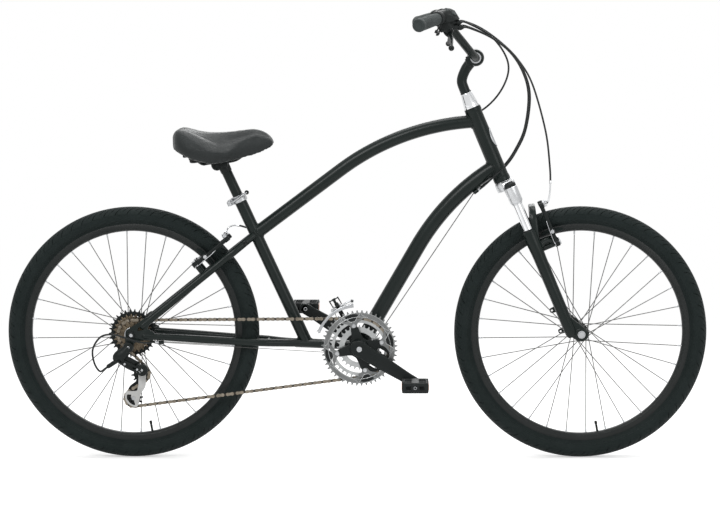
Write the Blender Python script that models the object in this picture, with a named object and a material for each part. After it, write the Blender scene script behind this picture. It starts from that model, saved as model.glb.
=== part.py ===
"""A comfort bike with a curved frame, a swan-neck stem, a short suspension fork and 3 x 7 gears.

It stands on the floor at z = 0 and faces +X. The chain side is -Y, and x = 0 is midway between the axles.
Every size is in metres. The frame is drawn from the two axles, the bottom bracket and two angles.
"""

import math

import bmesh
import bpy
from mathutils import Matrix, Vector

# Clearances
GAP = 0.0003
PAD_GAP = 0.0021
TYRE_GAP = 0.006

# Wheels
WHEELBASE = 1.174
BEAD_SEAT_RADIUS = 0.2795
TYRE_HEIGHT = 0.0515
TYRE_WIDTH = 0.052
TREAD_FLAT = 0.0135
RIM_ABOVE_BEAD_SEAT = 0.0071
RIM_BELOW_BEAD_SEAT = 0.0129
RIM_WIDTH = 0.025
RIM_WALL = 0.0020
RIM_CHAMFER = 0.0055
WHEEL_SIDES = 32
SPOKE_COUNT = 32
SPOKE_RADIUS = 0.0009
SPOKE_OFFSET = 0.0010
SPOKE_PHASE = math.radians(3.5)
CROSSING_ANGLE = math.radians(67.5)
FRONT_FLANGE_RADIUS = 0.0215
FRONT_FLANGE_Y = 0.034
FRONT_HUB_END = 0.0465
REAR_FLANGE_RADIUS = 0.0225
REAR_LEFT_FLANGE_Y = 0.036
REAR_RIGHT_FLANGE_Y = 0.0215
REAR_HUB_END = 0.0605
FREEHUB_RADIUS = 0.0190
FLANGE_THICKNESS = 0.004
HUB_WAIST_RADIUS = 0.0135
HUB_SIDES = 8
AXLE_RADIUS = 0.005
CONE_RADIUS = 0.008
AXLE_NUT_RADIUS = 0.0095
AXLE_NUT_LENGTH = 0.008

# Frame
HEAD_ANGLE = math.radians(67.3)
HEAD_TUBE_LENGTH = 0.207
HEAD_TUBE_RADIUS = 0.021
HEAD_RING_RADIUS = 0.0222
HEAD_RING_LENGTH = 0.012
HEAD_BORE_RADIUS = 0.0175
BEARING_HEIGHT = 0.011
CHAINSTAY_LENGTH = 0.595
BRACKET_DROP = 0.036
SHELL_RADIUS = 0.0205
SHELL_BORE_RADIUS = 0.0172
SHELL_HALF_WIDTH = 0.034
SEAT_ANGLE = math.radians(65.2)
SEAT_FOOT_BACK = 0.139
SEAT_TUBE_LENGTH = 0.425
SEAT_TUBE_RADIUS = 0.0159
SEAT_BORE_DEPTH = 0.21
TOP_TUBE_RADIUS = 0.0172
TOP_TUBE_JOIN = 0.3185
TOP_TUBE_LEAVES = math.radians(9.94)
TOP_TUBE_ARRIVES = math.radians(22.86)
TOP_TUBE_STRAIGHT = 0.0195
TOP_TUBE_BELOW_HEAD = 0.038
DOWN_TUBE_RADIUS = 0.0205
DOWN_TUBE_LEAVES = math.radians(6.91)
DOWN_TUBE_ARRIVES = math.radians(19.89)
DOWN_TUBE_STRAIGHT = 0.0154
DOWN_TUBE_ABOVE_HEAD = 0.0422
BOTTOM_TUBE_HEIGHT = 0.0245
BOTTOM_TUBE_WIDTH = 0.038
BOTTOM_TUBE_RISE = 0.008
YOKE_BACK = 0.030
STAY_RADIUS = 0.0100
STAY_POINTS = 7
AXLE_SPACING = 0.135
DROPOUT_THICKNESS = 0.006
HANGER_BACK = 0.007
HANGER_DROP = 0.031
HANGER_BOLT_RADIUS = 0.005
RACK_BOSS_RADIUS = 0.0055
CABLE_STOP_RADIUS = 0.0048
CABLE_STOP_LENGTH = 0.014

# Fork
FORK_LENGTH = 0.4463
FORK_RAKE = 0.0353
FORK_TRAVEL = 0.050
STEERER_RADIUS = 0.0143
STEERER_BORE = 0.0118
LEG_Y = 0.055
LEG_FRONT = 0.0122
STANCHION_RADIUS = 0.0125
STANCHION_INSIDE = 0.087
SLEEVE_RADIUS = 0.0170
SLEEVE_TOP = 0.020
SLEEVE_END = 0.062
LOWERS_HEIGHT = 0.3013
ARCH_HEIGHT = 0.3603
ARCH_FOOT_HEIGHT = 0.2843
ARCH_AHEAD = 0.046
LEG_RADII = (0.0182, 0.0165, 0.0158)
LEG_FOOT_HEIGHT = 0.0213
FRONT_AXLE_SPACING = 0.100
FRONT_DROPOUT_THICKNESS = 0.012
FRONT_NUT_RADIUS = 0.0100
DISC_TAB_HEIGHTS = (0.0743, 0.0143)

# Brakes
BRAKE_POST_Y = 0.040
BRAKE_POST_RADIUS = 0.004
BRAKE_ARM_LENGTH = 0.109
BRAKE_ARM_DEPTH = 0.014
BRAKE_BELOW_BEAD_SEAT = 0.0350
BRAKE_AHEAD = 0.026
PAD_UP = 0.0325
PAD_LENGTH = 0.058
PAD_HEIGHT = 0.0095

# Drive
CHAIN_PITCH = 0.0127
CHAINLINE = 0.0475
RING_SPACING = 0.0075
COG_SPACING = 0.005
RING_TEETH = (48, 38, 28)
COG_TEETH = (14, 16, 18, 20, 22, 24, 30)
CHAIN_RING = 1
CHAIN_COG = 2
SPROCKET_THICKNESS = 0.0018
ROLLER_RADIUS = 0.0037
TOOTH_HEIGHT = 0.0027
LINK_INNER_HALF = 0.0023
LINK_OUTER_HALF = 0.0034
PLATE_THICKNESS = 0.0010
PLATE_HALF_HEIGHT = 0.0041
SPIDER_ARMS = 4
BOLT_CIRCLE_RADIUS = 0.060
INNER_BOLT_CIRCLE_RADIUS = 0.032
CRANK_LENGTH = 0.170
CRANK_ANGLE = math.radians(-31.0)
CRANK_BOSS_IN = 0.060
CRANK_BOSS_OUT = 0.082
CRANK_BOSS_RADIUS = 0.0195
CRANK_THICKNESS = 0.013
PEDAL_FACE = 0.092
SPINDLE_RADIUS = 0.0085
PEDAL_LENGTH = 0.069
PEDAL_WIDTH = 0.094
PEDAL_HEIGHT = 0.027
PEDAL_AXLE_RADIUS = 0.0055
BRACKET_CUP_RADIUS = 0.0215
BRACKET_CUP_WIDTH = 0.003

# Front derailleur
FD_ANGLE = math.radians(118)
FD_BASE_RADIUS = 0.143
FD_JOINT_RADIUS = 0.123
FD_LINK_Y = 0.0465
FD_LINK_WIDTH = 0.014
FD_PIN_RADIUS = 0.002
FD_CAGE_RADII = (0.1045, 0.117)
FD_CAGE_ANGLES = (math.radians(98), math.radians(160))
FD_CAGE_INNER_Y = 0.0425
FD_CAGE_OUTER_Y = 0.0542

# Rear derailleur
PULLEY_TEETH = 11
PULLEY_TOOTH_HEIGHT = 0.0018
GUIDE_PULLEY_FROM_AXLE = Vector((0.0220, 0, -0.1050))
TENSION_PULLEY_FROM_AXLE = Vector((0.0020, 0, -0.1690))
CAGE_PIVOT_FROM_AXLE = Vector((0.0270, 0, -0.0920))
RD_LINK_TOP_FROM_FACE = Vector((-0.0310, -0.0155, -0.0610))
RD_LINK_BOTTOM_FROM_FACE = Vector((0.0150, -0.0025, -0.0860))
RD_BARREL_END_FROM_FACE = Vector((-0.0630, -0.0155, -0.0830))
RD_LINK_OVERHANG = 0.0037
RD_PIN_RADIUS = 0.0025
CAGE_HALF_WIDTH = 0.0053
CAGE_THICKNESS = 0.0015
KNUCKLE_RADIUS = 0.0125

# Seat
POST_RADIUS = 0.0135
POST_SHOWING = 0.092
POST_INSIDE = 0.115
SEAT_CLAMP_HEIGHT = 0.015
SADDLE_STATIONS = (
    (-0.1220, 0.048, 0.0655, 0.0445),
    (-0.1120, 0.078, 0.0885, 0.0385),
    (-0.0890, 0.100, 0.0955, 0.0305),
    (-0.0540, 0.107, 0.0895, 0.0205),
    (-0.0160, 0.100, 0.0855, 0.0125),
    (0.0210, 0.074, 0.0865, 0.0155),
    (0.0580, 0.050, 0.0905, 0.0245),
    (0.0940, 0.038, 0.0925, 0.0345),
    (0.1220, 0.031, 0.0795, 0.0445),
    (0.1390, 0.020, 0.0615, 0.0525),
)
SADDLE_RECESS = 0.0095
SADDLE_BASE_THICKNESS = 0.0055
SADDLE_CLAMP_FROM_POST = Vector((-0.00814, 0, 0.00178))
RAIL_RADIUS = 0.0035
RAIL_RUN = Vector((0.995, 0, 0.0999)).normalized()
RAIL_UP = Vector((0, 0, 0.003))
RAIL_HALF_SPREAD = 0.021
REAR_BLOCK_BACK = 0.0715
REAR_BLOCK_Y = 0.040
NOSE_BLOCK_AHEAD = 0.110

# Handlebar and stem
BAR_RADIUS = 0.011
STEM_RADIUS = 0.0135
QUILL_RADIUS = 0.0111
QUILL_DEPTH = 0.060
BAR_CLAMP_RADIUS = 0.0225
BAR_CLAMP_WIDTH = 0.044
BAR_FROM_HEAD = Vector((0.00868, 0, 0.12993))
BAR_ROUTE = (
    (0.000, 0.026, 0.000),
    (-0.011, 0.055, 0.012),
    (-0.033, 0.092, 0.039),
    (-0.057, 0.125, 0.069),
    (-0.073, 0.148, 0.096),
)
GRIP_FROM_CENTRE = Vector((-0.099, 0.212, 0.1045))
BAR_END_FROM_CENTRE = Vector((-0.149, 0.330, 0.088))
GRIP_RADIUS = 0.0162
LEVER_PIVOT_FROM_CENTRE = Vector((-0.072, 0.186, 0.070))
LEVER_BALL_FROM_CENTRE = Vector((-0.067, 0.286, 0.031))
HOUSING_RADIUS = 0.0025
WIRE_RADIUS = 0.0009
NOODLE_OUT = 0.0195

# Worked out
GROUND_RADIUS = BEAD_SEAT_RADIUS + TYRE_HEIGHT
RIM_INNER_RADIUS = BEAD_SEAT_RADIUS - RIM_BELOW_BEAD_SEAT
RIM_OUTER_RADIUS = BEAD_SEAT_RADIUS + RIM_ABOVE_BEAD_SEAT
BRAKE_ABOVE_AXLE = BEAD_SEAT_RADIUS - BRAKE_BELOW_BEAD_SEAT
REAR_AXLE = Vector((-WHEELBASE / 2, 0, GROUND_RADIUS))
FRONT_AXLE = Vector((WHEELBASE / 2, 0, GROUND_RADIUS))
BRACKET = REAR_AXLE + Vector((CHAINSTAY_LENGTH, 0, -BRACKET_DROP))
STEER_DOWN = Vector((math.cos(HEAD_ANGLE), 0, -math.sin(HEAD_ANGLE)))
STEER_FRONT = Vector((math.sin(HEAD_ANGLE), 0, math.cos(HEAD_ANGLE)))
HEAD_BOTTOM = FRONT_AXLE - STEER_FRONT * FORK_RAKE - STEER_DOWN * FORK_LENGTH
LOWERS_TOP = FORK_LENGTH - LOWERS_HEIGHT
STANCHION_END = LOWERS_TOP + STANCHION_INSIDE
LEG_FOOT = FORK_LENGTH - LEG_FOOT_HEIGHT
HEAD_TOP = HEAD_BOTTOM - STEER_DOWN * HEAD_TUBE_LENGTH
SEAT_UP = Vector((-math.cos(SEAT_ANGLE), 0, math.sin(SEAT_ANGLE)))
SEAT_BACK = Vector((-math.sin(SEAT_ANGLE), 0, -math.cos(SEAT_ANGLE)))
SEAT_FOOT = BRACKET + Vector((-SEAT_FOOT_BACK, 0, BOTTOM_TUBE_RISE * 0.8))
SEAT_TOP = SEAT_FOOT + SEAT_UP * SEAT_TUBE_LENGTH
SEAT_CROSS = SEAT_FOOT + SEAT_UP * TOP_TUBE_JOIN
STAY_DIRECTION = (SEAT_CROSS - REAR_AXLE).normalized()
STAY_NORMAL = Vector((-STAY_DIRECTION.z, 0, STAY_DIRECTION.x))
YOKE = SEAT_FOOT + Vector((-YOKE_BACK, 0, 0.001))
AXLE_NUT_AT = AXLE_SPACING / 2 + DROPOUT_THICKNESS + 2 * GAP
FRONT_NUT_AT = FRONT_AXLE_SPACING / 2 + FRONT_DROPOUT_THICKNESS + 2 * GAP
BAR_CENTRE = HEAD_TOP + BAR_FROM_HEAD
GRIP_START = BAR_CENTRE + GRIP_FROM_CENTRE
BAR_END = BAR_CENTRE + BAR_END_FROM_CENTRE
GRIP_ALONG = (BAR_END - GRIP_START).normalized()
LEVER_PIVOT = BAR_CENTRE + LEVER_PIVOT_FROM_CENTRE
LEVER_BALL = BAR_CENTRE + LEVER_BALL_FROM_CENTRE
POST_TOP = SEAT_TOP + SEAT_UP * POST_SHOWING
SADDLE_CLAMP_AT = POST_TOP + SADDLE_CLAMP_FROM_POST
GUIDE_PULLEY_AT = REAR_AXLE + GUIDE_PULLEY_FROM_AXLE
TENSION_PULLEY_AT = REAR_AXLE + TENSION_PULLEY_FROM_AXLE
CAGE_PIVOT_AT = REAR_AXLE + CAGE_PIVOT_FROM_AXLE
DROPOUT_FACE = REAR_AXLE - Vector((0, AXLE_SPACING / 2, 0))
RD_LINK_TOP = DROPOUT_FACE + RD_LINK_TOP_FROM_FACE
RD_LINK_BOTTOM = DROPOUT_FACE + RD_LINK_BOTTOM_FROM_FACE
RD_BARREL_END = DROPOUT_FACE + RD_BARREL_END_FROM_FACE
STEERER_TOP = -HEAD_TUBE_LENGTH - 0.018
CONE_TOP = -HEAD_TUBE_LENGTH - 0.041
CONE_BOTTOM = -HEAD_TUBE_LENGTH - GAP
Y_AXIS = Vector((0, 1, 0))
NEAR, FAR = -1, 1
SIDE_NAMES = {NEAR: "right", FAR: "left"}

scene = bpy.context.scene
materials = {}
bodies = {}


# Scene and materials

def clear_scene():
    for old in list(bpy.data.objects):
        bpy.data.objects.remove(old)


def material(name, colour, roughness, metallic=0.0):
    made = bpy.data.materials.new(name)
    made.use_nodes = True
    shader = made.node_tree.nodes["Principled BSDF"]
    shader.inputs["Base Color"].default_value = (*colour, 1)
    shader.inputs["Roughness"].default_value = roughness
    shader.inputs["Metallic"].default_value = metallic
    made.diffuse_color = (*colour, 1)
    materials[name] = made


def make_materials():
    material("frame_black", (0.016, 0.020, 0.019), 0.38)
    material("black_parts", (0.012, 0.014, 0.014), 0.45)
    material("tyre_rubber", (0.028, 0.034, 0.036), 0.75)
    material("rim_black", (0.013, 0.015, 0.015), 0.40, 0.3)
    material("spoke_steel", (0.42, 0.42, 0.41), 0.35, 1.0)
    material("chrome", (0.78, 0.78, 0.78), 0.10, 1.0)
    material("silver_alloy", (0.66, 0.67, 0.68), 0.30, 1.0)
    material("chain_bronze", (0.20, 0.13, 0.075), 0.42, 0.9)
    material("saddle_vinyl", (0.030, 0.034, 0.036), 0.50)
    material("grip_rubber", (0.070, 0.076, 0.078), 0.80)
    material("housing_black", (0.020, 0.022, 0.023), 0.50)
    material("cage_white", (0.75, 0.75, 0.74), 0.35)


def body(name, point, parent=None):
    """An empty on a joint's axis, which the pieces of one moving body hang from."""
    empty = bpy.data.objects.new("axis_" + name, None)
    empty.empty_display_size = 0.03
    scene.collection.objects.link(empty)
    bodies[name] = (empty, Vector(point))
    place(empty, point, parent)


def place(obj, point, parent):
    if parent is None:
        obj.location = point
    else:
        empty, origin = bodies[parent]
        obj.parent = empty
        obj.location = Vector(point) - origin


def piece(obj, name, finish, parent, sharp=40):
    """Names a finished shape, moves its origin to its body's joint and gives it its material."""
    origin = bodies[parent][1]
    obj.data.transform(Matrix.Translation(-origin))
    obj.name = name
    obj.data.name = name
    obj.data.materials.clear()
    obj.data.materials.append(materials[finish])
    place(obj, origin, parent)
    obj.data.shade_smooth()
    obj.data.set_sharp_from_angle(angle=math.radians(sharp))
    return obj


# Shapes

def mesh_object(points, faces):
    mesh = bpy.data.meshes.new("shape")
    mesh.from_pydata([tuple(p) for p in points], [], faces)
    shape = bmesh.new()
    shape.from_mesh(mesh)
    bmesh.ops.delete(shape, geom=[v for v in shape.verts if not v.link_faces], context="VERTS")
    bmesh.ops.recalc_face_normals(shape, faces=shape.faces)
    shape.to_mesh(mesh)
    shape.free()
    obj = bpy.data.objects.new("shape", mesh)
    scene.collection.objects.link(obj)
    return obj


def across(direction):
    """Two directions square to this one, the first of them level or along X."""
    level = Vector((0, 0, 1)) if abs(direction.z) < 0.9 else Vector((1, 0, 0))
    first = direction.cross(level).normalized()
    return first, direction.cross(first).normalized()


def lathe(centre, axis, profile, sides, closed=False, turn=0.5):
    """Turns a profile of (radius, distance along the axis) round the axis; closed joins its two ends."""
    axis = axis.normalized()
    first, second = across(axis)
    points, rings, faces = [], [], []
    for radius, along in profile:
        if radius < 1e-6:
            rings.append([len(points)])
            points.append(centre + axis * along)
            continue
        rings.append(list(range(len(points), len(points) + sides)))
        for i in range(sides):
            angle = math.tau * (i + turn) / sides
            offset = first * math.cos(angle) + second * math.sin(angle)
            points.append(centre + axis * along + offset * radius)
    pairs = list(zip(rings, rings[1:]))
    if closed:
        pairs.append((rings[-1], rings[0]))
    for a, b in pairs:
        for i in range(sides):
            j = (i + 1) % sides
            quad = [a[i % len(a)], a[j % len(a)], b[j % len(b)], b[i % len(b)]]
            corners = list(dict.fromkeys(quad))
            if len(corners) > 2:
                faces.append(corners)
    if not closed:
        for ring in (rings[0], rings[-1]):
            if len(ring) > 1:
                faces.append(ring)
    return mesh_object(points, faces)


def loft(rings):
    """A solid through closed rings of equally many points, with its two ends capped."""
    count = len(rings[0])
    points = [point for one in rings for point in one]
    faces = [list(range(count)), list(range(len(points) - count, len(points)))]
    for k in range(len(rings) - 1):
        for i in range(count):
            j = (i + 1) % count
            a, b = k * count, (k + 1) * count
            faces.append([a + i, a + j, b + j, b + i])
    return mesh_object(points, faces)


def rod(start, end, radius, sides=12):
    start, end = Vector(start), Vector(end)
    return lathe(start, end - start, [(radius, 0), (radius, (end - start).length)], sides)


def ring(centre, axis, inner, outer, low, high, sides=16):
    return lathe(centre, axis, [(inner, low), (outer, low), (outer, high), (inner, high)], sides, True)


def prism(outline, low, high, centre=Vector((0, 0, 0)), u=Vector((1, 0, 0)), v=Vector((0, 0, 1))):
    """Extrudes an outline of (u, v) points along v x u, which is +Y as it stands, between two distances."""
    normal = v.cross(u)
    count = len(outline)
    points = [centre + u * a + v * b + normal * w for w in (low, high) for a, b in outline]
    faces = [list(range(count)), list(range(count, 2 * count))]
    faces += [[i, (i + 1) % count, (i + 1) % count + count, i + count] for i in range(count)]
    return mesh_object(points, faces)


def block(centre, size, u=Vector((1, 0, 0)), v=Vector((0, 0, 1)), bevel=0.0):
    """A box of (along u, along v, across), with its long edges rounded by the bevel."""
    half_u, half_v = size[0] / 2, size[1] / 2
    outline = [(-half_u, -half_v), (half_u, -half_v), (half_u, half_v), (-half_u, half_v)]
    if bevel:
        outline = chamfered(outline, bevel)
    return prism(outline, -size[2] / 2, size[2] / 2, Vector(centre), u, v)


def chamfered(outline, cut):
    out = []
    for i, corner in enumerate(outline):
        before, after = outline[i - 1], outline[(i + 1) % len(outline)]
        for other in (before, after):
            step = Vector(other) - Vector(corner)
            out.append(tuple(Vector(corner) + step.normalized() * cut))
    return out


def fillet_path(corners, radii, step):
    """Runs straight between the corners and round each inner one on an arc."""
    out = [Vector(corners[0])]
    for i in range(1, len(corners) - 1):
        corner = Vector(corners[i])
        into = (corner - Vector(corners[i - 1])).normalized()
        away = (Vector(corners[i + 1]) - corner).normalized()
        turn = into.angle(away)
        tangent = radii[i - 1] * math.tan(turn / 2)
        centre = corner - into * tangent
        normal = (away - into * away.dot(into)).normalized()
        pieces = max(2, round(turn / step))
        for k in range(pieces + 1):
            angle = turn * k / pieces
            out.append(
                centre
                + into * radii[i - 1] * math.sin(angle)
                + normal * radii[i - 1] * (1 - math.cos(angle))
            )
    out.append(Vector(corners[-1]))
    return out


def smooth_path(route, count):
    """Evenly spaced points on one smooth curve through the route's points."""
    route = [Vector(p) for p in route]
    ends = [route[0] * 2 - route[1], *route, route[-1] * 2 - route[-2]]
    fine = []
    for i in range(1, len(ends) - 2):
        a, b, c, d = ends[i - 1 : i + 3]
        for k in range(16):
            t = k / 16
            fine.append(
                0.5
                * (2 * b + (c - a) * t + (2 * a - 5 * b + 4 * c - d) * t**2 + (3 * b - a - 3 * c + d) * t**3)
            )
    fine.append(route[-1])
    lengths = [0.0]
    for a, b in zip(fine, fine[1:]):
        lengths.append(lengths[-1] + (b - a).length)
    out, k = [], 0
    for i in range(count):
        target = lengths[-1] * i / (count - 1)
        while k < len(fine) - 2 and lengths[k + 1] < target:
            k += 1
        share = (target - lengths[k]) / (lengths[k + 1] - lengths[k])
        out.append(fine[k].lerp(fine[k + 1], min(1.0, share)))
    return out


def tube(path, radius, resolution=4, radii=None):
    """A tube along the points; resolution 2 gives 8 sides, 4 gives 12 and 6 gives 16."""
    curve = bpy.data.curves.new("tube", "CURVE")
    curve.dimensions = "3D"
    curve.bevel_depth = radius
    curve.bevel_resolution = resolution
    curve.use_fill_caps = True
    spline = curve.splines.new("POLY")
    spline.points.add(len(path) - 1)
    for i, point in enumerate(path):
        spline.points[i].co = (*point, 1)
        if radii:
            spline.points[i].radius = radii[i] / radius
    obj = bpy.data.objects.new("tube", curve)
    scene.collection.objects.link(obj)
    return obj


def as_mesh(obj):
    """The evaluated shape as a plain mesh object, in place of the old object."""
    bpy.context.view_layer.update()
    graph = bpy.context.evaluated_depsgraph_get()
    mesh = bpy.data.meshes.new_from_object(obj.evaluated_get(graph))
    shape = bmesh.new()
    shape.from_mesh(mesh)
    bmesh.ops.remove_doubles(shape, verts=shape.verts, dist=1e-6)
    bmesh.ops.recalc_face_normals(shape, faces=shape.faces)
    shape.to_mesh(mesh)
    shape.free()
    bpy.data.objects.remove(obj)
    made = bpy.data.objects.new("shape", mesh)
    scene.collection.objects.link(made)
    return made


def boolean(base, operation, others):
    others = [as_mesh(o) if o.type == "CURVE" else o for o in others]
    if base.type == "CURVE":
        base = as_mesh(base)
    group = bpy.data.collections.new("operands")
    scene.collection.children.link(group)
    for other in others:
        scene.collection.objects.unlink(other)
        group.objects.link(other)
    modifier = base.modifiers.new("join", "BOOLEAN")
    modifier.operation = operation
    modifier.operand_type = "COLLECTION"
    modifier.collection = group
    modifier.solver = "EXACT"
    made = as_mesh(base)
    for other in others:
        bpy.data.objects.remove(other)
    bpy.data.collections.remove(group)
    return made


def fuse(*shapes):
    return boolean(shapes[0], "UNION", list(shapes[1:]))


def cut(base, *cutters):
    return boolean(base, "DIFFERENCE", list(cutters))


def to_side(point, side):
    """The same point on the left (FAR) or mirrored to the right (NEAR)."""
    return Vector((point[0], side * point[1], point[2]))


def at_points(origin, points):
    return [origin + Vector(point) for point in points]


def bore_radius(radius, sides):
    """The radius of a many-sided bore in which a shaft of this radius turns freely."""
    return (radius + GAP) / math.cos(math.pi / sides)


def polar(radius, angle):
    return (radius * math.cos(angle), radius * math.sin(angle))


def plate(outline, y, thickness, centre):
    """A flat plate in the frame's plane, its middle at this y."""
    return prism(outline, y - thickness / 2, y + thickness / 2, Vector((centre.x, 0, centre.z)))


def cross_rod(point, low, high, radius, sides=12):
    """A rod along Y through the point, between two y values."""
    base = Vector((point.x, 0, point.z))
    return rod(base + Y_AXIS * low, base + Y_AXIS * high, radius, sides)


def beside(path, offset, y):
    """The path moved square to itself, to its right in the frame's plane, at this y."""
    out = []
    for i, point in enumerate(path):
        run = (path[min(i + 1, len(path) - 1)] - path[max(i - 1, 0)]).normalized()
        moved = point + Vector((run.z, 0, -run.x)) * offset
        out.append(Vector((moved.x, y, moved.z)))
    return out


def meeting(start, start_angle, end, end_angle):
    """Where two lines in the frame's plane cross, each given by a point and a slope angle."""
    run = end - start
    turn = math.sin(end_angle - start_angle)
    far = (run.x * math.sin(end_angle) - run.z * math.cos(end_angle)) / turn
    return start + Vector((math.cos(start_angle), 0, math.sin(start_angle))) * far


def fork_point(down, front, y=0.0):
    """A point by its distance down the steering axis from the head tube and in front of the axis."""
    return HEAD_BOTTOM + STEER_DOWN * down + STEER_FRONT * front + Y_AXIS * y


def fork_plate(outline, low, high):
    """A plate between two y values, from points (down, front) in the fork's coordinates."""
    points = [(front, -down) for down, front in outline]
    return prism(points, low, high, HEAD_BOTTOM.copy(), STEER_FRONT, -STEER_DOWN)


# Frame

def stay_path(side, route):
    return [Vector((x, side * y, z)) for x, y, z in route]


def bowed_path(start, leaves, end, arrives, straight):
    """A path that leaves above the line between its ends, bends once and arrives on a flatter slope."""
    run = end - start
    slope = math.atan2(run.z, run.x)
    corner = meeting(start, slope + leaves, end, slope - arrives)
    radius = ((end - corner).length - straight) / math.tan((leaves + arrives) / 2)
    return fillet_path([start, corner, end], [radius], 0.14)


def top_tube_path():
    end = HEAD_TOP + STEER_DOWN * TOP_TUBE_BELOW_HEAD
    return bowed_path(SEAT_CROSS, TOP_TUBE_LEAVES, end, TOP_TUBE_ARRIVES, TOP_TUBE_STRAIGHT)


def down_tube_path():
    end = HEAD_BOTTOM - STEER_DOWN * DOWN_TUBE_ABOVE_HEAD
    return bowed_path(BRACKET, DOWN_TUBE_LEAVES, end, DOWN_TUBE_ARRIVES, DOWN_TUBE_STRAIGHT)


def make_frame():
    ring_in = HEAD_RING_LENGTH
    head = [
        (HEAD_RING_RADIUS, 0), (HEAD_RING_RADIUS, ring_in), (HEAD_TUBE_RADIUS, ring_in + 0.002),
        (HEAD_TUBE_RADIUS, HEAD_TUBE_LENGTH - ring_in - 0.002),
        (HEAD_RING_RADIUS, HEAD_TUBE_LENGTH - ring_in), (HEAD_RING_RADIUS, HEAD_TUBE_LENGTH),
    ]
    parts = [
        lathe(HEAD_BOTTOM, -STEER_DOWN, head, 12),
        tube(top_tube_path(), TOP_TUBE_RADIUS, 3),
        tube(down_tube_path(), DOWN_TUBE_RADIUS, 3),
        rod(SEAT_FOOT, SEAT_TOP, SEAT_TUBE_RADIUS, 12),
        cross_rod(BRACKET, -SHELL_HALF_WIDTH, SHELL_HALF_WIDTH, SHELL_RADIUS, 12),
        bottom_tube(),
    ]
    for side in (NEAR, FAR):
        parts += rear_stays(side)
        parts.append(dropout(side))
    parts += bosses()
    over = 0.01
    shell_reach = SHELL_HALF_WIDTH + over
    post_bore = POST_RADIUS + GAP
    frame = cut(
        fuse(*parts),
        rod(HEAD_TOP - STEER_DOWN * over, HEAD_BOTTOM + STEER_DOWN * over, HEAD_BORE_RADIUS, 12),
        cross_rod(BRACKET, -shell_reach, shell_reach, SHELL_BORE_RADIUS, 12),
        rod(SEAT_TOP - SEAT_UP * SEAT_BORE_DEPTH, SEAT_TOP + SEAT_UP * over, post_bore, 12),
        *stop_bores(),
    )
    piece(frame, "frame", "frame_black", "frame")


def bottom_tube():
    shape = as_mesh(tube([BRACKET, SEAT_FOOT, YOKE], BOTTOM_TUBE_HEIGHT / 2, 3))
    shape.data.transform(Matrix.Diagonal((1, BOTTOM_TUBE_WIDTH / BOTTOM_TUBE_HEIGHT, 1, 1)))
    return shape


def chain_stay_path(side):
    tyre_front = REAR_AXLE.x + GROUND_RADIUS
    beside_tyre = TYRE_WIDTH / 2 + TYRE_GAP + STAY_RADIUS
    end_y = AXLE_SPACING / 2 + DROPOUT_THICKNESS / 2 - 0.002
    route = [
        (YOKE.x + 0.012, BOTTOM_TUBE_WIDTH / 2 - STAY_RADIUS, YOKE.z),
        (YOKE.x - 0.036, 0.022, YOKE.z + 0.002),
        (tyre_front + 0.012, beside_tyre - 0.002, YOKE.z + 0.005),
        (tyre_front - 0.060, beside_tyre + 0.003, YOKE.z + 0.009),
        (REAR_AXLE.x + 0.034, end_y, REAR_AXLE.z - 0.003),
    ]
    return smooth_path(stay_path(side, route), STAY_POINTS)


def seat_stay_path(side):
    beside_tyre = TYRE_WIDTH / 2 + TYRE_GAP + STAY_RADIUS
    end_y = AXLE_SPACING / 2 + DROPOUT_THICKNESS / 2 - 0.002
    slope = STAY_DIRECTION.z / STAY_DIRECTION.x
    outs = ((0.004, 0.012), (0.026, 0.024), (0.058, beside_tyre - 0.001), (0.100, beside_tyre + 0.003))
    route = [(SEAT_CROSS.x - back, y, SEAT_CROSS.z - back * slope) for back, y in outs]
    route.append((REAR_AXLE.x + 0.030, end_y, REAR_AXLE.z + 0.030 * slope))
    return smooth_path(stay_path(side, route), STAY_POINTS)


def rear_stays(side):
    return [tube(chain_stay_path(side), STAY_RADIUS, 2), tube(seat_stay_path(side), STAY_RADIUS, 2)]


def dropout(side):
    """A plate that takes the axle in a slot; the chain side also carries the derailleur's hanger."""
    outline = [
        (-0.015, 0.012), (-0.004, 0.019), (0.020, 0.033), (0.042, 0.050), (0.058, 0.040),
        (0.040, 0.016), (0.062, 0.008), (0.062, -0.014), (0.030, -0.014), (0.012, -0.018),
    ]
    if side == NEAR:
        low, back = HANGER_DROP, HANGER_BACK
        outline += [
            (0.006, -0.024), (0.009 - back, -low - 0.006), (-back, -low - 0.010),
            (-0.009 - back, -low - 0.005), (-0.009 - back, 0.008 - low), (-0.016, -0.008),
        ]
    else:
        outline += [(-0.008, -0.018), (-0.016, -0.008)]
    middle = side * (AXLE_SPACING / 2 + GAP + DROPOUT_THICKNESS / 2)
    made = plate(outline, middle, DROPOUT_THICKNESS, REAR_AXLE)
    reach = (middle - 0.01, middle + 0.01)
    cutters = [cross_rod(REAR_AXLE, *reach, AXLE_RADIUS + GAP, 8)]
    if side == NEAR:
        bolt = REAR_AXLE + Vector((-HANGER_BACK, 0, -HANGER_DROP))
        cutters.append(cross_rod(bolt, *reach, bore_radius(HANGER_BOLT_RADIUS, 8), 8))
    else:
        slot = 0.030
        centre = REAR_AXLE + Vector((0, middle, -slot / 2))
        cutters.append(block(centre, (2 * (AXLE_RADIUS + GAP), slot, 0.02)))
    return cut(made, *cutters)


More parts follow.
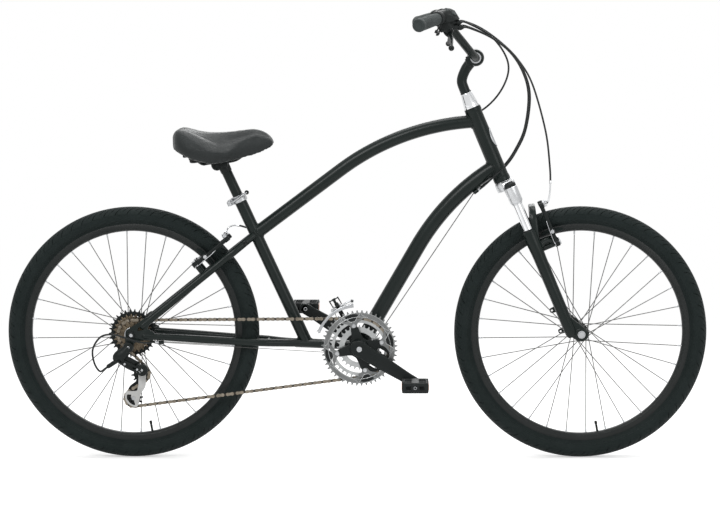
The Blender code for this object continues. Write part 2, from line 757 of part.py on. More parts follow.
def cable_stops():
    """Where each stop starts and ends: two under the down tube and one under the chain stay."""
    sunk = CABLE_STOP_RADIUS - 0.0008
    lower, upper = down_tube_path()[-3:-1]
    run = (upper - lower).normalized()
    high = lower.lerp(upper, 0.2) + Vector((run.z, 0, -run.x)) * (DOWN_TUBE_RADIUS + 0.0014)
    stops = [(high + Y_AXIS * y, high + Y_AXIS * y + run * CABLE_STOP_LENGTH) for y in (-0.008, 0.008)]
    stay = chain_stay_path(NEAR)
    low = stay[-1].lerp(stay[-2], 0.75) - Vector((0, 0, STAY_RADIUS + sunk))
    stops.append((low, low + (stay[-1] - stay[-2]).normalized() * CABLE_STOP_LENGTH))
    return stops


def stop_bores():
    return [
        rod(a + (a - b) * 0.3, b + (b - a) * 0.3, HOUSING_RADIUS + 2 * GAP, 8) for a, b in cable_stops()
    ]


def bosses():
    """The rack bosses, the cable stops and the posts that the rear brake arms turn on."""
    made = [rod(a, b, CABLE_STOP_RADIUS, 8) for a, b in cable_stops()]
    for side in (NEAR, FAR):
        foot = SEAT_CROSS - STAY_DIRECTION * 0.034 + Y_AXIS * side * 0.020
        made.append(rod(foot, foot + Y_AXIS * side * 0.0165, RACK_BOSS_RADIUS, 8))
        made += brake_post(REAR_BRAKE, side, -0.034)
    return made


# Brakes

class BrakeSeat:
    """Where a pair of brake arms stands: up points away from the axle and out away from the frame."""

    def __init__(self, axle, up, out, ahead):
        self.up = up
        self.out = out
        self.origin = axle + up * BRAKE_ABOVE_AXLE + out * ahead

    def at(self, up, out, y):
        return self.origin + self.up * up + self.out * out + Y_AXIS * y


REAR_BRAKE = BrakeSeat(REAR_AXLE, STAY_DIRECTION, STAY_NORMAL, 0.030)
FRONT_BRAKE = BrakeSeat(FRONT_AXLE, -STEER_DOWN, STEER_FRONT, BRAKE_AHEAD)


def brake_post(seat, side, root):
    """The boss on the stay or the leg and the thin post that carries the arm."""
    y = side * BRAKE_POST_Y
    return [
        rod(seat.at(0, root, y), seat.at(0, -GAP, y), 0.0068, 8),
        rod(seat.at(0, -0.002, y), seat.at(0, BRAKE_ARM_DEPTH, y), BRAKE_POST_RADIUS, 8),
    ]


def make_brake_arm(seat, name, side, parent):
    """A bent arm with a pivot boss, a bolted pad and a head that the cable joins."""
    y = side * BRAKE_POST_Y
    depth = BRAKE_ARM_DEPTH

    def seat_plate(outline, low, high):
        """Points (y, up) measured outwards from the post, between two distances out."""
        points = [(side * (BRAKE_POST_Y + a), b) for a, b in outline]
        return prism(points, low, high, seat.origin.copy(), Y_AXIS, seat.up)

    sign = 1 if seat.up.cross(Y_AXIS).dot(seat.out) > 0 else -1
    low, high = sorted((sign * 0.002, sign * (depth - 0.002)))
    long = BRAKE_ARM_LENGTH
    arm = [
        (-0.0065, -0.002), (0.0065, -0.002), (0.0090, 0.030), (0.0085, 0.070), (0.0045, long - 0.006),
        (0.0020, long + 0.003), (-0.0060, long + 0.003), (-0.0065, long - 0.006), (-0.0010, 0.068),
        (-0.0015, 0.040), (-0.0060, 0.022),
    ]
    boss = rod(seat.at(0, GAP, y), seat.at(0, depth, y), 0.0090, 12)
    middle = depth / 2
    face = RIM_WIDTH / 2 + PAD_GAP
    pad_middle = seat.at(PAD_UP, middle, side * (face + 0.0045))
    pad = block(pad_middle, (PAD_LENGTH, PAD_HEIGHT, 0.0090), *pad_directions(seat, pad_middle), 0.002)
    bolt_in = seat.at(PAD_UP, middle, side * (face + 0.007))
    bolt = rod(bolt_in, seat.at(PAD_UP, middle, side * (BRAKE_POST_Y + 0.012)), 0.0035, 8)
    made = fuse(seat_plate(arm, low, high), boss, pad, bolt)
    bore = bore_radius(BRAKE_POST_RADIUS, 8)
    made = cut(made, rod(seat.at(0, -0.01, y), seat.at(0, depth + 0.01, y), bore, 8))
    piece(made, name, "black_parts", parent, 30)


def pad_directions(seat, point):
    """The pad's long and short directions: along the rim and away from the axle."""
    axle = REAR_AXLE if seat is REAR_BRAKE else FRONT_AXLE
    away = Vector((point.x - axle.x, 0, point.z - axle.z)).normalized()
    return Vector((away.z, 0, -away.x)), away


# Wheels

def flats(profile):
    """Raises the radii so that the flats of the many-sided ring lie at them, not its corners."""
    grow = 1 / math.cos(math.pi / WHEEL_SIDES)
    return [(radius * grow, along) for radius, along in profile]


def two_sided(half):
    """A closed ring profile from the half of it that lies at +Y."""
    return half + [(radius, -along) for radius, along in reversed(half)]


def make_wheel(name, axle, parent):
    half = RIM_WIDTH / 2
    hook = half - RIM_WALL
    rim_half = [
        (BEAD_SEAT_RADIUS, hook), (RIM_OUTER_RADIUS, half),
        (RIM_INNER_RADIUS + RIM_CHAMFER, half), (RIM_INNER_RADIUS, half - RIM_CHAMFER),
    ]
    rim = lathe(axle, Y_AXIS, flats(two_sided(rim_half)), WHEEL_SIDES, True)
    piece(rim, name + "_rim", "rim_black", parent, 30)
    half = TYRE_WIDTH / 2
    tyre_half = [
        (BEAD_SEAT_RADIUS + GAP, hook - GAP), (RIM_OUTER_RADIUS + 4 * GAP, hook - GAP),
        (BEAD_SEAT_RADIUS + 0.020, half - 0.001), (BEAD_SEAT_RADIUS + 0.035, half - 0.0015),
        (GROUND_RADIUS, TREAD_FLAT / 2),
    ]
    tyre = lathe(axle, Y_AXIS, flats(two_sided(tyre_half)), WHEEL_SIDES, True)
    piece(tyre, name + "_tyre", "tyre_rubber", parent, 50)


def make_spoked_hub(name, axle, parent, shell, flanges, flange_radius):
    """The hub shell and its laced spokes; each spoke crosses three others of its flange."""
    parts = [lathe(axle, Y_AXIS, shell, HUB_SIDES, True)]
    for k in range(SPOKE_COUNT):
        rim_angle = SPOKE_PHASE + k * math.tau / SPOKE_COUNT
        pull = 1 if k % 4 < 2 else -1
        hub_angle = rim_angle + pull * CROSSING_ANGLE
        side = flanges[k % 2]
        hub_y = side + pull * SPOKE_OFFSET
        rim_y = math.copysign(0.0036, side) + pull * SPOKE_OFFSET
        a, b = polar(flange_radius - 0.0018, hub_angle), polar(RIM_INNER_RADIUS - 2 * GAP, rim_angle)
        start, end = axle + Vector((a[0], hub_y, a[1])), axle + Vector((b[0], rim_y, b[1]))
        parts.append(rod(start, end, SPOKE_RADIUS, 3))
    piece(fuse(*parts), name, "spoke_steel", parent, 30)


def make_front_wheel():
    make_wheel("front", FRONT_AXLE, "front_wheel")
    bore, end = bore_radius(AXLE_RADIUS, HUB_SIDES), FRONT_HUB_END
    flange, thick, waist = FRONT_FLANGE_RADIUS, FLANGE_THICKNESS / 2, HUB_WAIST_RADIUS
    y = FRONT_FLANGE_Y
    half = [
        (waist, y - 2 * thick), (flange, y - thick), (flange, y + thick), (waist, y + thick),
        (waist, end), (bore, end),
    ]
    make_spoked_hub("front_hub_and_spokes", FRONT_AXLE, "front_wheel", two_sided(half), (y, -y), flange)
    inner, nut = FRONT_AXLE_SPACING / 2, FRONT_NUT_AT
    half = [
        (0, -nut - AXLE_NUT_LENGTH), (0.0080, -nut - AXLE_NUT_LENGTH), (FRONT_NUT_RADIUS, -nut - 0.005),
        (FRONT_NUT_RADIUS, -nut), (AXLE_RADIUS, -nut), (AXLE_RADIUS, -inner),
        (CONE_RADIUS, -inner), (CONE_RADIUS, -end - GAP), (AXLE_RADIUS, -end - GAP),
    ]
    piece(lathe(FRONT_AXLE, Y_AXIS, two_sided(half), 8), "front_axle", "silver_alloy", "fork_lowers")


def make_rear_wheel():
    make_wheel("rear", REAR_AXLE, "rear_wheel")
    bore, end = bore_radius(AXLE_RADIUS, HUB_SIDES), REAR_HUB_END
    flange, thick, waist = REAR_FLANGE_RADIUS, FLANGE_THICKNESS / 2, HUB_WAIST_RADIUS
    left, right = REAR_LEFT_FLANGE_Y, -REAR_RIGHT_FLANGE_Y
    shell = [
        (bore, -end), (FREEHUB_RADIUS, -end), (FREEHUB_RADIUS, right - thick),
        (flange, right - thick), (flange, right + thick), (waist, right + 2 * thick),
        (waist, left - 2 * thick), (flange, left - thick), (flange, left + thick),
        (waist, left + thick), (waist, end), (bore, end),
    ]
    make_spoked_hub("rear_hub_and_spokes", REAR_AXLE, "rear_wheel", shell, (left, right), flange)
    inner, nut = AXLE_SPACING / 2, AXLE_NUT_AT
    tip = nut + AXLE_NUT_LENGTH + 0.002
    half = [
        (0, -tip), (AXLE_RADIUS, -tip), (AXLE_RADIUS, -nut - AXLE_NUT_LENGTH),
        (AXLE_NUT_RADIUS, -nut - AXLE_NUT_LENGTH), (AXLE_NUT_RADIUS, -nut), (AXLE_RADIUS, -nut),
        (AXLE_RADIUS, -inner), (CONE_RADIUS, -inner), (CONE_RADIUS, -end - GAP), (AXLE_RADIUS, -end - GAP),
    ]
    piece(lathe(REAR_AXLE, Y_AXIS, two_sided(half), 8), "rear_axle", "silver_alloy", "frame")


# Chain path

def pitch_radius(teeth):
    return CHAIN_PITCH / (2 * math.sin(math.pi / teeth))


class ChainWheel:
    """A sprocket in the chain's plane; turn is 1 where the chain goes round it clockwise, seen from -Y."""

    def __init__(self, centre, teeth, turn):
        self.centre = Vector((centre.x, centre.z))
        self.teeth = teeth
        self.turn = turn
        self.radius = pitch_radius(teeth)
        tip, under = self.radius + TOOTH_HEIGHT, self.radius - PLATE_HALF_HEIGHT
        self.reach = math.sqrt(tip * tip - under * under) + CHAIN_PITCH / 2
        self.phase = 0.0


def chain_run(a, b):
    """The straight run from sprocket a to sprocket b."""
    across_both = b.centre - a.centre
    along = across_both.normalized()
    lean = (b.turn * b.radius - a.turn * a.radius) / across_both.length
    right = along * lean + Vector((along.y, -along.x)) * math.sqrt(1 - lean * lean)
    return a.centre - right * a.turn * a.radius, b.centre - right * b.turn * b.radius


def chain_pins(wheels):
    """Pins in the chain's plane: place, outward side, and whether teeth stand near; the first run
    takes up what is left over."""
    following = wheels[1:] + wheels[:1]
    runs = [chain_run(a, b) for a, b in zip(wheels, following)]
    spans = []
    for k, wheel in enumerate(following):
        ends = (*runs[k], wheels[k].reach, wheel.reach)
        spans.append((None, ends, (runs[k][1] - runs[k][0]).length))
        enter = runs[k][1] - wheel.centre
        leave = runs[(k + 1) % len(runs)][0] - wheel.centre
        start = math.atan2(enter.y, enter.x)
        angle = (start - math.atan2(leave.y, leave.x)) * wheel.turn % math.tau
        spans.append((wheel, start, angle * wheel.teeth * CHAIN_PITCH / math.tau))
    total = sum(length for _, _, length in spans)
    count = 2 * round(total / CHAIN_PITCH / 2)
    spans[0] = (None, spans[0][1], spans[0][2] + count * CHAIN_PITCH - total)
    pins, begin = [], 0.0
    for wheel, data, length in spans:
        while len(pins) < count and len(pins) * CHAIN_PITCH < begin + length:
            gone = len(pins) * CHAIN_PITCH - begin
            if wheel is None:
                start, end, start_reach, end_reach = data
                along = (end - start).normalized()
                near = gone < start_reach or length - gone < end_reach
                pins.append((start.lerp(end, gone / length), Vector((-along.y, along.x)), near))
            else:
                wheel.phase = data - wheel.turn * gone / wheel.teeth / CHAIN_PITCH * math.tau
                offset = Vector(polar(1, wheel.phase))
                pins.append((wheel.centre + offset * wheel.radius, offset * wheel.turn, True))
        begin += length
    return pins


def make_chain(pins):
    """Side plates that step in and out from link to link, joined by a roller at every pin.

    Where no teeth stand near, the link is closed between its plates.
    """
    points, faces = [], []
    count = len(pins)
    for i, (pin, up, _) in enumerate(pins):
        along = Vector((up.y, -up.x))
        for end, link in ((-1, i - 1), (1, i)):
            wide = LINK_OUTER_HALF if link % 2 else LINK_INNER_HALF
            for y in (-wide, PLATE_THICKNESS - wide, wide - PLATE_THICKNESS, wide):
                for side in (-1, 1):
                    spot = pin + along * end * ROLLER_RADIUS + up * side * PLATE_HALF_HEIGHT
                    points.append(Vector((spot.x, y - CHAINLINE, spot.y)))
    total = 2 * count
    is_open = [i % 2 == 1 and pins[i // 2][2] and pins[(i // 2 + 1) % count][2] for i in range(total)]
    for i in range(total):
        here, there = 8 * i, 8 * ((i + 1) % total)
        faces += [[here, here + 1, there + 1, there], [here + 6, here + 7, there + 7, there + 6]]
        if is_open[i]:
            for low in (0, 4):
                for s in (low, low + 1):
                    faces.append([here + s, here + s + 2, there + s + 2, there + s])
            faces += [[here + low, here + low + 1, there + low + 1, there + low] for low in (2, 4)]
            faces += [[end + 2, end + 3, end + 5, end + 4] for end in (here, there)]
            continue
        start = (0, 2, 4, 6) if is_open[i - 1] else (0, 6)
        finish = (6, 4, 2, 0) if is_open[(i + 1) % total] else (6, 0)
        for s in (0, 1):
            faces.append([here + level + s for level in start] + [there + level + s for level in finish])
    piece(mesh_object(points, faces), "chain", "chain_bronze", "frame", 30)


# Sprockets

def toothed(teeth, phase, seats, tooth=TOOTH_HEIGHT):
    """A sprocket's outline with a roller's place at the phase angle, flat-bottomed where seats is true."""
    pitch = pitch_radius(teeth)
    root = pitch - PLATE_HALF_HEIGHT - 2 * GAP
    half_seat = math.atan((ROLLER_RADIUS + GAP) / root)
    out = []
    for k in range(teeth):
        angle = phase + math.tau * k / teeth
        if seats:
            out.append(polar(root / math.cos(half_seat), angle - half_seat))
            out.append(polar(root / math.cos(half_seat), angle + half_seat))
        else:
            out.append(polar(root, angle))
        out.append(polar(pitch + tooth, angle + math.pi / teeth))
    return out


def cog_y(index):
    return -CHAINLINE - (CHAIN_COG - index) * COG_SPACING


def ring_y(index):
    return -CHAINLINE - (CHAIN_RING - index) * RING_SPACING


def make_freewheel(phase):
    sides = 12
    low, high = cog_y(0) - 0.0012, cog_y(len(COG_TEETH) - 1) + 0.001
    bore = bore_radius(FREEHUB_RADIUS, sides)
    parts = [cross_rod(REAR_AXLE, low, high, bore + 0.0030, sides)]
    for index, teeth in enumerate(COG_TEETH):
        turn = phase + 0.13 * (index - CHAIN_COG)
        outline = toothed(teeth, turn, index == CHAIN_COG)
        parts.append(plate(outline, cog_y(index), SPROCKET_THICKNESS, REAR_AXLE))
    cogs = cut(fuse(*parts), cross_rod(REAR_AXLE, low - 0.01, high + 0.01, bore, sides))
    piece(cogs, "freewheel_cogs", "chain_bronze", "freewheel", 30)


def spider_angles():
    quarter = math.tau / SPIDER_ARMS
    return [CRANK_ANGLE + quarter * (k + 0.5) for k in range(SPIDER_ARMS)]


def make_rings(phase):
    names = ("chainring_outer", "chainring_middle", "chainring_inner")
    inner_radii = (0.0815, 0.0655, 0.0395)
    bolt_radii = (BOLT_CIRCLE_RADIUS, BOLT_CIRCLE_RADIUS, INNER_BOLT_CIRCLE_RADIUS)
    tab_half_angles = (0.26, 0.16, 0.26)
    for index, teeth in enumerate(RING_TEETH):
        y = ring_y(index)
        turn = phase + 0.04 * (index - CHAIN_RING)
        made = plate(toothed(teeth, turn, index == CHAIN_RING), y, SPROCKET_THICKNESS, BRACKET)
        made = cut(made, cross_rod(BRACKET, y - 0.01, y + 0.01, inner_radii[index], 16))
        tabs = []
        for angle in spider_angles():
            reach, bolt = inner_radii[index] + 0.002, bolt_radii[index]
            narrow = 0.0065 / bolt
            outline = [
                polar(reach, angle - tab_half_angles[index]), polar(bolt - 0.006, angle - narrow),
                polar(bolt - 0.006, angle + narrow), polar(reach, angle + tab_half_angles[index]),
            ]
            tabs.append(plate(outline, y, SPROCKET_THICKNESS, BRACKET))
            if index == 0:
                spot = BRACKET + Vector((math.cos(angle), 0, math.sin(angle))) * bolt
                tabs.append(cross_rod(spot, y - 0.0030, y, 0.0045, 6))
        piece(fuse(made, *tabs), names[index], "silver_alloy", "crank", 30)


# Cranks and pedals

def crank_direction(side):
    along = Vector((math.cos(CRANK_ANGLE), 0, math.sin(CRANK_ANGLE)))
    return along if side == NEAR else -along


def make_crank(side):
    direction = crank_direction(side)
    stations = (
        (-0.018, 0.008), (-0.008, 0.0185), (0.020, 0.0175), (CRANK_LENGTH - 0.030, 0.0130),
        (CRANK_LENGTH + 0.004, 0.0140), (CRANK_LENGTH + 0.0125, 0.0105), (CRANK_LENGTH + 0.0160, 0.0040),
    )
    upright = Vector((-direction.z, 0, direction.x))
    rings = []
    for run, half in stations:
        leaning = min(max(run, 0), CRANK_LENGTH - 0.030) / (CRANK_LENGTH - 0.030)
        face = CRANK_BOSS_OUT - 0.0010 + (PEDAL_FACE + 0.0010 - CRANK_BOSS_OUT) * leaning
        middle = BRACKET + direction * run
        back = face - CRANK_THICKNESS
        rings.append([
            middle + upright * up + Y_AXIS * side * out
            for up, out in ((-half, face), (half, face), (half, back), (-half, back))
        ])
    arm = loft(rings)
    inner = CRANK_BOSS_IN if side == FAR else -ring_y(1) + SPROCKET_THICKNESS / 2 + 0.0015
    end = BRACKET + direction * CRANK_LENGTH
    axle = sorted((side * (PEDAL_FACE - 0.004), side * (PEDAL_FACE + PEDAL_WIDTH + 0.003)))
    parts = [
        arm,
        cross_rod(BRACKET, *sorted((side * inner, side * CRANK_BOSS_OUT)), CRANK_BOSS_RADIUS, 12),
        cross_rod(end, *axle, PEDAL_AXLE_RADIUS, 8),
    ]
    if side == NEAR:
        parts += spider_parts()
    bore = sorted((side * 0.030, side * (CRANK_BOSS_OUT + 0.01)))
    made = cut(fuse(*parts), cross_rod(BRACKET, *bore, SPINDLE_RADIUS + GAP, 12))
    piece(made, "crank_" + SIDE_NAMES[side], "black_parts", "crank", 30)


def make_spindle():
    head = CRANK_BOSS_OUT + GAP
    half = [(0, -head - 0.003), (0.0105, -head - 0.003), (0.0115, -head), (SPINDLE_RADIUS, -head)]
    piece(lathe(BRACKET, Y_AXIS, two_sided(half), 12), "crank_spindle", "silver_alloy", "crank")


def spider_parts():
    """Arms that carry the two larger rings between them, and short posts for the smallest."""
    low = ring_y(0) + SPROCKET_THICKNESS / 2 + GAP
    high = ring_y(1) - SPROCKET_THICKNESS / 2 - GAP
    parts = []
    for angle in spider_angles():
        tip, base = BOLT_CIRCLE_RADIUS + 0.005, 0.014
        half = [(base, 0.9), (tip - 0.008, 0.16), (tip, 0.09)]
        outline = [polar(r, angle - a) for r, a in half] + [polar(r, angle + a) for r, a in reversed(half)]
        parts.append(prism(outline, low, high, BRACKET.copy()))
        spot = BRACKET + Vector((math.cos(angle), 0, math.sin(angle))) * INNER_BOLT_CIRCLE_RADIUS
        post_end = ring_y(2) - SPROCKET_THICKNESS / 2 - GAP
        parts.append(cross_rod(spot, high - 0.001, post_end, 0.0048, 8))
    return parts


def make_pedal(side):
    """A platform with a frame round it and a barrel for its axle."""
    end = BRACKET + crank_direction(side) * CRANK_LENGTH
    inner = PEDAL_FACE + 2 * GAP
    middle = side * (inner + PEDAL_WIDTH / 2)
    length, height, width = PEDAL_LENGTH / 2, PEDAL_HEIGHT / 2, PEDAL_WIDTH
    outline = chamfered([(-length, -height), (length, -height), (length, height), (-length, height)], 0.004)
    shell = plate(outline, middle, width, end)
    cutters = []
    for fore in (-1, 1):
        for out, share in ((-0.335, 0.17), (0, 0.36), (0.335, 0.17)):
            spot = Vector((end.x + fore * length * 0.52, middle + out * width, end.z))
            cutters.append(block(spot, (length * 0.62, 3 * height, width * share)))
    reach = sorted((side * (inner - 0.01), side * (inner + width + 0.01)))
    cutters.append(cross_rod(end, *reach, bore_radius(PEDAL_AXLE_RADIUS, 8), 8))
    name = "pedal_" + SIDE_NAMES[side]
    piece(cut(shell, *cutters), name, "black_parts", name, 30)


def make_bracket():
    """The cartridge in the frame's shell, with the plate its right cup clamps for the front derailleur."""
    sides = 12
    face, cup = SHELL_HALF_WIDTH + GAP, BRACKET_CUP_RADIUS
    bore = bore_radius(SPINDLE_RADIUS, sides)
    outer = SHELL_BORE_RADIUS - GAP
    half = [(outer, face), (cup, face), (cup, face + BRACKET_CUP_WIDTH), (bore, face + BRACKET_CUP_WIDTH)]
    cartridge = lathe(BRACKET, Y_AXIS, two_sided(half), sides, True)
    up = Vector((math.cos(FD_ANGLE), 0, math.sin(FD_ANGLE)))
    ahead = Vector((up.z, 0, -up.x))
    ears_at = FD_LINK_WIDTH / 2 + GAP
    wide = ears_at + 0.003
    back = -face + 0.0022
    root = prism([(-0.011, 0.0208), (0.011, 0.0208), (0.011, 0.030), (-0.011, 0.030)], -face - 0.0025, back,
                 BRACKET.copy(), ahead, up)
    link = prism([(-0.011, 0.0150), (0.011, 0.0150), (0.011, 0.027), (-0.011, 0.027)], -face - 0.0028,
                 -face - 0.0004, BRACKET.copy(), ahead, up)
    strap = [
        (-0.011, 0.022), (0.011, 0.022), (wide, FD_JOINT_RADIUS), (wide, FD_BASE_RADIUS - 0.008),
        (-wide, FD_BASE_RADIUS - 0.008), (-wide, FD_JOINT_RADIUS),
    ]
    parts = [cartridge, root, link, prism(strap, back - 0.0020, back, BRACKET.copy(), ahead, up)]
    for fore in (-1, 1):
        spot = BRACKET + up * (FD_BASE_RADIUS - 0.003) + ahead * fore * (ears_at + 0.0015)
        depth = FD_LINK_Y + 0.0045 + back
        spot.y = back - depth / 2
        parts.append(block(spot, (0.003, 0.020, depth), ahead, up))
    pin = fd_pivot(FD_BASE_RADIUS)
    way = rod(pin - ahead * 0.02, pin + ahead * 0.02, bore_radius(FD_PIN_RADIUS, 8), 8)
    spindle_way = cross_rod(BRACKET, -0.05, -0.03, bore, sides)
    piece(cut(fuse(*parts), way, spindle_way), "bottom_bracket", "black_parts", "frame", 30)


# Front derailleur

def fd_pivot(radius):
    return BRACKET + Vector((math.cos(FD_ANGLE) * radius, -FD_LINK_Y, math.sin(FD_ANGLE) * radius))


def make_front_derailleur():
    up = Vector((math.cos(FD_ANGLE), 0, math.sin(FD_ANGLE)))
    ahead = Vector((up.z, 0, -up.x))
    base, joint = fd_pivot(FD_BASE_RADIUS), fd_pivot(FD_JOINT_RADIUS)
    reach = FD_LINK_WIDTH / 2 + 0.004
    length = FD_BASE_RADIUS - FD_JOINT_RADIUS + 0.007
    bar = block((base + joint) / 2, (FD_LINK_WIDTH, length, 0.0045), ahead, up)
    pins = [rod(p - ahead * reach, p + ahead * reach, FD_PIN_RADIUS, 8) for p in (base, joint)]
    piece(fuse(bar, *pins), "front_derailleur_link", "black_parts", "front_derailleur_link", 30)
    low, high = FD_CAGE_RADII
    first, last = FD_CAGE_ANGLES
    arc = [first + (last - first) * k / 5 for k in range(6)]
    outline = [polar(high, a) for a in arc] + [polar(low, a) for a in reversed(arc)]
    thick = 0.0013
    parts = [plate(outline, -y, thick, BRACKET) for y in (FD_CAGE_INNER_Y, FD_CAGE_OUTER_Y)]
    bridge = BRACKET + up * (high - 0.0015)
    bridge.y = -(FD_CAGE_INNER_Y + FD_CAGE_OUTER_Y) / 2
    span = FD_CAGE_OUTER_Y - FD_CAGE_INNER_Y + thick * 0.8
    parts.append(block(bridge, (0.022, 0.0032, span), ahead, up))
    tail = BRACKET + Vector((math.cos(last - 0.05), 0, math.sin(last - 0.05))) * (low + high) / 2
    parts.append(cross_rod(tail, -FD_CAGE_OUTER_Y, -FD_CAGE_INNER_Y, 0.0022, 8))
    for fore in (-1, 1):
        spot = joint + ahead * fore * (FD_LINK_WIDTH / 2 + GAP + 0.0015)
        ear_low = high - 0.003 - FD_JOINT_RADIUS
        spot += up * (ear_low + 0.0045) / 2
        parts.append(block(spot, (0.003, 0.0045 - ear_low, 0.0080), ahead, up))
    way = rod(joint - ahead * 0.02, joint + ahead * 0.02, bore_radius(FD_PIN_RADIUS, 8), 8)
    piece(cut(fuse(*parts), way), "front_derailleur_cage", "silver_alloy", "front_derailleur_cage", 30)


# Rear derailleur

def make_rear_derailleur():
    bolt = REAR_AXLE + Vector((-HANGER_BACK, 0, -HANGER_DROP))
    plate_out = -AXLE_SPACING / 2 - GAP - DROPOUT_THICKNESS
    arm_y = RD_LINK_TOP.y
    parts = [
        cross_rod(bolt, plate_out - 0.016, plate_out - GAP, KNUCKLE_RADIUS, 12),
        cross_rod(bolt, plate_out - 0.018, plate_out + DROPOUT_THICKNESS, HANGER_BOLT_RADIUS, 8),
    ]
    reach = RD_LINK_TOP - bolt
    run = Vector((reach.x, 0, reach.z)).normalized()
    upright = Vector((-run.z, 0, run.x))
    middle = Vector(((RD_LINK_TOP.x + bolt.x) / 2, arm_y + 0.001, (RD_LINK_TOP.z + bolt.z) / 2))
    parts.append(block(middle, (Vector((reach.x, 0, reach.z)).length, 0.016, 0.012), run, upright, 0.003))
    axis, along, out = rd_link_frame()
    parts.append(rod(RD_LINK_TOP - axis * 0.009, RD_LINK_TOP + axis * 0.009, 0.0072, 8))
    parts.append(turned_block(RD_LINK_TOP - along * 0.0075, (0.012, 0.0178, 0.0125), along, axis, out))
    barrel_root = RD_LINK_TOP + Vector((-0.004, 0, -0.002))
    parts.append(rod(barrel_root, RD_BARREL_END, 0.0052, 8))
    knuckle = fuse(*parts)
    slot = turned_block(RD_LINK_TOP + along * 0.0125, (0.036, 0.0075, 0.040), along, axis, out)
    pin_way = rod(RD_LINK_TOP - axis * 0.02, RD_LINK_TOP + axis * 0.02, bore_radius(RD_PIN_RADIUS, 8), 8)
    into = (RD_BARREL_END - RD_LINK_TOP).normalized()
    cable_way = rod(RD_BARREL_END + into * 0.01, RD_BARREL_END - into * 0.006, HOUSING_RADIUS + 2 * GAP, 8)
    knuckle = cut(knuckle, slot, pin_way, cable_way)
    piece(knuckle, "rear_derailleur_knuckle", "black_parts", "rear_derailleur_knuckle", 30)
    make_rd_link(axis, along, out)
    make_rd_body(axis, along, out)
    make_rd_cage()


def rd_link_frame():
    """The link hinges' axis, the link's own direction, and the way square to both."""
    along = (RD_LINK_BOTTOM - RD_LINK_TOP).normalized()
    flat = Vector((along.x, 0, along.z)).normalized()
    axis = Vector((-flat.z, 0, flat.x))
    axis = (axis - along * axis.dot(along)).normalized()
    return axis, along, along.cross(axis)


def turned_block(centre, size, u, v, w):
    points = [
        centre + u * a * size[0] / 2 + v * b * size[1] / 2 + w * c * size[2] / 2
        for a in (-1, 1) for b in (-1, 1) for c in (-1, 1)
    ]
    faces = [[0, 1, 3, 2], [4, 5, 7, 6], [0, 1, 5, 4], [2, 3, 7, 6], [0, 2, 6, 4], [1, 3, 7, 5]]
    return mesh_object(points, faces)


def make_rd_link(axis, along, out):
    length = (RD_LINK_BOTTOM - RD_LINK_TOP).length
    middle = (RD_LINK_TOP + RD_LINK_BOTTOM) / 2
    bar = turned_block(middle, (length + 2 * RD_LINK_OVERHANG, 0.0065, 0.0085), along, axis, out)
    ends = (RD_LINK_TOP, RD_LINK_BOTTOM)
    pins = [rod(p - axis * 0.0085, p + axis * 0.0085, RD_PIN_RADIUS, 8) for p in ends]
    piece(fuse(bar, *pins), "rear_derailleur_link", "black_parts", "rear_derailleur_link", 30)


def make_rd_body(axis, along, out):
    inner = -CHAINLINE - CAGE_HALF_WIDTH - CAGE_THICKNESS / 2 - GAP
    outer = RD_LINK_BOTTOM.y - 0.004
    joint = RD_LINK_BOTTOM
    parts = [
        cross_rod(CAGE_PIVOT_AT, outer, inner, KNUCKLE_RADIUS, 12),
        rod(joint - axis * 0.009, joint + axis * 0.009, 0.0072, 8),
        turned_block(joint + along * 0.0075, (0.012, 0.0178, 0.0125), along, axis, out),
    ]
    slot = turned_block(joint - along * 0.0125, (0.036, 0.0075, 0.040), along, axis, out)
    pin_way = rod(joint - axis * 0.02, joint + axis * 0.02, bore_radius(RD_PIN_RADIUS, 8), 8)
    stud_way = cross_rod(CAGE_PIVOT_AT, inner - 0.010, inner + 0.01, bore_radius(0.004, 8), 8)
    made = cut(fuse(*parts), slot, pin_way, stud_way)
    piece(made, "rear_derailleur_body", "black_parts", "rear_derailleur_body", 30)


def make_rd_cage():
    """Two plates with the pulleys between them, on a stud that turns in the body."""
    run = (TENSION_PULLEY_AT - GUIDE_PULLEY_AT).normalized()
    side = Vector((-run.z, 0, run.x))
    length = (TENSION_PULLEY_AT - GUIDE_PULLEY_AT).length
    outer = [
        (-0.014, -0.006), (-0.012, 0.010), (0.006, 0.0125), (0.024, 0.0085), (length - 0.012, 0.0085),
        (length + 0.006, 0.0105), (length + 0.0105, 0.002), (length + 0.006, -0.0085),
        (0.030, -0.0085), (0.004, -0.0115),
    ]
    inner = [
        (-0.008, -0.0055), (-0.008, 0.0055), (0.006, 0.008), (length - 0.004, 0.0065),
        (length + 0.0075, 0.004), (length + 0.0075, -0.004), (length - 0.004, -0.0065), (0.006, -0.008),
    ]
    at = GUIDE_PULLEY_AT
    parts = []
    for outline, y in ((outer, -CHAINLINE - CAGE_HALF_WIDTH), (inner, -CHAINLINE + CAGE_HALF_WIDTH)):
        half = CAGE_THICKNESS / 2
        parts.append(prism(outline, y - half, y + half, at.copy(), run, side))
    low, high = -CHAINLINE - CAGE_HALF_WIDTH, -CHAINLINE + CAGE_HALF_WIDTH + 0.0018
    parts.append(cross_rod(GUIDE_PULLEY_AT, low, high, 0.0028, 8))
    parts.append(cross_rod(TENSION_PULLEY_AT, low - 0.0018, high, 0.0028, 8))
    stud_low = -CHAINLINE - CAGE_HALF_WIDTH - CAGE_THICKNESS / 2 - 0.009
    parts.append(cross_rod(CAGE_PIVOT_AT, stud_low, -CHAINLINE - CAGE_HALF_WIDTH, 0.004, 8))
    piece(fuse(*parts), "rear_derailleur_cage", "cage_white", "rear_derailleur_cage", 30)


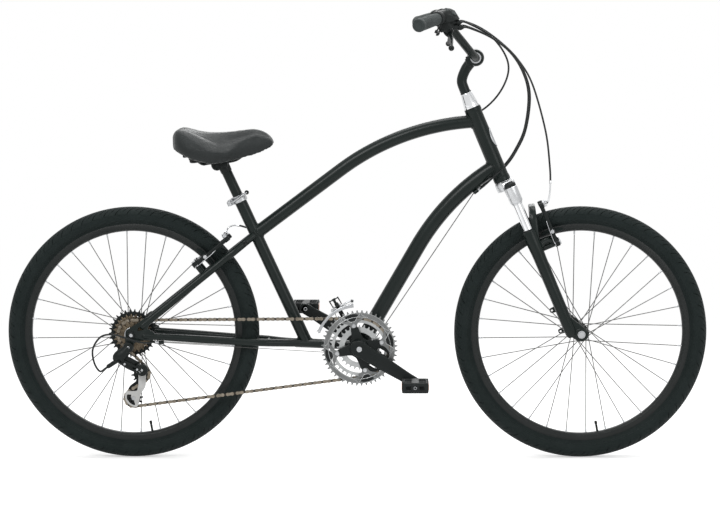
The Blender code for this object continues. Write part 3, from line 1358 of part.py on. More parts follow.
def make_pulley(name, centre, phase):
    outline = toothed(PULLEY_TEETH, phase, True, PULLEY_TOOTH_HEIGHT)
    made = fuse(
        plate(outline, -CHAINLINE, SPROCKET_THICKNESS, centre),
        cross_rod(centre, -CHAINLINE - 0.0035, -CHAINLINE + 0.0035, 0.0075, 12),
    )
    way = cross_rod(centre, -CHAINLINE - 0.01, -CHAINLINE + 0.01, bore_radius(0.0028, 8), 8)
    piece(cut(made, way), name, "black_parts", name, 30)


# Fork and headset

def make_bearing():
    """The upper bearing: a ring between the head tube and the steerer."""
    sides = 12
    inner, outer = bore_radius(STEERER_RADIUS, sides), HEAD_BORE_RADIUS - GAP
    low, high = GAP - HEAD_TUBE_LENGTH, BEARING_HEIGHT - HEAD_TUBE_LENGTH
    made = ring(HEAD_BOTTOM, STEER_DOWN, inner, outer, low, high, sides)
    piece(made, "headset_bearing", "silver_alloy", "frame", 30)


def make_fork_crown():
    """The steerer with its lower race and crown, the two sleeves and the polished stanchions."""
    race = HEAD_BORE_RADIUS * math.cos(math.pi / 12) - GAP
    steerer = [
        (STEERER_RADIUS, STEERER_TOP), (STEERER_RADIUS, -BEARING_HEIGHT - 0.002), (race, -BEARING_HEIGHT),
        (race, 0.006),
    ]
    outline = [
        (-0.036, 0.002), (0.036, 0.002), (0.038, SLEEVE_TOP), (LEG_Y + 0.006, SLEEVE_TOP),
        (LEG_Y + 0.006, 0.040), (0.040, 0.040), (0.028, 0.027), (-0.028, 0.027), (-0.040, 0.040),
        (-LEG_Y - 0.006, 0.040), (-LEG_Y - 0.006, SLEEVE_TOP), (-0.038, SLEEVE_TOP),
    ]
    points = [(y, -down) for y, down in outline]
    crown = prism(points, -0.028, 0.006, HEAD_BOTTOM.copy(), Y_AXIS, -STEER_DOWN)
    collar = lathe(HEAD_BOTTOM, STEER_DOWN, [(0.0215, 0.0012), (0.0235, 0.008), (0.0235, 0.0255)], 12)
    parts = [lathe(HEAD_BOTTOM, STEER_DOWN, steerer, 12), crown, collar]
    for side in (NEAR, FAR):
        leg = fork_point(0, LEG_FRONT, side * LEG_Y)
        profile = [
            (SLEEVE_RADIUS, SLEEVE_TOP), (SLEEVE_RADIUS, SLEEVE_END),
            (STANCHION_RADIUS, SLEEVE_END + 0.006), (STANCHION_RADIUS, STANCHION_END),
        ]
        parts.append(lathe(leg, STEER_DOWN, profile, 12))
    bore = rod(fork_point(STEERER_TOP - 0.01, 0), fork_point(-0.01, 0), STEERER_BORE, 12)
    piece(cut(fuse(*parts), bore), "fork_crown", "black_parts", "steering", 30)


def make_knob(side):
    """The knob on top of a leg that sets its spring, with two finger lugs."""
    name = "preload_knob_" + SIDE_NAMES[side]
    leg = fork_point(0, LEG_FRONT, side * LEG_Y)
    knob = lathe(leg, STEER_DOWN, [(0.0125, 0.0085), (0.0155, 0.0115), (0.0155, SLEEVE_TOP - GAP)], 12)
    lugs = [
        rod(leg + STEER_DOWN * 0.011 + STEER_FRONT * fore * 0.011,
            leg + STEER_DOWN * 0.019 + STEER_FRONT * fore * 0.011, 0.0050, 8)
        for fore in (-1, 1)
    ]
    piece(fuse(knob, *lugs), name, "black_parts", name, 30)


def make_lowers():
    """Two legs joined by an arch, with the axle plates, the brake bosses and two brake tabs."""
    parts = []
    for side in (NEAR, FAR):
        leg = fork_point(0, LEG_FRONT, side * LEG_Y)
        profile = [
            (0.0165, LOWERS_TOP), (LEG_RADII[0], LOWERS_TOP + 0.004), (LEG_RADII[0], LOWERS_TOP + 0.040),
            (LEG_RADII[1], LOWERS_TOP + 0.080), (LEG_RADII[2], LEG_FOOT), (0.011, LEG_FOOT + 0.018),
        ]
        parts.append(lathe(leg, STEER_DOWN, profile, 12))
        inner = FRONT_AXLE_SPACING / 2 + GAP
        foot = [
            (LEG_FOOT - 0.040, LEG_FRONT - 0.010), (LEG_FOOT - 0.036, LEG_FRONT + 0.012),
            (FORK_LENGTH - 0.014, FORK_RAKE + 0.014), (FORK_LENGTH + 0.002, FORK_RAKE + 0.0195),
            (FORK_LENGTH + 0.016, FORK_RAKE + 0.012), (FORK_LENGTH + 0.0195, FORK_RAKE),
            (FORK_LENGTH + 0.012, FORK_RAKE - 0.016), (LEG_FOOT + 0.010, LEG_FRONT - 0.008),
        ]
        low, high = sorted((side * inner, side * (inner + FRONT_DROPOUT_THICKNESS)))
        parts.append(fork_plate(foot, low, high))
        parts += brake_post(FRONT_BRAKE, side, LEG_FRONT - FORK_RAKE - BRAKE_AHEAD)
    parts.append(arch())
    for height in DISC_TAB_HEIGHTS:
        down, front = FORK_LENGTH - height, LEG_FRONT - 0.0245
        tab = [
            (down - 0.008, LEG_FRONT - 0.004), (down + 0.010, LEG_FRONT - 0.004),
            (down + 0.0055, front - 0.005), (down - 0.0055, front - 0.005),
        ]
        parts.append(fork_plate(tab, LEG_Y - 0.004, LEG_Y + 0.004))
    made = fuse(*parts)
    cutters = []
    for side in (NEAR, FAR):
        leg = fork_point(0, LEG_FRONT, side * LEG_Y)
        reach = STANCHION_END + FORK_TRAVEL + 0.004
        above = leg + STEER_DOWN * (SLEEVE_END + 0.010)
        cutters.append(rod(above, leg + STEER_DOWN * reach, STANCHION_RADIUS + GAP, 12))
        low, high = sorted((side * (FRONT_AXLE_SPACING / 2 - 0.01), side * (FRONT_AXLE_SPACING / 2 + 0.03)))
        cutters.append(cross_rod(FRONT_AXLE, low, high, AXLE_RADIUS + GAP, 8))
    for height in DISC_TAB_HEIGHTS:
        spot = fork_point(FORK_LENGTH - height, LEG_FRONT - 0.0235)
        cutters.append(cross_rod(spot, LEG_Y - 0.01, LEG_Y + 0.01, 0.0028, 8))
    piece(cut(made, *cutters), "fork_lowers", "black_parts", "fork_lowers", 30)


def arch():
    """A flat bowed strap from leg to leg over the tyre, set forward of the crown."""
    top = fork_point(FORK_LENGTH - ARCH_HEIGHT, ARCH_AHEAD)
    foot = fork_point(FORK_LENGTH - ARCH_FOOT_HEIGHT, ARCH_AHEAD - 0.022)
    up = (top - foot).normalized()
    outside = [(-0.062, 0.0), (-0.060, 0.040), (-0.046, 0.068), (-0.022, 0.0785)]
    inside = [(-0.043, 0.0), (-0.041, 0.034), (-0.030, 0.052), (-0.016, 0.0600)]
    outline = outside + [(-a, b) for a, b in reversed(outside)]
    outline += [(-a, b) for a, b in inside] + [(a, b) for a, b in reversed(inside)]
    return prism(outline, -0.008, 0.008, foot, Y_AXIS, up)


def make_headset_cone():
    """A cone over the headset's nuts; the stem comes out of its top."""
    sides = 12
    steerer, quill = bore_radius(STEERER_RADIUS, sides), bore_radius(QUILL_RADIUS, sides)
    profile = [
        (steerer, CONE_BOTTOM), (0.0205, CONE_BOTTOM), (0.0200, CONE_BOTTOM - 0.006),
        (0.0145, CONE_TOP), (quill, CONE_TOP), (quill, STEERER_TOP - GAP), (steerer, STEERER_TOP - GAP),
    ]
    made = lathe(HEAD_BOTTOM, STEER_DOWN, profile, sides, True)
    piece(made, "headset_cone", "chrome", "steering", 30)


# Stem, handlebar and controls

def make_stem():
    """A swan neck on a quill, with the handlebar's clamp and its two bolts at the top."""
    foot = fork_point(CONE_TOP - GAP, 0)
    bends = [(-0.0355, 0, -0.060), (-0.0275, 0, -0.034), (-0.014, 0, -0.014), (-0.004, 0, -0.004)]
    neck = [foot, fork_point(CONE_TOP - 0.010, -0.0005), *at_points(BAR_CENTRE, bends)]
    half = BAR_CLAMP_WIDTH / 2
    parts = [
        rod(fork_point(QUILL_DEPTH - HEAD_TUBE_LENGTH, 0), fork_point(CONE_TOP - 0.012, 0), QUILL_RADIUS, 12),
        tube(smooth_path(neck, 7), STEM_RADIUS, 3),
        cross_rod(BAR_CENTRE, -half, half, BAR_CLAMP_RADIUS, 18),
    ]
    bolt = BAR_CENTRE + Vector((-0.019, 0, -0.010))
    for y in (-0.014, 0.014):
        head = bolt + Y_AXIS * y
        parts.append(rod(head + Vector((0, 0, -0.002)), head + Vector((-0.004, 0, 0.018)), 0.0048, 8))
    bore = cross_rod(BAR_CENTRE, -half - 0.01, half + 0.01, bore_radius(BAR_RADIUS + GAP, 12), 12)
    piece(cut(fuse(*parts), bore), "stem", "black_parts", "steering", 30)


def bar_straight():
    """Where the straight end of the handlebar begins."""
    return GRIP_START - GRIP_ALONG * 0.046


def make_handlebar():
    start = bar_straight()
    bend = at_points(BAR_CENTRE, BAR_ROUTE) + [start - GRIP_ALONG * 0.006, start]
    left = [BAR_CENTRE.copy()] + smooth_path(bend, 8) + [BAR_END]
    right = [to_side(p, NEAR) for p in reversed(left[1:])]
    made = as_mesh(tube(right + left, BAR_RADIUS, 3))
    piece(made, "handlebar", "black_parts", "steering", 30)


def make_grip(side):
    axis = to_side(GRIP_ALONG, side)
    length = (BAR_END - GRIP_START).length
    bore = BAR_RADIUS + 2 * GAP
    flange = GRIP_RADIUS + 0.0012
    profile = [
        (0, length + GAP), (bore, length + GAP), (bore, 0), (flange, 0), (flange, 0.004),
        (GRIP_RADIUS, 0.007), (GRIP_RADIUS, length - 0.004), (GRIP_RADIUS - 0.004, length + 0.004),
        (0, length + 0.004),
    ]
    made = lathe(to_side(GRIP_START, side), axis, profile, 12)
    piece(made, "grip_" + SIDE_NAMES[side], "grip_rubber", "steering", 40)


def lever_axis():
    """The way a brake lever's pin points: square to the blade and to the way it is squeezed."""
    blade = LEVER_BALL - LEVER_PIVOT
    grip = GRIP_START + GRIP_ALONG * (LEVER_BALL.y - GRIP_START.y) / GRIP_ALONG.y
    return blade.cross(grip - LEVER_BALL).normalized()


def control_frame():
    """The middle of the left control's clamp, and the ways along the bar, down and to the front."""
    clamp_at = GRIP_START - GRIP_ALONG * 0.026
    down = LEVER_PIVOT - clamp_at
    down = (down - GRIP_ALONG * down.dot(GRIP_ALONG)).normalized()
    return clamp_at, GRIP_ALONG, down, down.cross(GRIP_ALONG)


def barrels():
    """Root and tip of the brake's and the shifter's cable barrels on the left control."""
    clamp_at, along, down, front = control_frame()
    way = (front * 0.65 + down * 0.40 - along * 0.75).normalized() * 0.030
    roots = [clamp_at + down * low + front * 0.012 - along * 0.008 for low in (0.020, 0.034)]
    return [(root, root + way) for root in roots]


def make_control(side):
    """The clamp round the bar with the brake lever's bracket and the shifter's housing."""
    clamp_at, along, down, front = control_frame()
    axis = lever_axis()
    blade = (LEVER_BALL - LEVER_PIVOT).normalized()
    shifter = clamp_at + down * 0.022 + front * 0.005
    bracket = clamp_at + down * 0.008 + front * 0.018 - along * 0.004
    parts = [
        rod(clamp_at - along * 0.011, clamp_at + along * 0.011, 0.0170, 12),
        turned_block(shifter, (0.034, 0.026, 0.034), along, down, front),
        turned_block(bracket, (0.029, 0.022, 0.020), along, down, front),
        rod(clamp_at + down * 0.012, LEVER_PIVOT, 0.0115, 8),
        rod(LEVER_PIVOT - axis * 0.0115, LEVER_PIVOT + axis * 0.0115, 0.0085, 8),
    ]
    parts += [rod(root, tip, 0.0052, 8) for root, tip in barrels()]
    made = cut(
        fuse(*parts),
        rod(clamp_at - along * 0.06, clamp_at + along * 0.06, BAR_RADIUS + 2 * GAP, 12),
        turned_block(LEVER_PIVOT + blade * 0.006, (0.034, 0.0096, 0.030), blade, axis, blade.cross(axis)),
        rod(LEVER_PIVOT - axis * 0.03, LEVER_PIVOT + axis * 0.03, bore_radius(0.0025, 8), 8),
    )
    if side == NEAR:
        made = reflected(made)
    piece(made, "control_" + SIDE_NAMES[side], "black_parts", "steering", 30)


def reflected(obj):
    """The same shape on the other side of the frame's plane."""
    obj.data.transform(Matrix.Diagonal((1, -1, 1, 1)))
    obj.data.flip_normals()
    return obj


def make_brake_lever(side):
    """A curved blade with a ball end, a boss and the pin it turns on."""
    axis = lever_axis()
    blade = LEVER_BALL - LEVER_PIVOT
    away = blade.normalized().cross(axis)
    if away.dot(GRIP_START - LEVER_BALL) > 0:
        away = -away
    path = [LEVER_PIVOT, LEVER_PIVOT + blade * 0.30 + away * 0.007, LEVER_PIVOT + blade * 0.65 + away * 0.004,
            LEVER_BALL]
    parts = [
        tube(smooth_path(path, 5), 0.0042, 2),
        rod(LEVER_PIVOT - axis * 0.0045, LEVER_PIVOT + axis * 0.0045, 0.0075, 8),
        rod(LEVER_PIVOT - axis * 0.0125, LEVER_PIVOT + axis * 0.0125, 0.0025, 8),
        lathe(LEVER_BALL, blade.normalized(), [(0, -0.0075), (0.0062, -0.004), (0.0075, 0.0005),
                                                (0.0060, 0.005), (0, 0.0075)], 8),
    ]
    made = fuse(*parts)
    if side == NEAR:
        made = reflected(made)
    name = "brake_lever_" + SIDE_NAMES[side]
    piece(made, name, "black_parts", name, 30)


def shift_pivot():
    """Where the shift lever's axis meets the housing's rear face."""
    clamp_at, along, down, front = control_frame()
    return clamp_at + down * 0.027 - front * (0.012 + GAP)


def make_shift_lever(side):
    """A thumb lever behind the shifter's housing, below the bar."""
    _, along, down, front = control_frame()
    pivot = shift_pivot()
    hub = rod(pivot, pivot - front * 0.006, 0.0095, 12)
    path = [
        pivot - front * 0.003, pivot - front * 0.0035 + along * 0.014 + down * 0.004,
        pivot - front * 0.0035 + along * 0.030 + down * 0.010,
    ]
    made = fuse(hub, tube(path, 0.0028, 2, [0.0028, 0.0030, 0.0040]))
    if side == NEAR:
        made = reflected(made)
    name = "shift_lever_" + SIDE_NAMES[side]
    piece(made, name, "black_parts", name, 30)


# Seat

def make_seat_clamp():
    """A split collar round the top of the seat tube, with two ears and the skewer through them."""
    top = SEAT_TOP
    low, high = -SEAT_CLAMP_HEIGHT, -0.0005
    inner, outer = SEAT_TUBE_RADIUS + GAP, SEAT_TUBE_RADIUS + 0.0042
    collar = ring(top, SEAT_UP, inner, outer, low, high, 12)
    ears_at = SEAT_TUBE_RADIUS + 0.0095
    middle = top + SEAT_UP * (low + high) / 2
    parts = [collar]
    for side in (NEAR, FAR):
        spot = middle + SEAT_BACK * (ears_at - 0.001) + Y_AXIS * side * 0.0055
        parts.append(turned_block(spot, (0.015, 0.0080, 0.013), SEAT_BACK, Y_AXIS, SEAT_UP))
    skewer = middle + SEAT_BACK * (ears_at + 0.0015)
    parts.append(rod(skewer - Y_AXIS * 0.0135, skewer + Y_AXIS * 0.0170, 0.0028, 8))
    parts.append(rod(skewer + Y_AXIS * 0.0090, skewer + Y_AXIS * 0.0150, 0.0060, 8))
    piece(fuse(*parts), "seat_clamp", "silver_alloy", "frame", 30)


def lever_cam():
    middle = SEAT_TOP - SEAT_UP * (SEAT_CLAMP_HEIGHT + 0.0005) / 2
    return middle + SEAT_BACK * (SEAT_TUBE_RADIUS + 0.011) - Y_AXIS * 0.0195


def make_clamp_lever():
    cam = lever_cam()
    ball = cam - SEAT_BACK * 0.054 + SEAT_UP * 0.008 - Y_AXIS * 0.0075
    bend = cam - SEAT_BACK * 0.018 + SEAT_UP * 0.001 - Y_AXIS * 0.0068
    path = [cam, bend, ball.lerp(cam, 0.3) - Y_AXIS * 0.004, ball]
    parts = [
        rod(cam - SEAT_UP * 0.0055, cam + SEAT_UP * 0.0055, 0.0055, 8),
        tube(smooth_path(path, 6), 0.0035, 2, [0.0035, 0.0038, 0.0042, 0.0045, 0.0050, 0.0050]),
        lathe(ball, SEAT_BACK, [(0, -0.0055), (0.0055, 0), (0, 0.0055)], 8),
    ]
    piece(fuse(*parts), "seat_clamp_lever", "silver_alloy", "seat_clamp_lever", 30)


def make_seatpost():
    made = rod(SEAT_TOP - SEAT_UP * POST_INSIDE, POST_TOP, POST_RADIUS, 12)
    piece(made, "seatpost", "black_parts", "seatpost", 30)


def make_saddle_clamp():
    """The head on the post: a collar, and jaws that hold the two rails."""
    outer = lathe(POST_TOP, SEAT_UP, [(POST_RADIUS + 0.0050, -0.024), (POST_RADIUS + 0.0050, 0.004)], 12)
    jaw = turned_block(SADDLE_CLAMP_AT, (0.040, 0.056, 0.018), RAIL_RUN, Y_AXIS, RAIL_RUN.cross(Y_AXIS))
    bolt = rod(SADDLE_CLAMP_AT - Y_AXIS * 0.034, SADDLE_CLAMP_AT + Y_AXIS * 0.034, 0.0065, 8)
    made = fuse(outer, jaw, bolt)
    cutters = [rod(POST_TOP - SEAT_UP * 0.04, POST_TOP + SEAT_UP * GAP, POST_RADIUS + GAP, 12)]
    for side in (NEAR, FAR):
        at = SADDLE_CLAMP_AT + Y_AXIS * side * RAIL_HALF_SPREAD + RAIL_UP
        cutters.append(rod(at - RAIL_RUN * 0.04, at + RAIL_RUN * 0.04, RAIL_RADIUS + 2 * GAP, 8))
    piece(cut(made, *cutters), "saddle_clamp", "black_parts", "seatpost", 30)


def saddle_stations():
    """Along the saddle: x, half width, and the heights of its top and of its lower edge."""
    at = SADDLE_CLAMP_AT
    return [(at.x + ahead, wide, at.z + top, at.z + low) for ahead, wide, top, low in SADDLE_STATIONS]


def make_saddle():
    """A padded cushion with a crown, drawn-in sides and a middle channel, over a moulded base."""
    rings = []
    for x, wide, top, low in saddle_stations():
        height = top - low
        half = [
            (0.0, top - 0.0045), (0.12, top - 0.0035), (0.30, top - 0.0005), (0.62, top - 0.10 * height),
            (0.88, top - 0.30 * height), (1.0, top - 0.56 * height), (0.985, low + 0.12 * height),
            (0.90, low), (0.80, low + 0.0005), (0.78, low + SADDLE_RECESS), (0.0, low + SADDLE_RECESS),
        ]
        left = [Vector((x, wide * a, z)) for a, z in half]
        rings.append(left + [to_side(p, NEAR) for p in reversed(left[1:-1])])
    piece(loft(rings), "saddle_cushion", "saddle_vinyl", "seatpost", 50)
    make_saddle_base()


def make_saddle_base():
    rings = []
    for x, wide, _, low in saddle_stations()[1:-1]:
        top = low + SADDLE_RECESS - GAP
        under, y = top - SADDLE_BASE_THICKNESS, wide * 0.74
        corners = ((-y, top), (y, top), (y * 0.94, under), (-y * 0.94, under))
        rings.append([Vector((x, out, z)) for out, z in corners])
    piece(loft(rings), "saddle_base", "black_parts", "seatpost", 30)


def make_saddle_rails():
    """Two rails joined at the nose, with a bridge and the two rubber blocks at the back."""
    at = SADDLE_CLAMP_AT + RAIL_UP
    parts = []
    for side in (NEAR, FAR):
        y = side * RAIL_HALF_SPREAD
        path = [
            SADDLE_CLAMP_AT + Vector((-0.084, side * 0.040, 0.0175)),
            SADDLE_CLAMP_AT + Vector((-0.064, side * 0.036, 0.0095)),
            at - RAIL_RUN * 0.045 + Y_AXIS * side * 0.024,
            at - RAIL_RUN * 0.028 + Y_AXIS * y,
            at + RAIL_RUN * 0.034 + Y_AXIS * y,
            SADDLE_CLAMP_AT + Vector((0.081, side * 0.016, 0.0180)),
            SADDLE_CLAMP_AT + Vector((0.112, side * 0.010, 0.0355)),
        ]
        parts.append(tube(path, RAIL_RADIUS, 2))
        parts.append(seated_block(-REAR_BLOCK_BACK, side * REAR_BLOCK_Y, (0.028, 0.022, 0.0180)))
    parts.append(seated_block(NOSE_BLOCK_AHEAD, 0, (0.014, 0.032, 0.0080)))
    bridge = SADDLE_CLAMP_AT + Vector((-0.079, 0, 0.0175))
    parts.append(turned_block(bridge, (0.010, 0.070, 0.0060), RAIL_RUN, Y_AXIS, Vector((0, 0, 1))))
    piece(fuse(*parts), "saddle_rails", "chrome", "seatpost", 30)


def seated_block(ahead, y, size):
    """A block whose top lies flat under the saddle's base, this far ahead of the clamp."""
    x = SADDLE_CLAMP_AT.x + ahead
    stations = saddle_stations()
    after = next(k for k, station in enumerate(stations) if station[0] > x)
    under = SADDLE_RECESS - GAP - SADDLE_BASE_THICKNESS
    back, front = (Vector((x, 0, low + under)) for x, _, _, low in stations[after - 1 : after + 1])
    run = front - back
    top = back + run * ((x - back.x) / run.x) + Y_AXIS * y
    run.normalize()
    up = Vector((-run.z, 0, run.x))
    return turned_block(top - up * (GAP + size[2] / 2), size, run, Y_AXIS, up)


# Cables

def make_cable(name, housing, wire, parent, tail=()):
    """One cable: a length of housing, the bare wire and, for some, a second length of housing."""
    path = list(housing)
    radii = [HOUSING_RADIUS] * len(path)
    if wire:
        step = (Vector(wire[0]) - path[-1]).normalized() * 0.001
        path += [path[-1] + step] + [Vector(p) for p in wire]
        radii += [WIRE_RADIUS] * (len(wire) + 1)
    path += list(tail)
    radii += [HOUSING_RADIUS] * len(tail)
    piece(as_mesh(tube(path, HOUSING_RADIUS, 2, radii)), name, "housing_black", parent)


def barrel_way(which, side):
    """The first two points of a cable that leaves a control's barrel."""
    root, tip = barrels()[which]
    way = (tip - root).normalized()
    return [to_side(tip + way * 3 * GAP, side), to_side(tip + way * 0.016, side)]


def make_brake_cables():
    across_y = BRAKE_POST_Y - 0.004
    head = [FRONT_BRAKE.at(BRAKE_ARM_LENGTH - 0.004, NOODLE_OUT, y) for y in (-across_y, across_y)]
    from_bar = [(0.019, 0.142, 0.074), (0.069, 0.106, 0.038), (0.113, 0.062, -0.007), (0.149, 0.016, -0.070)]
    to_arm = [
        (-0.0246, -0.036, 0.2954), (-0.0136, -0.050, 0.2034), (-0.0121, -0.052, 0.1534),
        (-0.0141, -0.050, 0.1274), (-0.0181, -0.045, 0.1099),
    ]
    route = [
        *barrel_way(0, FAR), *at_points(BAR_CENTRE, from_bar),
        *at_points(FRONT_BRAKE.origin, to_arm), head[0],
    ]
    make_cable("front_brake_cable", smooth_path(route, 14), [head[1]], "steering")
    head = [REAR_BRAKE.at(BRAKE_ARM_LENGTH - 0.004, NOODLE_OUT, y) for y in (across_y, -across_y)]
    tube_side = beside(list(reversed(top_tube_path())), 0, TOP_TUBE_RADIUS + HOUSING_RADIUS + 2 * GAP)
    from_bar = [
        (0.036, -0.127, 0.058), (0.075, -0.080, 0.008), (0.084, -0.034, -0.038),
        (0.063, 0.014, -0.092), (0.021, 0.033, -0.136), (-0.041, 0.026, -0.166),
    ]
    to_arm = [
        (0.0346, 0.0215, 0.0265), (-0.0104, 0.026, 0.0125),
        (-0.0474, 0.036, 0.0185), (-0.0714, 0.044, 0.0145),
    ]
    route = [
        *barrel_way(0, NEAR), *at_points(BAR_CENTRE, from_bar), *tube_side[1:-1:2],
        *at_points(SEAT_CROSS, to_arm), head[0],
    ]
    make_cable("rear_brake_cable", smooth_path(route, 18), [head[1]], "frame")


def make_shift_cables():
    """Both run in housing to the down tube's stops and bare under the bottom bracket."""
    stops = cable_stops()
    round_shell = [polar(SHELL_RADIUS + 0.004, math.radians(angle)) for angle in (-30, -75, -115)]
    guide = at_points(BRACKET, [(x, 0, z) for x, z in round_shell])
    for side, (low, high) in ((NEAR, stops[0]), (FAR, stops[1])):
        from_bar = [
            (0.036, side * 0.136, 0.055), (0.091, side * 0.102, 0.014), (0.125, side * 0.074, -0.038),
            (0.140, side * 0.056, -0.100), (0.130, side * 0.042, -0.185), (0.105, side * 0.037, -0.242),
        ]
        to_stop = [
            (0.0058, side * 0.034, 0.0389), (-0.0302, side * 0.029, 0.0059), (-0.0502, side * 0.014, -0.0136),
        ]
        route = [
            *barrel_way(1, side), *at_points(BAR_CENTRE, from_bar), *at_points(HEAD_BOTTOM, to_stop), high,
        ]
        housing = smooth_path(route, 11) + [low]
        wire = [Vector((p.x, low.y * 0.8, p.z)) for p in guide]
        if side == FAR:
            up_to_cage = [
                (-0.024, -0.012, -0.016), (-0.038, -0.0245, 0.004), (-0.052, -0.030, 0.055),
                (-0.073, -0.0370, 0.0955),
            ]
            make_cable("front_shift_cable", housing, wire + at_points(BRACKET, up_to_cage), "frame")
        else:
            make_cable("rear_shift_cable", housing, wire + [stops[2][0]], "frame", derailleur_loop(*stops[2]))


def derailleur_loop(low, back):
    """The loop of housing from the chain stay's stop round to the rear derailleur's barrel."""
    run = back - low
    into = (RD_BARREL_END - RD_LINK_TOP).normalized()
    round_axle = [
        (0.031, -0.0125, -0.0190), (-0.005, -0.0230, -0.0085), (-0.043, -0.0250, 0.0035),
        (-0.077, -0.0230, -0.0020), (-0.099, -0.0190, -0.0340), (-0.0965, -0.0170, -0.0700),
        (-0.082, -0.0160, -0.0935),
    ]
    loop = smooth_path([back + run * 0.9, *at_points(DROPOUT_FACE, round_axle)], 9)
    return [low + run * 0.1, *loop, RD_BARREL_END + into * 0.005, RD_BARREL_END - into * 0.004]


# Assembly

def make_bodies():
    body("frame", (0, 0, 0))
    body("steering", HEAD_BOTTOM, "frame")
    body("fork_lowers", fork_point(LOWERS_TOP, LEG_FRONT), "steering")
    body("front_wheel", FRONT_AXLE, "fork_lowers")
    for name in ("rear_wheel", "freewheel"):
        body(name, REAR_AXLE, "frame")
    body("crank", BRACKET, "frame")
    body("front_derailleur_link", fd_pivot(FD_BASE_RADIUS), "frame")
    body("front_derailleur_cage", fd_pivot(FD_JOINT_RADIUS), "front_derailleur_link")
    body("rear_derailleur_knuckle", REAR_AXLE + Vector((-HANGER_BACK, 0, -HANGER_DROP)), "frame")
    body("rear_derailleur_link", RD_LINK_TOP, "rear_derailleur_knuckle")
    body("rear_derailleur_body", RD_LINK_BOTTOM, "rear_derailleur_link")
    body("rear_derailleur_cage", CAGE_PIVOT_AT, "rear_derailleur_body")
    body("guide_pulley", GUIDE_PULLEY_AT, "rear_derailleur_cage")
    body("tension_pulley", TENSION_PULLEY_AT, "rear_derailleur_cage")
    body("seatpost", SEAT_TOP, "frame")
    body("seat_clamp_lever", lever_cam(), "frame")
    for side, word in SIDE_NAMES.items():
        end = BRACKET + crank_direction(side) * CRANK_LENGTH
        body("pedal_" + word, end + Y_AXIS * side * PEDAL_FACE, "crank")
        body("preload_knob_" + word, fork_point(0.01, LEG_FRONT, side * LEG_Y), "steering")
        body("brake_lever_" + word, to_side(LEVER_PIVOT, side), "steering")
        body("shift_lever_" + word, to_side(shift_pivot(), side), "steering")
        body("front_brake_arm_" + word, FRONT_BRAKE.at(0, 0, side * BRAKE_POST_Y), "fork_lowers")
        body("rear_brake_arm_" + word, REAR_BRAKE.at(0, 0, side * BRAKE_POST_Y), "frame")


def make_drive():
    ring = ChainWheel(BRACKET, RING_TEETH[CHAIN_RING], 1)
    tension = ChainWheel(TENSION_PULLEY_AT, PULLEY_TEETH, 1)
    guide = ChainWheel(GUIDE_PULLEY_AT, PULLEY_TEETH, -1)
    cog = ChainWheel(REAR_AXLE, COG_TEETH[CHAIN_COG], 1)
    make_chain(chain_pins([ring, tension, guide, cog]))
    make_rings(ring.phase)
    make_freewheel(cog.phase)
    make_pulley("guide_pulley", GUIDE_PULLEY_AT, guide.phase)
    make_pulley("tension_pulley", TENSION_PULLEY_AT, tension.phase)


def main():
    clear_scene()
    make_materials()
    make_bodies()
    make_frame()
    make_bracket()
    make_bearing()
    make_fork_crown()
    make_lowers()
    make_headset_cone()
    make_stem()
    make_handlebar()
    make_front_wheel()
    make_rear_wheel()
    make_drive()
    make_spindle()
    make_front_derailleur()
    make_rear_derailleur()
    make_seat_clamp()
    make_clamp_lever()
    make_seatpost()
    make_saddle_clamp()
    make_saddle()
    make_saddle_rails()
    make_brake_cables()
    make_shift_cables()
    for side, word in SIDE_NAMES.items():
        make_crank(side)
        make_pedal(side)
        make_knob(side)
        make_grip(side)
        make_control(side)
        make_brake_lever(side)
        make_shift_lever(side)
        make_brake_arm(FRONT_BRAKE, "front_brake_arm_" + word, side, "front_brake_arm_" + word)
        make_brake_arm(REAR_BRAKE, "rear_brake_arm_" + word, side, "rear_brake_arm_" + word)


main()
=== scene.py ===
"""A comfort bike dressed over its CAD frame.

Curved tubes, a swan-neck stem, a short suspension fork and 3 x 7 gears.

It faces +X with the chain side at -Y. Lengths are in metres, in the frame's own coordinates.
"""

import math

import bmesh
import bpy
from mathutils import Matrix, Vector


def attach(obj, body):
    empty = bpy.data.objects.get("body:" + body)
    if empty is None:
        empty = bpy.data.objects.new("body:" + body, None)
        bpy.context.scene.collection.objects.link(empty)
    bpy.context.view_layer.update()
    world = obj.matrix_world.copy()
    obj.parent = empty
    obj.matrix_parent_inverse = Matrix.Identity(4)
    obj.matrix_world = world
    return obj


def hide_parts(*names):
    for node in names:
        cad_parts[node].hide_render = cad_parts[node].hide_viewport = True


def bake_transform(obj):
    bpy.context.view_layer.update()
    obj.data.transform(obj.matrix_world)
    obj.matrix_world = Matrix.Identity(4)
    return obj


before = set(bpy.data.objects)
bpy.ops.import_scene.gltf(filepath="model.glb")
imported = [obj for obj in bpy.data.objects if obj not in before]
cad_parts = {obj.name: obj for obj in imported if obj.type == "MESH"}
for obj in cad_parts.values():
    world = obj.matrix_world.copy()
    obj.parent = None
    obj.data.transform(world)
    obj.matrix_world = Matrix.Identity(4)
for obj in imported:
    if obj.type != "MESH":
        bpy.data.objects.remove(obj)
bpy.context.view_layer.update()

NEAR, FAR = -1, 1
SIDES = ((NEAR, "right"), (FAR, "left"))
X_AXIS, Y_AXIS, Z_AXIS = Vector((1, 0, 0)), Vector((0, 1, 0)), Vector((0, 0, 1))
scene = bpy.context.scene

# Places that the frame gives

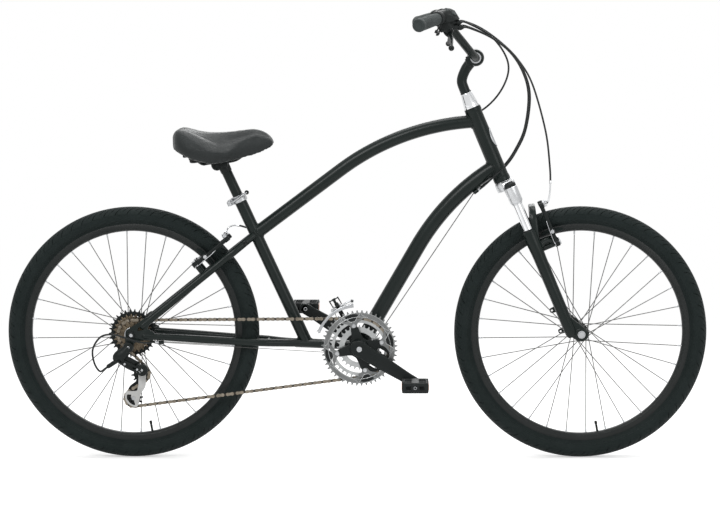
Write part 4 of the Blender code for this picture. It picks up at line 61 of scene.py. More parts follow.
REAR_AXLE = Vector((-0.587, 0, 0.331))
FRONT_AXLE = Vector((0.587, 0, 0.331))
BRACKET = Vector((0.008, 0, 0.295))
HEAD_ANGLE = math.radians(67.3)
STEER_DOWN = Vector((math.cos(HEAD_ANGLE), 0, -math.sin(HEAD_ANGLE)))
STEER_FRONT = Vector((math.sin(HEAD_ANGLE), 0, math.cos(HEAD_ANGLE)))
FORK_LENGTH, FORK_RAKE = 0.4463, 0.0353
HEAD_BOTTOM = FRONT_AXLE - STEER_FRONT * FORK_RAKE - STEER_DOWN * FORK_LENGTH
HEAD_LENGTH = 0.207
HEAD_TOP = HEAD_BOTTOM - STEER_DOWN * HEAD_LENGTH
SEAT_ANGLE = math.radians(65.2)
SEAT_UP = Vector((-math.cos(SEAT_ANGLE), 0, math.sin(SEAT_ANGLE)))
SEAT_BACK = Vector((-math.sin(SEAT_ANGLE), 0, -math.cos(SEAT_ANGLE)))
SEAT_FOOT = BRACKET + Vector((-0.139, 0, 0.0064))
SEAT_TOP = SEAT_FOOT + SEAT_UP * 0.425
SEAT_CROSS = SEAT_FOOT + SEAT_UP * 0.3185
STAY_ALONG = (SEAT_CROSS - REAR_AXLE).normalized()
STAY_OUT = Vector((-STAY_ALONG.z, 0, STAY_ALONG.x))
YOKE = SEAT_FOOT + Vector((-0.03, 0, 0.001))
BAR_CENTRE = Vector((0.311, 0, 1.05))
GRIP_START = Vector((0.212, 0.212, 1.1545))
BAR_END = Vector((0.162, 0.33, 1.138))
GRIP_ALONG = (BAR_END - GRIP_START).normalized()
BAR_RADIUS = 0.011
LEVER_PIVOT = Vector((0.239, 0.186, 1.12))
LEVER_BALL = Vector((0.244, 0.286, 1.081))
CRANK_ANGLE = math.radians(-31)
CRANK_LENGTH = 0.17
CHAINLINE = 0.0475
CHAIN_PITCH = 0.0127
LEG_Y, LEG_FRONT = 0.055, 0.0122
HANGER_BOLT = REAR_AXLE + Vector((-0.007, 0, -0.031))
BRAKE_POST_RISE, POST_Y = 0.2445, 0.04
FRONT_POST_AHEAD, REAR_POST_AHEAD = 0.026, 0.03


# Materials


class Nodes:
    """Adds nodes to one tree and links them."""

    def __init__(self, tree):
        self.tree = tree

    def node(self, kind, inputs=None, **settings):
        made = self.tree.nodes.new(kind)
        for key, value in settings.items():
            setattr(made, key, value)
        for key, value in (inputs or {}).items():
            if isinstance(value, bpy.types.NodeSocket):
                self.tree.links.new(value, made.inputs[key])
            else:
                made.inputs[key].default_value = value
        return made

    def math(self, operation, a, b=0.0):
        return self.node("ShaderNodeMath", {0: a, 1: b}, operation=operation).outputs[0]

    def vector(self, operation, inputs, output=0):
        return self.node("ShaderNodeVectorMath", inputs, operation=operation).outputs[output]

    def span(self, value, low, high, start=0.25, end=0.75):
        """Maps start..end to low..high."""
        inputs = {"Value": value, "From Min": start, "From Max": end, "To Min": low, "To Max": high}
        return self.node("ShaderNodeMapRange", inputs).outputs["Result"]

    def mixed(self, share, low, high):
        """A number between two others."""
        return self.node("ShaderNodeMix", {"Factor": share, 2: low, 3: high}, data_type="FLOAT").outputs[0]

    def mixed_colour(self, share, low, high):
        ends = {
            k: value if isinstance(value, bpy.types.NodeSocket) else (*value, 1)
            for k, value in ((6, low), (7, high))
        }
        return self.node("ShaderNodeMix", {"Factor": share, **ends}, data_type="RGBA").outputs[2]


class Finish(Nodes):
    """A procedural material: tone and gloss vary over the surface, and a fine relief gives it grain."""

    def __init__(self, name, dark, light, gloss, metallic=0.0, tone=14.0, relief=0.0, grain=700.0):
        self.name = name
        self.made = bpy.data.materials.new(name)
        self.made.use_nodes = True
        super().__init__(self.made.node_tree)
        self.shader = self.tree.nodes["Principled BSDF"]
        self.shader.inputs["Metallic"].default_value = metallic
        self.place = self.node("ShaderNodeTexCoord").outputs["Object"]
        self.colour = self.mixed_colour(self.span(self.noise(tone, 4), 0, 1), dark, light)
        self.rough = self.span(self.noise(tone * 9, 3), *gloss)
        self.height = None
        self.bump_depth = 0.0004
        if relief:
            self.relief(self.noise(grain, 2), relief)

    def noise(self, scale, detail):
        inputs = {"Vector": self.place, "Scale": scale, "Detail": detail}
        return self.node("ShaderNodeTexNoise", inputs).outputs["Fac"]

    def cells(self, scale):
        return self.node("ShaderNodeTexVoronoi", {"Vector": self.place, "Scale": scale}).outputs["Distance"]

    def relief(self, height, strength):
        scaled = self.math("MULTIPLY", height, strength)
        self.height = scaled if self.height is None else self.math("ADD", self.height, scaled)

    def worn(self, colour, gloss, width=0.0009, amount=0.8):
        """Edges rubbed through to another colour, broken up by noise."""
        rounded = self.node("ShaderNodeBevel", {"Radius": width}, samples=4).outputs["Normal"]
        flat = self.node("ShaderNodeNewGeometry").outputs["Normal"]
        edge = self.span(self.vector("DOT_PRODUCT", {0: rounded, 1: flat}, "Value"), 1, 0, 0.86, 0.985)
        patchy = self.span(self.noise(160, 3), 0, 1, 0.42, 0.62)
        share = self.math("MULTIPLY", self.math("MULTIPLY", edge, patchy), amount)
        self.colour = self.mixed_colour(share, self.colour, colour)
        self.rough = self.mixed(share, self.rough, gloss)

    def rings(self, centre, scale):
        """Fine turned lines round an axle, by distance from it."""
        away = self.vector("SUBTRACT", {0: self.place, 1: centre})
        far = self.vector("LENGTH", {0: self.vector("MULTIPLY", {0: away, 1: (1, 0, 1)})}, "Value")
        inputs = {"W": self.math("MULTIPLY", far, scale), "Scale": 1.0, "Detail": 2}
        return self.node("ShaderNodeTexNoise", inputs, noise_dimensions="1D").outputs["Fac"]

    def coat(self, weight, roughness):
        self.shader.inputs["Coat Weight"].default_value = weight
        self.shader.inputs["Coat Roughness"].default_value = roughness

    def sheen(self, weight, roughness):
        self.shader.inputs["Sheen Weight"].default_value = weight
        self.shader.inputs["Sheen Roughness"].default_value = roughness

    def done(self):
        self.tree.links.new(self.colour, self.shader.inputs["Base Color"])
        self.tree.links.new(self.rough, self.shader.inputs["Roughness"])
        if self.height is not None:
            inputs = {"Height": self.height, "Strength": 1.0, "Distance": self.bump_depth}
            bump = self.node("ShaderNodeBump", inputs)
            self.tree.links.new(bump.outputs["Normal"], self.shader.inputs["Normal"])
        return self.made


def make_finishes():
    made = {}

    def keep(finish, specular, worn=None):
        if worn:
            finish.worn(*worn)
        finish.shader.inputs["Specular IOR Level"].default_value = specular
        made[finish.name] = finish.done()

    paint = Finish("frame_black", (0.004, 0.008, 0.007), (0.0075, 0.013, 0.0115), (0.26, 0.36), relief=0.1)
    paint.coat(0.1, 0.12)
    keep(paint, 0.16, ((0.06, 0.065, 0.062), 0.5, 0.0012, 0.3))
    parts = Finish("black_parts", (0.004, 0.0062, 0.006), (0.0085, 0.0115, 0.011), (0.34, 0.5), relief=0.22)
    keep(parts, 0.18, ((0.13, 0.13, 0.13), 0.35, 0.0008, 0.5))
    dark, light = (0.006, 0.008, 0.008), (0.011, 0.0135, 0.0135)
    keep(Finish("black_plastic", dark, light, (0.42, 0.58), relief=0.45, grain=1500), 0.2)
    keep(Finish("housing_black", dark, light, (0.36, 0.5), relief=0.2), 0.25)
    dark, light = (0.0045, 0.009, 0.0085), (0.0095, 0.015, 0.0145)
    tyre = Finish("tyre_rubber", dark, light, (0.55, 0.78), tone=22, relief=0.55, grain=1100)
    tyre.sheen(0.03, 0.5)
    keep(tyre, 0.16)
    for name, axle in (("rim_black_front", FRONT_AXLE), ("rim_black_rear", REAR_AXLE)):
        rim = Finish(name, (0.006, 0.0085, 0.0082), (0.012, 0.0145, 0.014), (0.28, 0.42))
        rim.relief(rim.rings(axle, 9000), 0.35)
        keep(rim, 0.25, ((0.2, 0.2, 0.2), 0.3, 0.0006, 0.3))
    dark, light = (0.085, 0.085, 0.083), (0.16, 0.16, 0.155)
    keep(Finish("spoke_steel", dark, light, (0.25, 0.4), 0.7, tone=40, relief=0.1), 0.3)
    keep(Finish("chrome", (0.6, 0.61, 0.62), (0.78, 0.79, 0.8), (0.06, 0.14), 1.0), 0.5)
    dark, light = (0.34, 0.35, 0.36), (0.5, 0.51, 0.52)
    keep(Finish("silver_alloy", dark, light, (0.24, 0.4), 1.0, tone=30, relief=0.18), 0.5)
    for name, dark, light in (
        ("ring_alloy", (0.28, 0.29, 0.29), (0.46, 0.47, 0.47)),
        ("ring_face", (0.11, 0.115, 0.115), (0.2, 0.205, 0.205)),
    ):
        ring = Finish(name, dark, light, (0.24, 0.38), 1.0, tone=26)
        ring.relief(ring.rings(BRACKET, 7000), 0.25)
        keep(ring, 0.5)
    dark, light = (0.016, 0.014, 0.011), (0.05, 0.043, 0.034)
    keep(Finish("chain_dark", dark, light, (0.34, 0.52), 0.7, tone=60, relief=0.3), 0.3)
    dark, light = (0.12, 0.104, 0.08), (0.27, 0.236, 0.19)
    bronze = Finish("chain_bronze", dark, light, (0.3, 0.5), 0.9, tone=60, relief=0.3)
    keep(bronze, 0.4, ((0.46, 0.43, 0.38), 0.25, 0.0005, 0.7))
    cog = Finish("cog_bronze", (0.07, 0.054, 0.036), (0.19, 0.152, 0.106), (0.28, 0.46), 0.9, tone=45)
    cog.relief(cog.rings(REAR_AXLE, 6000), 0.35)
    keep(cog, 0.4, ((0.42, 0.38, 0.32), 0.25, 0.0006, 0.7))
    vinyl = Finish("saddle_vinyl", (0.005, 0.0078, 0.008), (0.0105, 0.0138, 0.014), (0.38, 0.52), tone=18)
    vinyl.relief(vinyl.cells(620), 0.9)
    vinyl.relief(vinyl.noise(60, 4), 0.5)
    vinyl.sheen(0.06, 0.45)
    keep(vinyl, 0.3)
    dark, light = (0.026, 0.033, 0.033), (0.046, 0.055, 0.055)
    grip = Finish("grip_rubber", dark, light, (0.62, 0.85), tone=30, relief=0.9, grain=1300)
    grip.sheen(0.1, 0.6)
    keep(grip, 0.2)
    white = Finish("cage_white", (0.42, 0.42, 0.41), (0.55, 0.55, 0.54), (0.24, 0.36), tone=35, relief=0.08)
    keep(white, 0.3, ((0.25, 0.25, 0.24), 0.3, 0.0006, 0.5))
    amber = Finish("reflector_amber", (0.6, 0.16, 0.015), (0.75, 0.22, 0.03), (0.12, 0.22), tone=40)
    amber.relief(amber.cells(420), 1.4)
    amber.coat(0.5, 0.05)
    keep(amber, 0.5)
    grey = Finish("fork_grey", (0.44, 0.45, 0.46), (0.6, 0.61, 0.62), (0.24, 0.36), 0.9, tone=20, relief=0.25)
    keep(grey, 0.4, ((0.35, 0.35, 0.35), 0.3, 0.0008, 0.5))
    return made


finishes = make_finishes()


# Shapes


def placed(mesh):
    """The mesh as an object in the scene."""
    obj = bpy.data.objects.new("shape", mesh)
    scene.collection.objects.link(obj)
    return obj


def mesh_object(points, faces):
    mesh = bpy.data.meshes.new("shape")
    mesh.from_pydata([tuple(p) for p in points], [], faces)
    shape = bmesh.new()
    shape.from_mesh(mesh)
    bmesh.ops.delete(shape, geom=[v for v in shape.verts if not v.link_faces], context="VERTS")
    bmesh.ops.recalc_face_normals(shape, faces=shape.faces)
    shape.to_mesh(mesh)
    shape.free()
    return placed(mesh)


def across(direction):
    """Two directions square to this one, the first of them level or along X."""
    level = Z_AXIS if abs(direction.z) < 0.9 else X_AXIS
    first = direction.cross(level).normalized()
    return first, direction.cross(first).normalized()


def lathe(centre, axis, profile, sides=48, closed=False):
    """Turns a profile of (radius, distance along the axis) round the axis; closed joins its two ends."""
    axis = Vector(axis).normalized()
    first, second = across(axis)
    points, rings, faces = [], [], []
    for radius, along in profile:
        spot = centre + axis * along
        if radius < 1e-6:
            rings.append([len(points)])
            points.append(spot)
            continue
        rings.append(list(range(len(points), len(points) + sides)))
        for i in range(sides):
            angle = math.tau * (i + 0.5) / sides
            points.append(spot + (first * math.cos(angle) + second * math.sin(angle)) * radius)
    pairs = list(zip(rings, rings[1:]))
    if closed:
        pairs.append((rings[-1], rings[0]))
    for a, b in pairs:
        for i in range(sides):
            j = (i + 1) % sides
            quad = [a[i % len(a)], a[j % len(a)], b[j % len(b)], b[i % len(b)]]
            corners = list(dict.fromkeys(quad))
            if len(corners) > 2:
                faces.append(corners)
    if not closed:
        faces += [ring for ring in (rings[0], rings[-1]) if len(ring) > 1]
    return mesh_object(points, faces)


def rod(start, end, radius, sides=24, soft=0.0):
    """A round bar with its two edges softened."""
    start, end = Vector(start), Vector(end)
    length = (end - start).length
    if not soft:
        return lathe(start, end - start, [(radius, 0), (radius, length)], sides)
    profile = [
        (radius - soft, 0), (radius - soft * 0.3, soft * 0.3), (radius, soft),
        (radius, length - soft), (radius - soft * 0.3, length - soft * 0.3), (radius - soft, length),
    ]
    return lathe(start, end - start, profile, sides)


def cross_rod(point, low, high, radius, sides=24, soft=0.0):
    """A round bar along Y through the point, between two y values."""
    base = Vector((point[0], 0, point[2]))
    return rod(base + Y_AXIS * min(low, high), base + Y_AXIS * max(low, high), radius, sides, soft)


def loft(rings):
    """A closed skin through rings of equally many points."""
    count = len(rings[0])
    points = [point for one in rings for point in one]
    faces = [list(range(count)), list(range(len(points) - count, len(points)))]
    for k in range(len(rings) - 1):
        for i in range(count):
            j = (i + 1) % count
            a, b = k * count, (k + 1) * count
            faces.append([a + i, a + j, b + j, b + i])
    return mesh_object(points, faces)


def prism(outline, low, high, centre=Vector((0, 0, 0)), u=X_AXIS, v=Z_AXIS):
    """Extrudes an outline of (u, v) points along v x u, which is +Y as it stands."""
    normal = v.cross(u)
    count = len(outline)
    points = [centre + u * a + v * b + normal * w for w in (low, high) for a, b in outline]
    faces = [list(range(count)), list(range(count, 2 * count))]
    faces += [[i, (i + 1) % count, (i + 1) % count + count, i + count] for i in range(count)]
    return mesh_object(points, faces)


def plate(outline, y, thickness, centre):
    """A flat plate in the frame's plane, its middle at this y."""
    return prism(outline, y - thickness / 2, y + thickness / 2, Vector((centre.x, 0, centre.z)))


def turned_block(centre, size, u, v, w, soft=0.0):
    """A block with its three sizes along u, v and w, its edges rounded where soft is given."""
    points = [
        centre + u * a * size[0] / 2 + v * b * size[1] / 2 + w * c * size[2] / 2
        for a in (-1, 1) for b in (-1, 1) for c in (-1, 1)
    ]
    faces = [[0, 1, 3, 2], [4, 5, 7, 6], [0, 1, 5, 4], [2, 3, 7, 6], [0, 2, 6, 4], [1, 3, 7, 5]]
    made = mesh_object(points, faces)
    return rounded(made, soft) if soft else made


def oblong(half_wide, half_high):
    """The corners of a rectangle about the origin."""
    return [
        (-half_wide, -half_high), (half_wide, -half_high), (half_wide, half_high), (-half_wide, half_high),
    ]


def rounded_outline(corners, radius, steps=5):
    """A closed outline with each corner replaced by an arc."""
    out = []
    count = len(corners)
    for i in range(count):
        corner = Vector(corners[i])
        before, after = Vector(corners[i - 1]) - corner, Vector(corners[(i + 1) % count]) - corner
        reach = radius[i] if isinstance(radius, (list, tuple)) else radius
        cut = min(reach, before.length * 0.48, after.length * 0.48)
        start, end = corner + before.normalized() * cut, corner + after.normalized() * cut
        for k in range(steps + 1):
            t = k / steps
            out.append(tuple(start * (1 - t) ** 2 + corner * 2 * t * (1 - t) + end * t ** 2))
    return out


def smooth_path(route, count):
    """Evenly spaced points on one smooth curve through the route's points."""
    route = [Vector(p) for p in route]
    ends = [route[0] * 2 - route[1], *route, route[-1] * 2 - route[-2]]
    fine = []
    for i in range(1, len(ends) - 2):
        a, b, c, d = ends[i - 1 : i + 3]
        for k in range(16):
            t = k / 16
            fine.append(
                0.5 * (
                    2 * b + (c - a) * t + (2 * a - 5 * b + 4 * c - d) * t**2 + (3 * b - a - 3 * c + d) * t**3
                )
            )
    fine.append(route[-1])
    return spaced(fine, count)


def spaced(fine, count):
    """Points at even distances along a path of short steps."""
    lengths = [0.0]
    for a, b in zip(fine, fine[1:]):
        lengths.append(lengths[-1] + (b - a).length)
    out, k = [], 0
    for i in range(count):
        target = lengths[-1] * i / (count - 1)
        while k < len(fine) - 2 and lengths[k + 1] < target:
            k += 1
        share = (target - lengths[k]) / (lengths[k + 1] - lengths[k])
        out.append(fine[k].lerp(fine[k + 1], min(1.0, share)))
    return out


def path_frames(path, level=Z_AXIS):
    """At each point of a path, its run and two directions square to it that don't spin."""
    frames = []
    side = None
    for i in range(len(path)):
        run = (path[min(i + 1, len(path) - 1)] - path[max(i - 1, 0)]).normalized()
        if side is None:
            hint = level if abs(run.dot(level)) < 0.95 else X_AXIS
            side = run.cross(hint).normalized()
        side = (side - run * side.dot(run)).normalized()
        frames.append((run, side, side.cross(run).normalized()))
    return frames


def tube(path, radius, sides=24, squash=1.0, level=Z_AXIS):
    """A tube along the points; a list of radii gives it a taper, and squash its width against its height."""
    path = [Vector(p) for p in path]
    radii = radius if isinstance(radius, list) else [radius] * len(path)
    rings = []
    for point, r, (_, side, up) in zip(path, radii, path_frames(path, level)):
        rings.append([
            point + side * math.cos(a) * r * squash + up * math.sin(a) * r
            for a in (math.tau * k / sides for k in range(sides))
        ])
    return loft(rings)


def ball(centre, radius, stretch=(1, 1, 1), sides=24):
    rings = sides // 2
    profile = [
        (radius * math.sin(math.pi * k / rings), -radius * math.cos(math.pi * k / rings))
        for k in range(rings + 1)
    ]
    profile[0], profile[-1] = (0, -radius), (0, radius)
    made = lathe(Vector((0, 0, 0)), Z_AXIS, profile, sides)
    made.data.transform(Matrix.Translation(centre) @ Matrix.Diagonal((*stretch, 1)))
    return made


def as_mesh(obj):
    """The evaluated shape as a plain mesh object, in place of the old object."""
    bpy.context.view_layer.update()
    graph = bpy.context.evaluated_depsgraph_get()
    mesh = bpy.data.meshes.new_from_object(obj.evaluated_get(graph))
    bpy.data.objects.remove(obj)
    return placed(mesh)


def rounded(obj, width, steps=2, angle=30):
    """The same shape with its sharp edges rounded."""
    shape = bmesh.new()
    shape.from_mesh(obj.data)
    limit = math.radians(angle)
    edges = [e for e in shape.edges if len(e.link_faces) == 2 and e.calc_face_angle() > limit]
    bmesh.ops.bevel(
        shape, geom=edges, offset=width, segments=steps, profile=0.5, affect="EDGES", clamp_overlap=True,
    )
    shape.to_mesh(obj.data)
    shape.free()
    return obj


def subdivided(obj, levels):
    modifier = obj.modifiers.new("smooth", "SUBSURF")
    modifier.levels = modifier.render_levels = levels
    return as_mesh(obj)


def boolean(base, operation, others):
    group = bpy.data.collections.new("operands")
    scene.collection.children.link(group)
    for other in others:
        scene.collection.objects.unlink(other)
        group.objects.link(other)
    modifier = base.modifiers.new("join", "BOOLEAN")
    modifier.operation = operation
    modifier.operand_type = "COLLECTION"
    modifier.collection = group
    modifier.solver = "EXACT"
    made = as_mesh(base)
    for other in others:
        bpy.data.objects.remove(other)
    bpy.data.collections.remove(group)
    return made


def cut(base, *cutters):
    return boolean(base, "DIFFERENCE", cutters)


def joined_solid(base, *others):
    return boolean(base, "UNION", others)


def joined(*shapes):
    """Several shapes as one object; they may reach into each other, as welded pieces do."""
    merged = bmesh.new()
    for shape in shapes:
        merged.from_mesh(shape.data)
    mesh = bpy.data.meshes.new("shape")
    merged.to_mesh(mesh)
    merged.free()
    for shape in shapes:
        bpy.data.objects.remove(shape)
    return placed(mesh)


def reflected(obj):
    """The same shape on the other side of the frame's plane."""
    obj.data.transform(Matrix.Diagonal((1, -1, 1, 1)))
    obj.data.flip_normals()
    return obj


def sided(obj, side):
    """A shape built on the left, on this side."""
    return reflected(obj) if side == NEAR else obj


def to_side(point, side):
    return Vector((point[0], side * point[1], point[2]))


def shifted(profile, along):
    """The same profile further along its axis."""
    return [(radius, along + out) for radius, out in profile]


def polar(radius, angle):
    return (radius * math.cos(angle), radius * math.sin(angle))


def round_spot(centre, radius, angle, y=0.0):
    """A point round the centre in the frame's plane, moved along Y."""
    return centre + Vector((math.cos(angle) * radius, y, math.sin(angle) * radius))


def heading(angle):
    """The direction at this angle in the frame's plane."""
    return Vector((math.cos(angle), 0, math.sin(angle)))


def turns(count, share=0.0):
    """Angles at even steps round the circle, the first after this share of a step."""
    return [math.tau * (k + share) / count for k in range(count)]


def ways_round(axis, count):
    """Even directions square to the axis."""
    first, second = across(axis)
    return [first * math.cos(angle) + second * math.sin(angle) for angle in turns(count)]


def swelling(count, start, *changes):
    """Radii along a tube of count points: each change (amount, from share, to share) comes in softly."""
    shares = [k / (count - 1) for k in range(count)]
    return [
        start + sum(amount * eased(share, low, high) for amount, low, high in changes)
        for share in shares
    ]


def eased(value, low, high):
    t = max(0.0, min(1.0, (value - low) / (high - low)))
    return t * t * (3 - 2 * t)


def fork_point(down, front, y=0.0):
    """A point by its distance down the steering axis from the head tube and in front of the axis."""
    return HEAD_BOTTOM + STEER_DOWN * down + STEER_FRONT * front + Y_AXIS * y


def fork_plate(outline, low, high):
    return prism(
        [(front, -down) for down, front in outline], low, high, HEAD_BOTTOM.copy(), STEER_FRONT, -STEER_DOWN,
    )


def dress(obj, name, body, finish, replaced=(), sharp=35):
    """Names a finished piece and gives it its finish, its body and the CAD nodes it stands for."""
    obj.name = name
    obj.data.name = name
    obj.data.materials.clear()
    obj.data.materials.append(finishes[finish])
    obj.data.shade_smooth()
    obj.data.set_sharp_from_angle(angle=math.radians(sharp))
    if body:
        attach(obj, body)
    if replaced:
        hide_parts(*replaced)
    return obj


def bolt_head(centre, out, radius, height=0.004):
    """A round bolt head with a hexagon socket."""
    out = out.normalized()
    head = rod(centre, centre + out * height, radius, 24, radius * 0.18)
    socket = lathe(centre + out * height * 0.35, out, [(radius * 0.55, 0), (radius * 0.55, height)], 6)
    return cut(head, socket)


def hex_nut(centre, out, radius, height):
    return rounded(lathe(centre, out, [(radius, 0), (radius, height)], 6), radius * 0.06, 1)


# Frame

TOP_RADIUS, DOWN_RADIUS, SEAT_RADIUS, STAY_RADIUS = 0.0172, 0.0205, 0.0159, 0.01
HEAD_RADIUS, SHELL_RADIUS = 0.021, 0.0205
BOTTOM_HALF_HIGH, BOTTOM_FLATNESS = 0.01225, 38 / 24.5
CHAIN_STAY_POINTS = 40
DROPOUT_Y = 0.0685


def meeting(start, start_angle, end, end_angle):
    """Where two lines in the frame's plane cross, each given by a point and a slope angle."""
    run = end - start
    turn = math.sin(end_angle - start_angle)
    far = (run.x * math.sin(end_angle) - run.z * math.cos(end_angle)) / turn
    return start + heading(start_angle) * far


def bowed_path(start, leaves, end, arrives, straight, count):
    """Straight from the start, once round an arc, and straight for a little before the end."""
    run = end - start
    slope = math.atan2(run.z, run.x)
    corner = meeting(start, slope + leaves, end, slope - arrives)
    turn = leaves + arrives
    radius = ((end - corner).length - straight) / math.tan(turn / 2)
    tangent = radius * math.tan(turn / 2)
    into, away = (corner - start).normalized(), (end - corner).normalized()
    normal = (away - into * away.dot(into)).normalized()
    begin = corner - into * tangent
    fine = [start]
    for k in range(41):
        angle = turn * k / 40
        fine.append(begin + into * radius * math.sin(angle) + normal * radius * (1 - math.cos(angle)))
    return spaced(fine + [end], count)


TOP_TUBE = bowed_path(
    SEAT_CROSS, math.radians(9.94), HEAD_TOP + STEER_DOWN * 0.038, math.radians(22.86), 0.0195, 56
)
DOWN_TUBE = bowed_path(
    BRACKET, math.radians(6.91), HEAD_BOTTOM - STEER_DOWN * 0.0422, math.radians(19.89), 0.0154, 52
)


def chain_stay_path(side):
    route = [
        (YOKE.x + 0.012, 0.009, YOKE.z), (YOKE.x - 0.036, 0.022, YOKE.z + 0.002),
        (-0.244, 0.04, YOKE.z + 0.005), (-0.316, 0.045, YOKE.z + 0.009),
        (REAR_AXLE.x + 0.034, DROPOUT_Y, REAR_AXLE.z - 0.003),
    ]
    return smooth_path([to_side(p, side) for p in route], CHAIN_STAY_POINTS)


def seat_stay_path(side):
    slope = STAY_ALONG.z / STAY_ALONG.x
    outs = ((0.004, 0.012), (0.026, 0.024), (0.058, 0.041), (0.1, 0.045))
    route = [(SEAT_CROSS.x - back, y, SEAT_CROSS.z - back * slope) for back, y in outs]
    route.append((REAR_AXLE.x + 0.03, DROPOUT_Y, REAR_AXLE.z + 0.03 * slope))
    return smooth_path([to_side(p, side) for p in route], 36)


def weld(centre, along, radius, onto, axis, onto_radius, flat=1.0, size=0.0021):
    """A rippled bead round a tube that ends on a round one, on the line where they meet."""
    along, axis = along.normalized(), axis.normalized()
    first = along.cross(Y_AXIS).normalized()
    second = along.cross(first).normalized()
    path, radii = [], []
    steps = 112
    for k in range(steps + 2):
        angle = math.tau * k / steps
        rim = centre + first * math.cos(angle) * radius + second * math.sin(angle) * radius * flat
        away = rim - onto
        away -= axis * away.dot(axis)
        run = along - axis * along.dot(axis)
        a, b, c = run.dot(run), 2 * away.dot(run), away.dot(away) - onto_radius**2
        inside = max(0.0, b * b - 4 * a * c)
        path.append(rim + along * ((-b - math.sqrt(inside)) / (2 * a)))
        radii.append(size * (1 + 0.16 * math.sin(angle * 28)))
    return tube(path, radii, 8)


def head_tube():
    ring = 0.0222
    half = [
        (0.0165, 0.0004), (ring - 0.0008, 0), (ring, 0.0008), (ring, 0.01), (ring - 0.0006, 0.0118),
        (HEAD_RADIUS, 0.014),
    ]
    profile = half + [(radius, HEAD_LENGTH - along) for radius, along in reversed(half)]
    return lathe(HEAD_BOTTOM, -STEER_DOWN, profile, 64, True)


def bottom_tube():
    return tube(
        spaced([BRACKET, SEAT_FOOT, YOKE], 12), BOTTOM_HALF_HIGH, 40, squash=BOTTOM_FLATNESS, level=-Z_AXIS,
    )


def seat_tube():
    """The tube with its open top and the slot that lets the clamp close it."""
    length = (SEAT_TOP - SEAT_FOOT).length
    profile = [
        (0.0142, length - 0.06), (0.0142, length), (0.0155, length), (SEAT_RADIUS, length - 0.0005),
        (SEAT_RADIUS, 0),
    ]
    made = lathe(SEAT_FOOT, SEAT_UP, profile, 48)
    slot = turned_block(
        SEAT_TOP - SEAT_UP * 0.012 + SEAT_BACK * 0.015, (0.01, 0.0024, 0.04), SEAT_BACK, Y_AXIS, SEAT_UP,
    )
    return cut(made, slot)


def dropout(side):
    outline = [
        (-0.015, 0.012), (-0.004, 0.019), (0.02, 0.033), (0.042, 0.05), (0.058, 0.04),
        (0.04, 0.016), (0.062, 0.008), (0.062, -0.014), (0.03, -0.014), (0.012, -0.018),
    ]
    if side == NEAR:
        outline += [
            (0.006, -0.024), (0.002, -0.037), (-0.007, -0.041), (-0.016, -0.036), (-0.016, -0.023),
            (-0.016, -0.008),
        ]
    else:
        outline += [(-0.008, -0.018), (-0.016, -0.008)]
    middle = side * (0.0675 + 0.0003 + 0.003)
    made = rounded(plate(rounded_outline(outline, 0.009, 4), middle, 0.006, REAR_AXLE), 0.0007, 2)
    half = 0.0053
    if side == NEAR:
        slot = [polar(half, angle) for angle in turns(24)]
    else:
        corners = [(-half, half), (half, half), (half, -0.03), (-half, -0.03)]
        slot = rounded_outline(corners, [half, half, 0.0001, 0.0001])
    cutters = [plate(slot, middle, 0.02, REAR_AXLE)]
    if side == NEAR:
        cutters.append(cross_rod(HANGER_BOLT, middle - 0.01, middle + 0.01, 0.0054))
    window = [(0.016, 0.01), (0.032, 0.014), (0.04, 0.026), (0.03, 0.027), (0.017, 0.019)]
    cutters.append(plate(rounded_outline(window, 0.004, 3), middle, 0.02, REAR_AXLE))
    return cut(made, *cutters)


def cable_stops():
    """Start and end of each stop: two under the down tube and one under the chain stay."""
    lower, upper = Vector((0.2788, 0, 0.7028)), Vector((0.353, 0, 0.7596))
    run = (upper - lower).normalized()
    base = lower.lerp(upper, 0.2) + Vector((run.z, 0, -run.x)) * 0.0219
    stops = [(base + Y_AXIS * y, base + Y_AXIS * y + run * 0.014) for y in (-0.008, 0.008)]
    low = Vector((-0.502, -0.0634, 0.3104))
    stops.append((low, low + Vector((-0.0139, -0.0014, 0.001))))
    return stops


def stop_shape(start, end):
    """A slotted stop: a thicker collar that holds the ferrule, then a thin tail."""
    along = (end - start).normalized()
    length = (end - start).length
    profile = [
        (0.0034, 0), (0.0044, 0.0008), (0.0048, 0.003), (0.0048, length - 0.0006), (0.0042, length),
        (0.003, length), (0.003, length - 0.005), (0.0012, length - 0.0055), (0.0012, 0),
    ]
    return lathe(start, along, profile, 24, True)


def brake_post(point, out, root):
    """The post and the pin that a brake arm turns on."""
    return [
        rod(point + out * root, point - out * 0.0003, 0.0068, 28, 0.0006),
        rod(point - out * 0.004, point + out * 0.0135, 0.004, 20, 0.0004),
    ]


